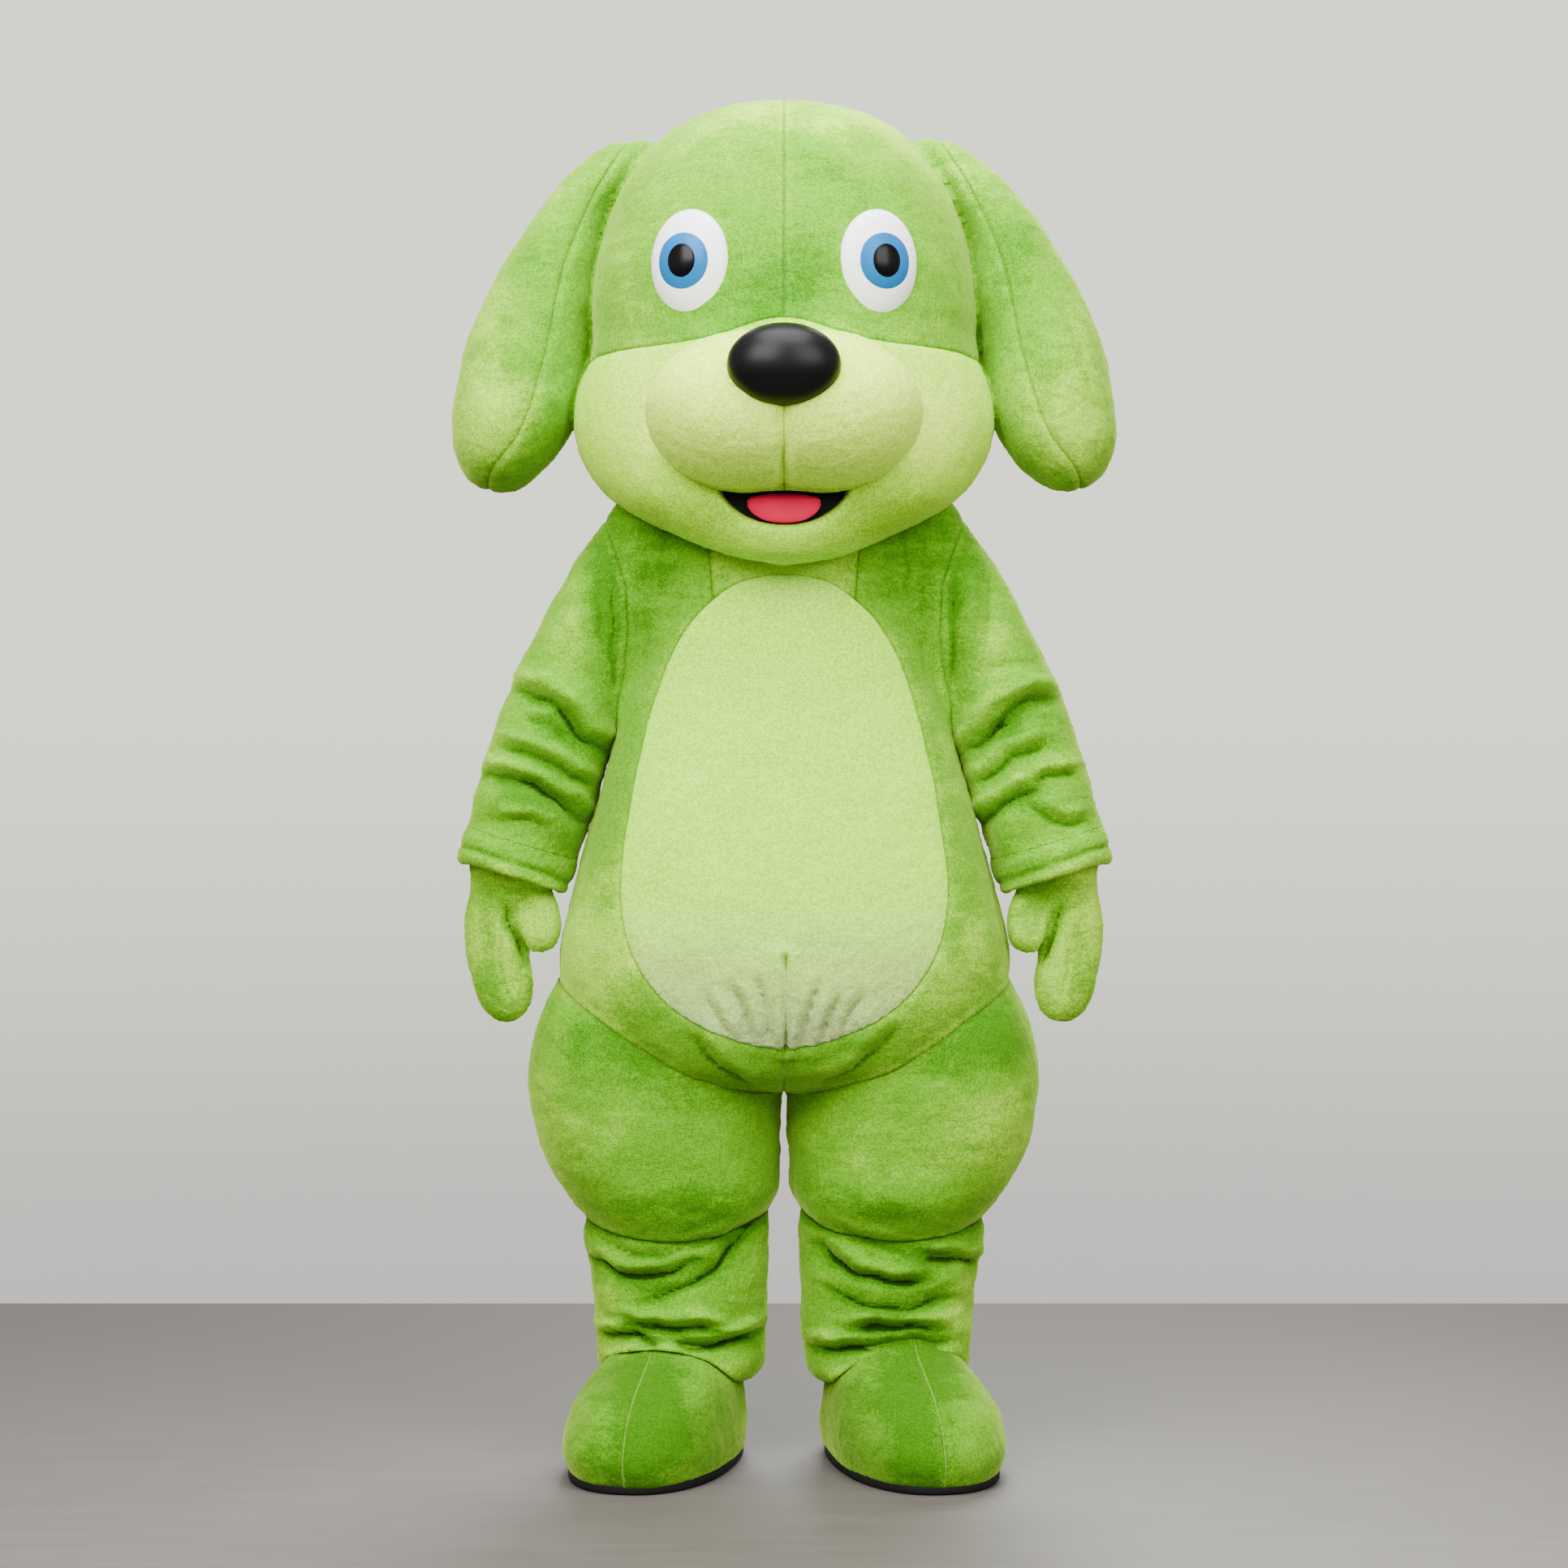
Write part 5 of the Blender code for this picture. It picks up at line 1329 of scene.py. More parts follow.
class Nodes:
    """Writes a node tree in short lines."""

    def __init__(self, tree: Tree) -> None:
        """Starts on an empty tree."""
        self.tree = tree
        tree.nodes.clear()

    def add(self, kind: str, inputs: dict | None = None, **settings: object) -> Node:
        """Adds a node.

        Args:
            kind: The node's type.
            inputs: Values or outputs of other nodes for its inputs, by name or place.
            **settings: The node's own settings.

        Returns:
            The node.
        """
        node = self.tree.nodes.new(kind)
        for key, value in settings.items():
            setattr(node, key, value)
        for key, value in (inputs or {}).items():
            if isinstance(value, Socket):
                self.tree.links.new(value, node.inputs[key])
            else:
                node.inputs[key].default_value = value
        return node

    def math(self, operation: str, *values: object) -> Socket:
        """A sum, product or other math of values and outputs."""
        return self.add("ShaderNodeMath", dict(enumerate(values)), operation=operation).outputs[0]

    def band(self, value: Socket, low: object, high: object, to_low: float = 0.0,
             to_high: float = 1.0) -> Socket:
        """Maps a value smoothly from one range to another."""
        inputs = {"Value": value, "From Min": low, "From Max": high, "To Min": to_low, "To Max": to_high}
        return self.add("ShaderNodeMapRange", inputs, interpolation_type="SMOOTHSTEP").outputs["Result"]

    def mix(self, share: object, first: object, second: object, blend: str = "MIX") -> Socket:
        """Mixes two colours."""
        node = self.add("ShaderNodeMix", {0: share, 6: first, 7: second}, data_type="RGBA", blend_type=blend)
        return node.outputs[2]

    def noise(self, vector: Socket, scale: object, detail: float = 3.0, rough: float = 0.55,
              warp: float = 0.0) -> Socket:
        """Soft noise between 0 and 1."""
        inputs = {"Vector": vector, "Scale": scale, "Detail": detail, "Roughness": rough, "Distortion": warp}
        return self.add("ShaderNodeTexNoise", inputs).outputs[0]

    def stretched(self, vector: Socket, scale: Corner) -> Socket:
        """Stretches a vector."""
        return self.add("ShaderNodeMapping", {"Vector": vector, "Scale": scale}).outputs[0]

    def tinted(self, colour: object, shade: Socket) -> Socket:
        """Multiplies a colour by a grey."""
        tint = self.add("ShaderNodeCombineColor", {0: shade, 1: shade, 2: shade}).outputs[0]
        return self.mix(1.0, colour, tint, "MULTIPLY")

    def effect(self, tree: Tree, inputs: dict) -> Node:
        """Places a shared effect."""
        return self.add("ShaderNodeGroup", inputs, node_tree=tree)

    def principled(self, inputs: dict) -> None:
        """Ends a material's tree in its shader."""
        shader = self.add("ShaderNodeBsdfPrincipled", inputs)
        self.add("ShaderNodeOutputMaterial", {"Surface": shader.outputs[0]})

    def sum(self, *parts: tuple[Socket, float]) -> Socket:
        """Adds values up, each times its share."""
        total, *others = [self.math("MULTIPLY", value, share) for value, share in parts]
        for other in others:
            total = self.math("ADD", total, other)
        return total


def node_group(name: str, inputs: dict[str, float | None], outputs: Sequence[str],
               write: Callable[[Nodes, Node], dict[str, Socket]]) -> Tree:
    """Builds a shared effect once.

    Args:
        name: The group's name.
        inputs: For each input its first value, or None for a vector.
        outputs: The names of its outputs.
        write: Writes the nodes and returns what each output gives.

    Returns:
        The group.
    """
    found = bpy.data.node_groups.get(name)
    if found:
        return found
    tree = bpy.data.node_groups.new(name, "ShaderNodeTree")
    for key, value in inputs.items():
        if value is None:
            tree.interface.new_socket(name=key, in_out="INPUT", socket_type="NodeSocketVector")
        else:
            socket = tree.interface.new_socket(name=key, in_out="INPUT", socket_type="NodeSocketFloat")
            socket.default_value = value
    for key in outputs:
        tree.interface.new_socket(name=key, in_out="OUTPUT", socket_type="NodeSocketFloat")
    nodes = Nodes(tree)
    entry = nodes.add("NodeGroupInput")
    given = write(nodes, entry)
    nodes.add("NodeGroupOutput", given)
    return tree


def nap_group() -> Tree:
    """Brushed patches of pile: where it lies towards the light or away from it."""

    def write(n: Nodes, entry: Node) -> dict[str, Socket]:
        """Writes the nodes."""
        place, size = entry.outputs["Vector"], entry.outputs["Patch scale"]
        broad = n.noise(place, size, 3.0, 0.55, 0.7)
        combed = n.noise(n.stretched(place, (1.0, 1.0, 3.4)), n.math("MULTIPLY", size, 3.1), 4.0, 0.62, 0.5)
        flecks = n.noise(place, n.math("MULTIPLY", size, 9.0), 3.0, 0.6, 0.2)
        return {"Mask": n.band(n.sum((broad, 0.58), (combed, 0.34), (flecks, 0.08)), 0.36, 0.64)}

    return node_group("Brushed nap", {"Vector": None, "Patch scale": 5.0}, ("Mask",), write)


def pile_group() -> Tree:
    """The tips of short pile: clumps of fibres, their shade and their height."""

    def write(n: Nodes, entry: Node) -> dict[str, Socket]:
        """Writes the nodes."""
        place, size = entry.outputs["Vector"], entry.outputs["Pile scale"]
        tips = n.noise(place, size, 2.0, 0.7)
        clumps = n.noise(place, n.math("MULTIPLY", size, 0.50), 3.0, 0.65, 0.4)
        rows = n.noise(n.stretched(place, (0.45, 0.45, 2.6)), n.math("MULTIPLY", size, 0.45), 2.0, 0.5)
        height = n.sum((tips, 0.56), (clumps, 0.30), (rows, 0.14))
        return {"Shade": n.band(height, 0.38, 0.62), "Height": height}

    return node_group("Pile tips", {"Vector": None, "Pile scale": 330.0}, ("Shade", "Height"), write)


def seam_group() -> Tree:
    """A sewn seam: its fine line, and the pile that stands up beside it."""

    def write(n: Nodes, entry: Node) -> dict[str, Socket]:
        """Writes the nodes."""
        far = entry.outputs["Distance"]
        raised = n.math("SUBTRACT", n.band(far, 0.0015, 0.0045), n.band(far, 0.0045, 0.014))
        return {"Line": n.band(far, 0.0, entry.outputs["Width"], 1.0, 0.0), "Beside": raised}

    return node_group("Sewn seam", {"Distance": SEAM_REACH, "Width": 0.002}, ("Line", "Beside"), write)


def material(name: str) -> tuple[bpy.types.Material, Nodes]:
    """A new material and its empty tree."""
    made = bpy.data.materials.new(name)
    made.use_nodes = True
    return made, Nodes(made.node_tree)


@dataclass(frozen=True)
class Plush:
    """Short-pile plush.

    Attributes:
        name: The finish's name.
        slot: The record's slot; not used.
        deep: Colour where the pile lies away from the light, and painted shade in hollows, creases and under
            parts.
        middle: Its middling colour.
        pale: Colour where it is brushed up, and painted light on tops, ridges and lips.
        patch_scale: How many brushed patches there are to a metre.
        mottle: How much its brushed patches differ.
        sheen: Weight of the sheen of its pile.
        thread: Colour of its seams where they show as a line of their own.
        grey_and_shaded_foot: Colour of a panel's foot, greyer and darker: a greyer tone, and painted shade
            where it turns down; None where the foot keeps its colour.
        fade: Heights above the floor at which the foot's colour is fully in and not at all.
        foot_share: How much of the colour goes there.
        pile_scale: How many fibres there are to a metre.
        pile_shift: How much the single fibres differ.
        pile_shade: Brightness between the fibres and on their tips.
        tip_strength: Strength of the tips' relief.
        tip_height: Their height.
        seam_width: Width of the line of a seam.
        seam_share: How much that line shows.
        seam_lift: How much paler the pile beside a seam is.
        middle_from: Lie of the pile with its painted light and shade at which the middling colour starts and
            is full.
        pale_from: The same for the pale colour.
        slit_from: The same for the painted shade at the bottom of a deep fold.
        slit_share: Brightness of that painted shade, as a share of the deep colour.
        roughness: Roughness where the pile lies down and where it is brushed up.
        specular: Level of its plain reflections.
        sheen_roughness: Roughness of the sheen.
        sheen_tint: Colour of the sheen.
    """

    name: str
    slot: str
    deep: Colour
    middle: Colour
    pale: Colour
    patch_scale: float
    mottle: float
    sheen: float = 0.54
    thread: Colour | None = None
    grey_and_shaded_foot: Colour | None = None
    fade: tuple[float, float] = (0.58, 0.84)
    foot_share: float = 0.82
    pile_scale: float = 360.0
    pile_shift: float = 0.10
    pile_shade: tuple[float, float] = (0.78, 1.10)
    tip_strength: float = 0.55
    tip_height: float = 0.0026
    seam_width: float = 0.0016
    seam_share: float = 0.38
    seam_lift: float = 0.08
    middle_from: tuple[float, float] = (0.08, 0.52)
    pale_from: tuple[float, float] = (0.48, 0.94)
    slit_from: tuple[float, float] = (-0.06, -0.42)
    slit_share: float = 0.22
    roughness: tuple[float, float] = (0.98, 0.90)
    specular: float = 0.02
    sheen_roughness: float = 0.38
    sheen_tint: Colour = (0.74, 1.0, 0.16)

    def build(self) -> bpy.types.Material:
        """The material, made once."""
        found = bpy.data.materials.get(self.name)
        if found:
            return found
        made, n = material(self.name)
        place = n.add("ShaderNodeTexCoord").outputs["Object"]
        far = n.add("ShaderNodeAttribute", attribute_name="seam").outputs["Fac"]
        # The pile's lie together with its painted light and painted shade, read from the skin
        lie_and_shading = n.add("ShaderNodeAttribute", attribute_name="nap_and_shading").outputs["Fac"]
        patches = n.effect(nap_group(), {"Vector": place, "Patch scale": self.patch_scale})
        pile = n.effect(pile_group(), {"Vector": place, "Pile scale": self.pile_scale})
        seam = n.effect(seam_group(), {"Distance": far, "Width": self.seam_width})
        for mask, share in ((patches.outputs["Mask"], self.mottle), (pile.outputs["Shade"], self.pile_shift)):
            lie_and_shading = n.math("ADD", lie_and_shading, n.math("MULTIPLY", n.math("SUBTRACT", mask, 0.5), share))
        lie_and_shading = n.math("ADD", lie_and_shading, n.math("MULTIPLY", seam.outputs["Beside"], self.seam_lift))
        colour = n.mix(n.band(lie_and_shading, *self.middle_from), (*self.deep, 1.0), (*self.middle, 1.0))
        colour = n.mix(n.band(lie_and_shading, *self.pale_from), colour, (*self.pale, 1.0))
        # Painted shade: the darkest colour at the bottom of deep folds
        bottom = [c * self.slit_share for c in self.deep]
        colour = n.mix(n.band(lie_and_shading, *self.slit_from), colour, (*bottom, 1.0))
        # The foot goes greyer and darker: a greyer tone, and painted shade where the patch turns down
        if self.grey_and_shaded_foot:
            height = n.add("ShaderNodeSeparateXYZ", {0: place}).outputs[2]
            toward_foot = n.band(height, self.fade[1] - SHOULDER_HEIGHT, self.fade[0] - SHOULDER_HEIGHT)
            colour = n.mix(n.math("MULTIPLY", toward_foot, self.foot_share), colour, (*self.grey_and_shaded_foot, 1.0))
        thread = self.thread or tuple(c * 0.5 for c in self.deep)
        colour = n.mix(n.math("MULTIPLY", seam.outputs["Line"], self.seam_share), colour, (*thread, 1.0))
        colour = n.tinted(colour, n.band(pile.outputs["Shade"], 0.0, 1.0, *self.pile_shade))
        rough = n.band(lie_and_shading, 0.0, 1.0, *self.roughness)
        relief = n.add("ShaderNodeBump", {"Strength": self.tip_strength, "Distance": self.tip_height,
                                          "Height": pile.outputs["Height"]})
        n.principled({"Base Color": colour, "Roughness": rough, "Normal": relief.outputs[0],
                      "Specular IOR Level": self.specular, "Sheen Weight": self.sheen,
                      "Sheen Roughness": self.sheen_roughness, "Sheen Tint": (*self.sheen_tint, 1.0)})
        return made


@dataclass(frozen=True)
class Smooth:
    """Vinyl, rubber, felt or mesh: one colour with its own grain.

    Attributes:
        name: The finish's name.
        slot: The record's slot; not used.
        colour: Its colour.
        roughness: Least and most roughness.
        grain_scale: Grains to a metre.
        grain_height: Their height.
        coat: Weight of a clear coat.
        shift: How much its brightness wanders.
        cloud_scale: How many times it wanders to a metre.
        middle_band: The part of the noise that is spread over the whole range.
        grain_strength: Strength of the grain's relief.
        specular: Level of its plain reflections.
        coat_roughness: Roughness of the clear coat.
    """

    name: str
    slot: str
    colour: Colour
    roughness: tuple[float, float]
    grain_scale: float
    grain_height: float
    coat: float = 0.0
    shift: float = 0.12
    cloud_scale: float = 14.0
    middle_band: tuple[float, float] = (0.3, 0.7)
    grain_strength: float = 0.4
    specular: float = 0.14
    coat_roughness: float = 0.12

    def build(self) -> bpy.types.Material:
        """The material, made once."""
        found = bpy.data.materials.get(self.name)
        if found:
            return found
        made, n = material(self.name)
        place = n.add("ShaderNodeTexCoord").outputs["Object"]
        grain = n.noise(place, self.grain_scale, 3.0, 0.6)
        cloud = n.noise(place, self.cloud_scale, 3.0, 0.55, 0.3)
        tone = n.band(cloud, *self.middle_band, 1.0 - self.shift, 1.0 + self.shift)
        colour = n.tinted((*self.colour, 1.0), tone)
        rough = n.band(grain, *self.middle_band, *self.roughness)
        relief = n.add("ShaderNodeBump", {"Strength": self.grain_strength, "Distance": self.grain_height,
                                          "Height": grain})
        n.principled({"Base Color": colour, "Roughness": rough, "Normal": relief.outputs[0],
                      "Specular IOR Level": self.specular, "Coat Weight": self.coat,
                      "Coat Roughness": self.coat_roughness})
        return made


GREEN = Plush("Green plush", "plush_green", (0.046, 0.195, 0.003), (0.126, 0.360, 0.008),
              (0.370, 0.680, 0.034), 5.2, 0.32)
BOOT_PLUSH = Plush("Boot plush", "plush_green", (0.040, 0.165, 0.003), (0.115, 0.315, 0.009),
                   (0.300, 0.520, 0.060), 6.4, 0.36, thread=(0.420, 0.620, 0.100))
BELLY_PLUSH = Plush("Belly plush", "plush_belly", (0.200, 0.380, 0.020), (0.440, 0.880, 0.030),
                    (0.500, 0.900, 0.070), 4.2, 0.12, sheen=0.26, grey_and_shaded_foot=(0.360, 0.440, 0.190))
FACE_PLUSH = Plush("Face plush", "plush_face", (0.230, 0.480, 0.010), (0.430, 0.800, 0.024),
                   (0.620, 0.900, 0.075), 5.0, 0.16, sheen=0.28)
SOLE = Smooth("Sole rubber", "sole_rubber", (0.008, 0.008, 0.008), (0.62, 0.80), 420.0, 0.0006)
NOSE_VINYL = Smooth("Nose vinyl", "nose_vinyl", (0.003, 0.003, 0.003), (0.30, 0.42), 900.0, 0.0002)
EYE_WHITE_VINYL = Smooth("Eye white", "eye_white_vinyl", (0.86, 0.87, 0.87), (0.28, 0.36), 700.0, 0.0001,
                         coat=0.3, shift=0.02)
EYE_IRIS_VINYL = Smooth("Eye iris", "eye_iris_vinyl", (0.002, 0.120, 0.330), (0.26, 0.34), 700.0, 0.0001,
                        shift=0.10)
EYE_PUPIL_VINYL = Smooth("Eye pupil", "eye_pupil_vinyl", (0.002, 0.002, 0.002), (0.20, 0.28), 700.0, 0.0001)
MOUTH_MESH = Smooth("Mouth mesh", "mouth_mesh", (0.006, 0.006, 0.006), (0.85, 0.95), 520.0, 0.0012)
TONGUE_FELT = Smooth("Tongue felt", "tongue_felt", (0.800, 0.012, 0.070), (0.85, 0.95), 620.0, 0.0012,
                     shift=0.10)


class Held(Enum):
    """How a piece is held in its shape."""

    SHEET = "sheet"
    PADDED = "padded"
    SOLID = "solid"


@dataclass(frozen=True)
class Cut:
    """What a piece was cut from.

    Attributes:
        flat: Width and length of the cloth it is cut from; not used.
        area: The cut's own area; not used.
        sewn_to: A piece that it is sewn to; not used.
        gathered: True where the cloth is drawn into folds; not used.
    """

    flat: tuple[float, float]
    area: float
    sewn_to: str
    gathered: bool = False


def dress(thing: Thing, finish: Plush | Smooth) -> Thing:
    """Gives a piece its finish and its place in the frame, and hides the CAD part it stands for.

    Args:
        thing: The piece, named as its CAD node.
        finish: Its finish.

    Returns:
        The piece.
    """
    thing.data.materials.append(finish.build())
    node = thing.name.removesuffix("_skin")
    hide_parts(node)
    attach(thing, "root")
    log.info("%s: %d faces", thing.name, len(thing.data.polygons))
    return thing


def dress_halves(skin: Skin, names: Sequence[str], side: Side, across: Array, cuts: Sequence[Array] = (),
                 finish: Plush = GREEN, **shape: object) -> None:
    """Cuts two pieces on the two sides of a seam and dresses both.

    Args:
        skin: The skin that they are cut from.
        names: The piece on the negative side of the seam, then the other.
        side: The costume's side that both are on.
        across: Signed distance from the seam.
        cuts: Signed distances from the edges that they share.
        finish: Their finish.
        **shape: What else Skin.piece is told.
    """
    for name, sign in zip(names, (1.0, -1.0)):
        dress(skin.piece(f"{name}_{side.word}", [sign * across, *cuts], **shape), finish)


class SuitForm:
    """The forms of the upper suit, and distances from all of them sewn into one.

    Attributes:
        fillet: How softly the sleeves run into the body where they are sewn to it.
        hang_fillet: The same where they hang beside it.
        hip_fillet: How softly the body runs into the thighs.
        waist: Height below which it does.
        armpit: Height up to which the sleeves hang free.
        armpit_rise: How far above it they are sewn fully.
        armhole_drawn: Heights over which the armhole goes from where the forms part to the drawn line.
        lap: How far body and sleeve end inside each other where the sleeves hang free.
        arms_from: How far from the middle the sleeves begin.
        torso: The body.
        sleeves: Each sleeve with its cuff.
        thighs: Each thigh.
        armhole: The drawn line of the armhole.
    """

    fillet = 0.018
    hang_fillet = 0.002
    hip_fillet = 0.012
    waist = 0.80
    armpit = 0.985
    armpit_rise = 0.060
    armhole_drawn = (1.01, 1.06)
    lap = 0.008
    arms_from = 0.05

    def __init__(self) -> None:
        """Reads the forms."""
        self.torso = Upright(TORSO)
        self.sleeves = {side: Along((*SLEEVE, *CUFF[1:]), side.value) for side in Side}
        self.thighs = {side: Upright(THIGH, side.value) for side in Side}
        self.armhole = np.array(ARMHOLE)

    def depth(self, points: Array, own: Side | None = None) -> Array:
        """Distance from the body with its sleeves, running softly into the thighs.

        Args:
            points: Where to read it.
            own: The sleeve that is read alone below the armpit, or None for the body.

        Returns:
            The distance, negative inside.
        """
        whole = self.torso.depth(points)
        high = self.sewn_height(points)
        for side, sleeve in self.sleeves.items():
            near = points[:, 0] * side.value > self.arms_from
            part = np.ones(len(points))
            part[near] = sleeve.depth(points[near])
            sewn = joined(whole, part, self.fillet * high + self.hang_fillet)
            whole = high * sewn + (1.0 - high) * (part if own is side else whole)
        low_down = points[:, 2] < self.waist
        whole[low_down] = joined(whole[low_down], self.nearer(self.thighs, points[low_down]), self.hip_fillet)
        return whole

    def nearer(self, forms: dict[Side, Upright | Along], points: Array) -> Array:
        """Distance from the nearer one of a pair of forms."""
        return np.minimum(forms[Side.RIGHT].depth(points), forms[Side.LEFT].depth(points))

    def sewn_height(self, points: Array) -> Array:
        """1 where the sleeves are sewn to the body, 0 below the armpit."""
        return ramp(points[:, 2], self.armpit, self.armpit + self.armpit_rise)

    def body_cut(self, points: Array) -> Array:
        """Signed distance from the body's edge at the armholes, negative on the body."""
        beside = self.nearer(self.sleeves, points)
        high = self.sewn_height(points)
        return high * self.armhole_cut(points) + (1.0 - high) * (-self.lap * (1.0 - high) - beside)

    def sleeve_cut(self, points: Array) -> Array:
        """Signed distance from the sleeves' edge at the armholes, negative on the sleeves."""
        high = self.sewn_height(points)
        hanging = (1.0 - high) * (-self.lap * (1.0 - high) - self.torso.depth(points))
        return hanging - high * self.armhole_cut(points)

    def armhole_cut(self, points: Array) -> Array:
        """Signed distance from the armholes, negative on the body."""
        x, z = points[:, 0], points[:, 2]
        drawn = np.abs(x) - np.interp(z, self.armhole[:, 0], self.armhole[:, 1])
        parted = self.torso.depth(points) - self.nearer(self.sleeves, points)
        high = ramp(z, *self.armhole_drawn)
        return high * drawn + (1.0 - high) * parted

    def sleeve_end(self, points: Array, side: Side) -> tuple[Array, Array]:
        """Signed distances past the seam of the cuff, and from there to the cuff's own end."""
        sleeve = self.sleeves[side]
        last = np.array([[SLEEVE[-1].x * side.value, SLEEVE[-1].y, SLEEVE[-1].z]])
        seam = sleeve.place(last)[0][0]
        s = sleeve.place(points)[0]
        return s - seam, sleeve.table[-1, 0] - s


@dataclass
class Trunk:
    """The body of the suit: belly patch, yoke, front, back and seat."""

    suit: SuitForm
    space: Space = Space(-0.345, 0.345, -0.260, 0.260, 0.490, 1.460, 0.0075, SUIT_LUMPS, SUIT_SEED)
    patch_space: Space = Space(-0.240, 0.240, -0.260, -0.005, 0.540, 1.270, 0.0050, SUIT_LUMPS, SUIT_SEED)
    patch_back: float = -0.02
    patch_tuck: float = 0.0014
    yoke_top_half: float = 0.150
    yoke_foot_half: float = 0.098
    yoke_foot: float = 1.195
    yoke_lift: float = 0.10
    far_up: float = 2.0
    far_down: float = 0.3
    far_out: float = 0.5
    seat_foot: float = 0.800
    seat_rise: float = 0.130
    seat_half: float = 0.300
    seat_fullness: float = 0.7
    neck: float = 1.433

    def seat_outline(self) -> list[tuple[float, float]]:
        """The arch over the seat panels, closed below the crotch."""
        foot, out, angles = self.seat_foot, self.far_out, np.linspace(0.0, math.pi, 60)
        rises = [self.seat_rise * max(math.sin(a), 0.0) ** self.seat_fullness for a in angles]
        arch = [(self.seat_half * math.cos(a), foot + rise) for a, rise in zip(angles, rises)]
        return [(out, self.far_down), (out, foot), *arch, (-out, foot), (-out, self.far_down)]

    def skin(self, space: Space) -> tuple[Skin, Array, Array, Array]:
        """One part of the skin with its folds.

        Args:
            space: Where it is looked for.

        Returns:
            The skin, and signed distances past the belly patch, past the thighs' seams and past the armholes.
        """
        skin = space.skin(self.suit.depth)
        arm = self.suit.body_cut(skin.rest)
        skin.fold(BODY_FOLDS, 1.0 - ramp(arm, *ARMHOLE_FADE))
        skin.brush(TRUNK_ZONES)
        x, z = skin.rest[:, 0], skin.rest[:, 2]
        belly = outline_depth(x, z, mirrored_outline(BELLY, BELLY_READINGS))
        hip = self.suit.torso.depth(skin.rest) - self.suit.nearer(self.suit.thighs, skin.rest)
        return skin, belly, np.where(z < self.suit.waist, hip, WELL_INSIDE), arm

    def build(self) -> None:
        """Builds the belly patch, the yoke, the body and the seat."""
        skin, belly, hip, _ = self.skin(self.patch_space)
        cuts = [belly, skin.rest[:, 1] - self.patch_back, hip]
        dress(skin.piece("belly_patch", cuts, tuck=self.patch_tuck), BELLY_PLUSH)
        skin, belly, hip, arm = self.skin(self.space)
        x, y, z = skin.rest.T
        top, foot = self.yoke_top_half, self.yoke_foot_half
        corners = [(-top, self.far_up), (-foot, self.yoke_foot), (foot, self.yoke_foot), (top, self.far_up)]
        yoke = outline_depth(x, z, corners)
        seat = outline_depth(x, z, self.seat_outline())
        neck = z - self.neck
        # The yoke is painted paler: painted light under the head's shadow
        skin.nap_and_shading += self.yoke_lift * (yoke < 0.0)
        dress(skin.piece("neck_yoke", [yoke, y, -belly], plain=[neck]), GREEN)
        for side in Side:
            shared = [-x * side.value, hip, arm]
            panels = {"body_front": [y, -belly, -yoke], "body_back": [-y, -seat], "seat": [-y, seat]}
            for name, own in panels.items():
                plain = [] if name == "seat" else [neck]
                dress(skin.piece(f"{name}_{side.word}", [*own, *shared], plain=plain), GREEN)


@dataclass
class Sleeve:
    """One sleeve with its rolled cuff."""

    suit: SuitForm
    side: Side
    space: Space = Space(0.190, 0.480, -0.150, 0.130, 0.825, 1.400, 0.0038, SUIT_LUMPS, SUIT_SEED)
    cuff_space: Space = Space(0.262, 0.480, -0.150, 0.130, 0.755, 0.930, 0.0032, SUIT_LUMPS, SUIT_SEED)
    seam_y: float = 0.004
    cuff_wall: float = 0.019
    hem_roll: float = 0.0090
    hem_gap: float = 0.0006
    drawn_up: float = 0.0070
    drawn_facing: tuple[float, float] = (-0.2, 0.9)
    hem_wave: float = 0.0012
    hem_wave_size: float = 0.05
    hem_seed: int = 61
    groove_place: float = 2.5
    groove_width: float = 0.0042
    groove_depth: float = 0.0026
    groove_shade: float = 0.30
    swell_place: float = 1.2
    swell: float = 0.0016
    hem_light: float = 0.16
    thinnest: float = 0.90

    def build(self) -> None:
        """Builds the sleeve's front and back, then the cuff."""
        skin, arm = self.skin(self.space)
        past, _ = self.suit.sleeve_end(skin.rest, self.side)
        fore = skin.rest[:, 1] - self.seam_y
        dress_halves(skin, ("sleeve_front", "sleeve_back"), self.side, fore, [arm], plain=[past])
        skin, arm = self.skin(self.cuff_space)
        past, left = self.suit.sleeve_end(skin.rest, self.side)
        left = left - self.drawn_up * ramp(-skin.normal[:, 1], *self.drawn_facing)
        left = left - self.hem_wave * unevenness(skin.rest, self.hem_wave_size, self.hem_seed)
        roll = self.hem_roll
        groove = bump(left - self.groove_place * roll, self.groove_width)
        skin.press += self.groove_depth * groove - self.swell * bump(left - self.swell_place * roll, roll)
        rounding = self.cuff_wall / 2.0
        lip = rounding - np.sqrt(np.maximum(rounding**2 - np.maximum(rounding - left, 0.0) ** 2, 0.0))
        skin.press += lip
        skin.thin = 2.0 * np.minimum(lip, rounding * self.thinnest)
        # Painted highlight on the rolled hem and painted shade in the groove above it
        skin.nap_and_shading += self.hem_light * bump(left - roll, roll) - self.groove_shade * groove
        plain = [-past, self.hem_gap - left, arm]
        dress(skin.piece(f"cuff_{self.side.word}", [], self.cuff_wall, 0.0, plain=plain), GREEN)

    def skin(self, space: Space) -> tuple[Skin, Array]:
        """A part of the skin over the sleeve with its folds, where it hangs free without the body.

        Args:
            space: Where it is looked for.

        Returns:
            The skin, and the signed distance past the sleeve's edge at the armhole.
        """
        skin = space.skin(lambda points: self.suit.depth(points, self.side), self.side.value)
        arm = self.suit.sleeve_cut(skin.rest)
        skin.fold(SLEEVE_FOLDS[self.side], ramp(-arm, *ARMHOLE_FADE))
        skin.brush(TRUNK_ZONES)
        return skin, arm


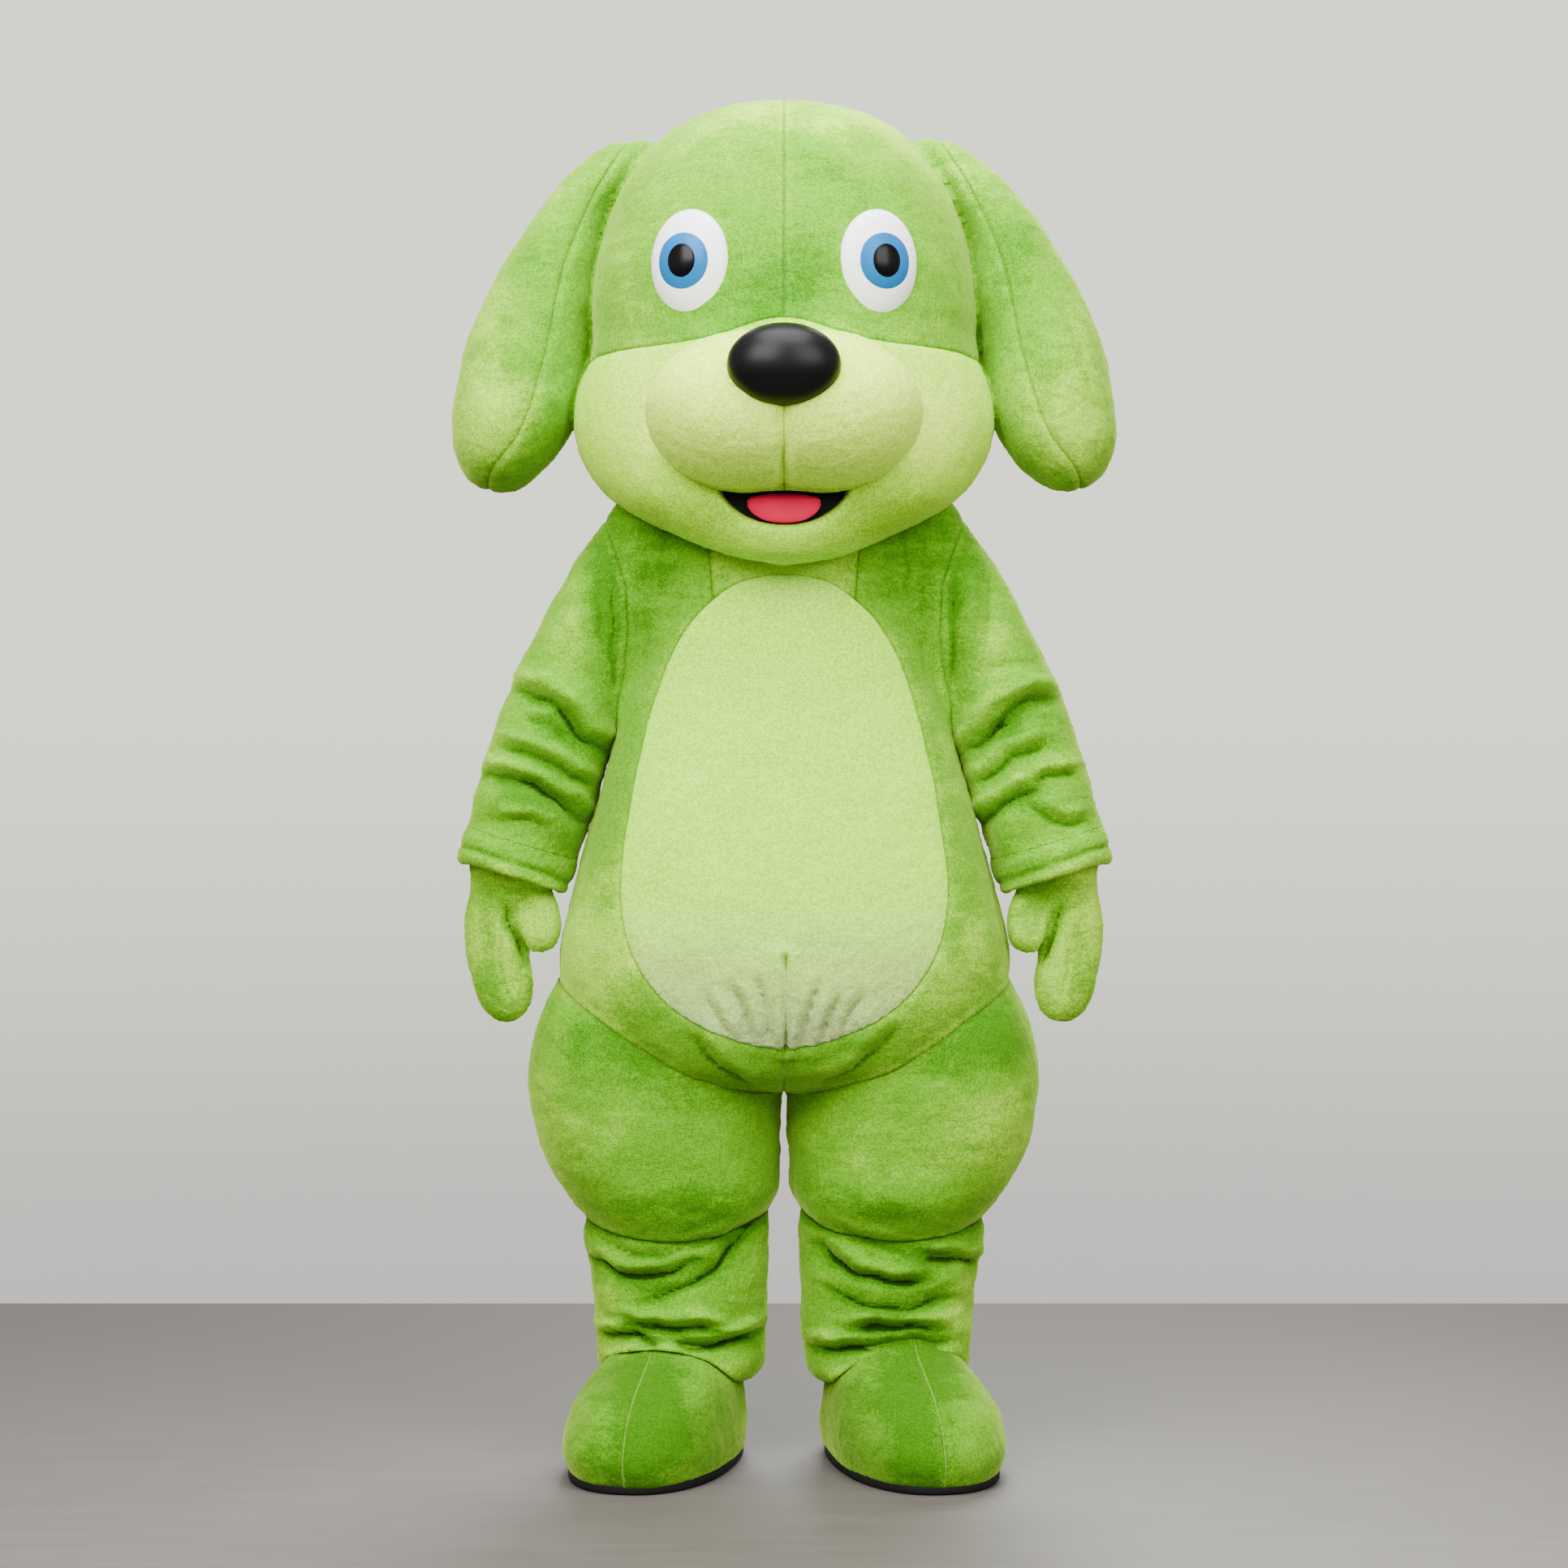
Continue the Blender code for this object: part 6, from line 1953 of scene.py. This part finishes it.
@dataclass
class Leg:
    """One leg of the suit: a ballooned thigh over a narrow shin."""

    side: Side
    fillet: float = 0.004
    hip_fillet: float = 0.012
    body_from: float = 0.45
    knee_top: float = 0.42
    spaces: tuple[Space, Space] = (
        Space(-0.012, 0.372, -0.190, 0.192, 0.280, 0.760, 0.0075, SUIT_LUMPS, 5),
        Space(-0.012, 0.372, -0.190, 0.192, 0.080, 0.430, 0.0042, SUIT_LUMPS, 5),
    )
    right_seed: int = 8
    slit_shade: float = 0.78
    seam_share: float = 0.7
    overhang: float = 0.007
    overhang_fall: float = 0.012
    collar_shades: tuple[tuple[float, float], ...] = ((0.42, 0.016), (0.50, 0.005))
    hem: float = 0.110
    knee: float = 0.330
    boot_gap: float = 0.001

    def build(self) -> None:
        """Builds the four pieces of the leg."""
        thigh, shin = Upright(THIGH, self.side.value), Upright(SHIN, self.side.value)
        torso, boot = Upright(TORSO), Upright(BOOT, self.side.value, ankle=True)

        def depth(points: Array) -> Array:
            """Thigh and shin in one, running softly into the body."""
            leg = joined(thigh.depth(points), shin.depth(points), self.fillet)
            high_up = points[:, 2] > self.body_from
            leg[high_up] = joined(leg[high_up], torso.depth(points[high_up]), self.hip_fillet)
            return leg

        for part, space in zip(("thigh", "shin"), self.spaces):
            space = space if self.side is Side.LEFT else space._replace(seed=self.right_seed)
            skin = space.skin(depth, self.side.value, self.slit_shade)
            skin.fold(LEG_FOLDS[self.side])
            skin.brush(LEG_ZONES, 1.0, self.side.value)
            y, z = skin.rest[:, 1], skin.rest[:, 2]
            seam = (thigh.depth(skin.rest) - shin.depth(skin.rest)) * self.seam_share
            seam = np.where(z > self.knee_top, WELL_INSIDE, seam)
            if part == "thigh":
                off_body = thigh.depth(skin.rest) - torso.depth(skin.rest)
                cuts, plain = [np.where(z > self.body_from, off_body, WELL_INSIDE), seam], []
            else:
                lifted = np.column_stack([skin.rest[:, :2], np.maximum(z, self.knee)])
                off_thigh = (thigh.depth(lifted) - shin.depth(lifted)) * self.seam_share
                under = np.maximum(off_thigh + lifted[:, 2] - z, 0.0)
                skin.press += self.overhang * np.exp(-under / self.overhang_fall)
                # Painted shadow on the shin under the thigh's overhang
                skin.nap_and_shading -= sum(shade * bump(under, width) for shade, width in self.collar_shades)
                cuts, plain = [-seam, self.boot_gap - boot.depth(skin.rest)], [self.hem - z]
            dress_halves(skin, (f"{part}_front", f"{part}_back"), self.side, y, cuts, plain=plain)


@dataclass
class Head:
    """The head: crown, back and face over foam, with the mouth and the muzzle.

    A pair of values is how much, and over which width.
    """

    space: Space = Space(-0.312, 0.312, -0.292, 0.276, 1.222, 1.916, 0.0080, 0.0012, 11)
    wall: float = 0.017
    tuck: float = 0.0035
    crown_seam_y: float = 0.030
    mouth_top: float = 1.352
    mouth_half: float = 0.092
    mouth_drop: float = 0.066
    mouth_sag: float = 0.006
    mouth_back: float = -0.18
    lining_margin: float = 0.014
    lining_wall: float = 0.003
    lining_sink: float = 0.0183
    tongue_top: float = 1.320
    tongue_half: float = 0.052
    tongue_drop: float = 0.031
    tongue_rise: float = 0.010
    tongue_wall: float = 0.0105
    tongue_edge: tuple[float, float] = (0.004, 0.006)
    tongue_sink: float = 0.007
    tongue_grain: float = 0.0001
    bridge_rise: float = 0.030
    bridge_width: float = 0.085
    neck_half: float = 0.172
    nape_height: float = 1.406
    nape_fall: float = 0.014
    nape_power: int = 6
    lobe_fillet: float = 0.020
    lobe_press: tuple[float, float] = (0.006, 0.010)
    lobe_shade: tuple[float, float] = (0.16, 0.011)
    muzzle_space: Space = Space(-0.212, 0.212, -0.420, -0.130, 1.300, 1.580, 0.0056, 0.0012, 17)
    muzzle_fillet: float = 0.005
    muzzle_lap: float = 0.005
    muzzle_tuck: float = 0.0030
    muzzle_light: float = 0.40
    muzzle_shade: tuple[float, float] = (0.34, 0.010)

    def lobes(self, points: Array) -> Array:
        """The two lobes of the muzzle in one."""
        left, right = (Rounded(MUZZLE, side) for side in (1.0, -1.0))
        return joined(left.depth(points), right.depth(points), self.lobe_fillet)

    def build(self) -> None:
        """Builds the head's panels, then the muzzle, the lining and the tongue."""
        form, torso = Upright(HEAD), Upright(TORSO)
        skin = self.space.skin(form.depth)
        x, y, z = skin.rest.T
        lobes = self.lobes(skin.rest)
        skin.press += self.lobe_press[0] * np.exp(-np.abs(lobes) / self.lobe_press[1])
        # Painted shade around the muzzle's lobes
        skin.nap_and_shading -= self.lobe_shade[0] * bump(lobes, self.lobe_shade[1])
        skin.brush(HEAD_ZONES)
        rise = self.bridge_rise * bump(x, self.bridge_width) * (y < 0.0)
        face = outline_depth(y, z - rise, FACE_SIDE_OUTLINE)
        skin.brush(FACE_ZONES)
        nape = z - self.nape_height + self.nape_fall * (np.abs(x) / self.neck_half) ** self.nape_power
        rim = np.maximum(outline_depth(y, z, HEAD_RIM_OUTLINE), nape)
        back = outline_depth(x, z, mirrored_outline(HEAD_BACK_SEAM, SEAM_READINGS))
        back = np.maximum(back, self.crown_seam_y - y)
        smile = half_oval(self.mouth_top, self.mouth_half, self.mouth_drop, self.mouth_sag)
        mouth = np.maximum(outline_depth(x, z, smile), y - self.mouth_back)
        off_torso = SEAM_GAP - torso.depth(skin.rest)
        cuts = [face, -rim, -mouth, off_torso]
        dress(skin.piece("head_face", cuts, self.wall, self.tuck), FACE_PLUSH)
        for side in Side:
            for word, edge in (("crown", -back), ("back", back)):
                cuts = [-face, edge, -rim, -x * side.value, off_torso]
                panel = skin.piece(f"head_{word}_{side.word}", cuts, self.wall, self.tuck)
                dress(panel, GREEN)
        lining = skin.piece("mouth_lining", [mouth - self.lining_margin], self.lining_wall, 0.0,
                            sink=self.lining_sink, grain=0.0)
        dress(lining, MOUTH_MESH)
        tip = half_oval(self.tongue_top, self.tongue_half, self.tongue_drop, -self.tongue_rise)
        cuts = [np.maximum(outline_depth(x, z, tip), y - self.mouth_back)]
        tongue = skin.piece("tongue", cuts, self.tongue_wall, *self.tongue_edge, sink=self.tongue_sink,
                            grain=self.tongue_grain)
        dress(tongue, TONGUE_FELT)
        self.build_muzzle(form)

    def build_muzzle(self, form: Upright) -> None:
        """Builds the two stuffed lobes of the muzzle, running softly into the face."""
        skin = self.muzzle_space.skin(merged(self.lobes, form.depth, self.muzzle_fillet))
        skin.brush(FACE_ZONES)
        off_head = self.lobes(skin.rest) - form.depth(skin.rest) - self.muzzle_lap
        # The lobes are painted paler all over, painted light, with painted shade where they run into the face
        skin.nap_and_shading += self.muzzle_light - self.muzzle_shade[0] * bump(off_head, self.muzzle_shade[1])
        skin.fold(MUZZLE_CLEFT)
        for side in Side:
            cuts = [off_head, -skin.rest[:, 0] * side.value]
            lobe = skin.piece(f"muzzle_{side.word}", cuts, PADDED_WALL, self.muzzle_tuck)
            dress(lobe, FACE_PLUSH)


@dataclass
class Ear:
    """One stuffed ear, in an inner and an outer piece."""

    side: Side
    space: Space = Space(0.120, 0.485, -0.140, 0.140, 1.335, 1.868, 0.0060, 0.0020, 21)
    fillet: float = 0.010
    lap: float = 0.005
    tuck: float = 0.0034
    closed: tuple[float, float] = (1.9, 1.3)

    def build(self) -> None:
        """Builds both pieces."""
        form, head = Upright(EAR, self.side.value), Upright(HEAD)
        space = self.space._replace(seed=self.space.seed + int(self.side.value))
        skin = space.skin(merged(form.depth, head.depth, self.fillet), self.side.value)
        skin.brush(EAR_ZONES, 1.0, self.side.value)
        x, z = skin.rest[:, 0] * self.side.value, skin.rest[:, 2]
        off_head = form.depth(skin.rest) - head.depth(skin.rest) - self.lap
        line = [(width, height) for height, width in curve_through(EAR_SEAM, SEAM_READINGS)]
        seam = outline_depth(x, z, [*line, *[(0.0, height) for height in self.closed]])
        for word, cut in (("inner", seam), ("outer", -seam)):
            piece = skin.piece(f"ear_{word}_{self.side.word}", [off_head, cut], PADDED_WALL, self.tuck)
            dress(piece, GREEN)


@dataclass
class Tail:
    """The stuffed tail."""

    space: Space = Space(-0.090, 0.100, 0.140, 0.330, 0.505, 0.845, 0.0068, 0.0014, 31)
    power: float = 2.0
    fillet: float = 0.010
    lap: float = 0.005
    tuck: float = 0.003

    def build(self) -> None:
        """Builds the tail."""
        form, torso = Along(TAIL, sideways=False, power=self.power), Upright(TORSO)
        skin = self.space.skin(merged(form.depth, torso.depth, self.fillet))
        skin.brush(TAIL_ZONES)
        off_body = form.depth(skin.rest) - torso.depth(skin.rest) - self.lap
        dress(skin.piece("tail", [off_body], PADDED_WALL, self.tuck), GREEN)


@dataclass
class Mitt:
    """One mitt with its thumb."""

    side: Side
    space: Space = Space(0.298, 0.462, -0.115, 0.066, 0.600, 0.860, 0.0042, 0.0010, 41)
    middle_y: float = -0.024
    wall: float = 0.004
    tuck: float = 0.0015
    thumb_fillet: float = 0.008
    light: float = 0.17
    wrist: float = 0.838

    def build(self) -> None:
        """Builds the mitt's front and back."""
        hand = Upright(MITT, self.side.value, shift_y=self.middle_y)
        thumb = Along(THUMB, self.side.value)
        skin = self.space.skin(merged(hand.depth, thumb.depth, self.thumb_fillet), self.side.value)
        skin.fold(MITT_FOLDS, 1.0, self.side.value)
        skin.nap_and_shading += self.light
        skin.brush(MITT_ZONES, 1.0, self.side.value)
        y, z = skin.rest[:, 1] - self.middle_y, skin.rest[:, 2]
        dress_halves(skin, ("mitt_front", "mitt_back"), self.side, y, wall=self.wall, tuck=self.tuck,
                     plain=[z - self.wrist])


@dataclass
class Boot:
    """One boot: an upper in two quarters on a flat sole."""

    side: Side
    space: Space = Space(0.0, 0.350, -0.290, 0.180, 0.0, 0.262, 0.0060, 0.0014, 53)
    wall: float = 0.006
    shade: float = 0.14
    foot: float = 0.0085
    ankle_top: float = 0.235
    stitch_height: float = 0.022
    stitch_depth: float = 0.0016
    stitch_width: float = 0.003
    sole_spread: float = 0.985
    sole_points: int = 160
    sole_levels: tuple[tuple[float, float], ...] = (
        (0.0, 0.006), (0.0012, 0.0015), (0.003, 0.0), (0.010, 0.0), (0.0128, 0.0012), (0.014, 0.004))

    def build(self) -> None:
        """Builds both quarters and the sole."""
        form = Upright(BOOT, self.side.value, ankle=True)
        skin = self.space.skin(form.depth, self.side.value)
        skin.nap_and_shading -= self.shade
        skin.brush(BOOT_ZONES, 1.0, self.side.value)
        across = form.own(skin.rest)[:, 0] - BOOT_SEAM_X
        z = skin.rest[:, 2]
        off_stitch = np.abs(z - self.stitch_height)
        skin.press += self.stitch_depth * np.exp(-off_stitch / self.stitch_width)
        skin.line = np.minimum(skin.line, off_stitch)
        dress_halves(skin, ("boot_inner", "boot_outer"), self.side, across, [self.foot - z], BOOT_PLUSH,
                     wall=self.wall, plain=[z - self.ankle_top])
        self.build_sole()

    def build_sole(self) -> None:
        """Builds the flat sole with a rounded edge."""
        row, around, levels = BOOT[1], self.sole_points, self.sole_levels
        angle = np.arange(around) * 2.0 * math.pi / around
        cosine, sine = (np.sign(a) * np.abs(a) ** (2.0 / row.power) for a in (np.cos(angle), np.sin(angle)))
        y = (row.back - row.front) / 2.0 + (row.back + row.front) / 2.0 * sine
        outline = np.column_stack([row.middle + row.half_width * cosine, y])
        middle = outline.mean(axis=0)
        outline = middle + (outline - middle) * self.sole_spread
        inward = unit(outline - middle)
        rings = [np.column_stack([outline - inward * inset, np.full(around, z)]) for z, inset in levels]
        points = turned(np.concatenate(rings), -TOE_OUT) + np.array([ANKLE_X, 0.0, 0.0])
        points[:, 0] *= self.side.value
        k = np.arange(around)
        beside = (k + 1) % around
        bottom, top, last = len(points), len(points) + 1, (len(levels) - 1) * around
        faces = []
        for level in range(len(levels) - 1):
            a, b = level * around + k, level * around + beside
            faces += [np.column_stack([a, b, b + around]), np.column_stack([a, b + around, a + around])]
        faces += [np.column_stack([np.full(around, bottom), beside, k]),
                  np.column_stack([np.full(around, top), last + k, last + beside])]
        triangles = np.concatenate(faces)
        if self.side is Side.RIGHT:
            triangles = triangles[:, ::-1]
        points = np.concatenate([points, [points[:around].mean(axis=0), points[-around:].mean(axis=0)]])
        dress(add_mesh(f"sole_{self.side.word}", points, triangles), SOLE)


@dataclass
class Face:
    """The nose and the domed eyes."""

    rings: int = 40
    disc_rings: int = 24
    discs: tuple[tuple[str, Smooth, float, float, float, float], ...] = (
        ("eye_iris", EYE_IRIS_VINYL, 0.041, 0.0145, 0.047, 0.0135),
        ("eye_pupil", EYE_PUPIL_VINYL, 0.0240, 0.0085, 0.0270, 0.0215),
    )

    def lump(self, name: str, lump: Lump, side: float, finish: Smooth, rings: int) -> None:
        """Builds one smooth lump.

        Args:
            name: The piece's name.
            lump: Its centre, its radii and its turn.
            side: Minus one to mirror it to the right.
            finish: Its finish.
            rings: How many rings of faces it has from front to back.
        """
        around = 2 * rings
        tilt = np.linspace(-math.pi / 2.0, math.pi / 2.0, rings + 1)[1:-1]
        turn = np.arange(around) * 2.0 * math.pi / around
        u, v = np.meshgrid(tilt, turn, indexing="ij")
        ball = [np.cos(u) * np.cos(v), np.sin(u), np.cos(u) * np.sin(v)]
        poles = [[0.0, -1.0, 0.0], [0.0, 1.0, 0.0]]
        own = np.concatenate([np.column_stack([part.ravel() for part in ball]), poles])
        own *= np.array([lump.rx, lump.ry, lump.rz])
        points = turned(own, -math.radians(lump.yaw) * side) + np.array([side * lump.x, lump.y, lump.z])
        k = np.arange(around)
        beside = (k + 1) % around
        faces = []
        for row in range(rings - 2):
            a, b = row * around + k, row * around + beside
            faces += [np.column_stack([a, a + around, b]), np.column_stack([b, a + around, b + around])]
        first, last, end = len(points) - 2, len(points) - 1, (rings - 2) * around
        faces += [np.column_stack([np.full(around, first), k, beside]),
                  np.column_stack([np.full(around, last), end + beside, end + k])]
        dress(add_mesh(name, points, np.concatenate(faces)), finish)

    def build(self) -> None:
        """Builds the nose and both eyes."""
        self.lump("nose", NOSE, 1.0, NOSE_VINYL, self.rings)
        yaw = math.radians(EYE_WHITE.yaw)
        for side in Side:
            self.lump(f"eye_white_{side.word}", EYE_WHITE, side.value, EYE_WHITE_VINYL, self.rings)
            for part, finish, rx, ry, rz, out in self.discs:
                x, y = EYE_WHITE.x + math.sin(yaw) * out, EYE_WHITE.y - math.cos(yaw) * out
                placed = EYE_WHITE._replace(x=x, y=y, rx=rx, ry=ry, rz=rz)
                self.lump(f"{part}_{side.word}", placed, side.value, finish, self.disc_rings)


@dataclass
class Studio:
    """The floor, the light and the camera."""

    eye_height: float = 0.973
    distance: float = 4.71
    lens: float = 76.8
    sensor: float = 36.0
    shift_y: float = -0.0135
    floor_back: float = 1.31
    floor_front: float = -7.0
    floor_half: float = 5.0
    floor_tones: tuple[Colour, Colour, Colour] = (
        (0.092, 0.081, 0.073), (0.112, 0.100, 0.091), (0.071, 0.060, 0.053))
    floor_turn: tuple[float, float] = (-1.2, 1.2)
    floor_roughness: float = 0.55
    sky_bands: tuple[tuple[float, float], ...] = ((-0.16, 0.04), (0.22, 0.42))
    sky_tones: tuple[Colour, Colour, Colour] = ((0.78, 0.76, 0.72), (1.43, 1.49, 1.29), (0.80, 0.82, 0.78))
    surround: float = 0.50
    lamps: tuple[tuple[str, Corner, float, float], ...] = (
        ("key", (-1.5, -2.9, 1.7), 2.2, 252.0),
        ("fill", (1.9, -2.9, 1.4), 2.2, 142.0),
        ("top", (0.0, -0.9, 2.4), 2.2, 215.0),
        ("rear", (0.6, 2.9, 2.1), 2.2, 300.0),
    )
    aim: Corner = (0.0, 0.0, -0.3)

    def build(self) -> None:
        """Builds the studio."""
        self.build_floor()
        self.build_surround()
        self.build_lamps()
        self.build_camera()

    def build_floor(self) -> None:
        """A plain grey floor."""
        half, front, back = self.floor_half, self.floor_front, self.floor_back
        points = np.array([(-half, front, 0.0), (half, front, 0.0), (half, back, 0.0), (-half, back, 0.0)])
        floor = add_mesh("studio_floor", points, np.array([(0, 1, 2), (0, 2, 3)]))
        dark, pale, rear = ((*tone, 1.0) for tone in self.floor_tones)
        made, n = material("Studio floor")
        place = n.add("ShaderNodeTexCoord").outputs["Object"]
        brushed = n.noise(n.stretched(place, (0.6, 3.0, 1.0)), 9.0, 5.0, 0.62, 0.4)
        colour = n.mix(n.band(brushed, 0.3, 0.7), dark, pale)
        along = n.add("ShaderNodeSeparateXYZ", {0: place}).outputs[1]
        colour = n.mix(n.band(along, *self.floor_turn), colour, rear)
        n.principled({"Base Color": colour, "Roughness": self.floor_roughness})
        floor.data.materials.append(made)

    def build_surround(self) -> None:
        """A pale surround that lights less than it shows."""
        world = bpy.data.worlds.new("Studio")
        world.use_nodes = True
        n = Nodes(world.node_tree)
        up = n.add("ShaderNodeSeparateXYZ", {0: n.add("ShaderNodeTexCoord").outputs["Generated"]}).outputs[2]
        sky, *higher = ((*tone, 1.0) for tone in self.sky_tones)
        for (low, high), tone in zip(self.sky_bands, higher):
            sky = n.mix(n.band(up, low, high), sky, tone)
        seen = n.add("ShaderNodeLightPath").outputs["Is Camera Ray"]
        strength = n.band(seen, 0.0, 1.0, self.surround, 1.0)
        backdrop = n.add("ShaderNodeBackground", {"Color": sky, "Strength": strength})
        n.add("ShaderNodeOutputWorld", {"Surface": backdrop.outputs[0]})
        bpy.context.scene.world = world

    def build_lamps(self) -> None:
        """Large soft lamps."""
        for name, place, size, power in self.lamps:
            lamp = bpy.data.lights.new(name, "AREA")
            lamp.size = size
            lamp.energy = power
            thing = bpy.data.objects.new(name, lamp)
            thing.location = place
            thing.rotation_euler = (Vector(self.aim) - Vector(place)).to_track_quat("-Z", "Y").to_euler()
            bpy.context.collection.objects.link(thing)

    def build_camera(self) -> None:
        """A level camera at the height of the costume's middle."""
        data = bpy.data.cameras.new("camera")
        data.sensor_width = self.sensor
        data.lens = self.lens
        data.shift_y = self.shift_y
        camera = bpy.data.objects.new("camera", data)
        camera.location = (0.0, -self.distance, self.eye_height - SHOULDER_HEIGHT)
        camera.rotation_euler = (math.pi / 2.0, 0.0, 0.0)
        bpy.context.collection.objects.link(camera)
        bpy.context.scene.camera = camera


def main() -> None:
    """Builds the costume piece by piece, then the studio."""
    logging.basicConfig(level=logging.INFO, format="%(message)s")
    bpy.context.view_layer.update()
    suit = SuitForm()
    Trunk(suit).build()
    for side in Side:
        Sleeve(suit, side).build()
        Leg(side).build()
        Mitt(side).build()
        Boot(side).build()
    Head().build()
    Face().build()
    for side in Side:
        Ear(side).build()
    Tail().build()
    Studio().build()


if __name__ == "__main__":
    main()
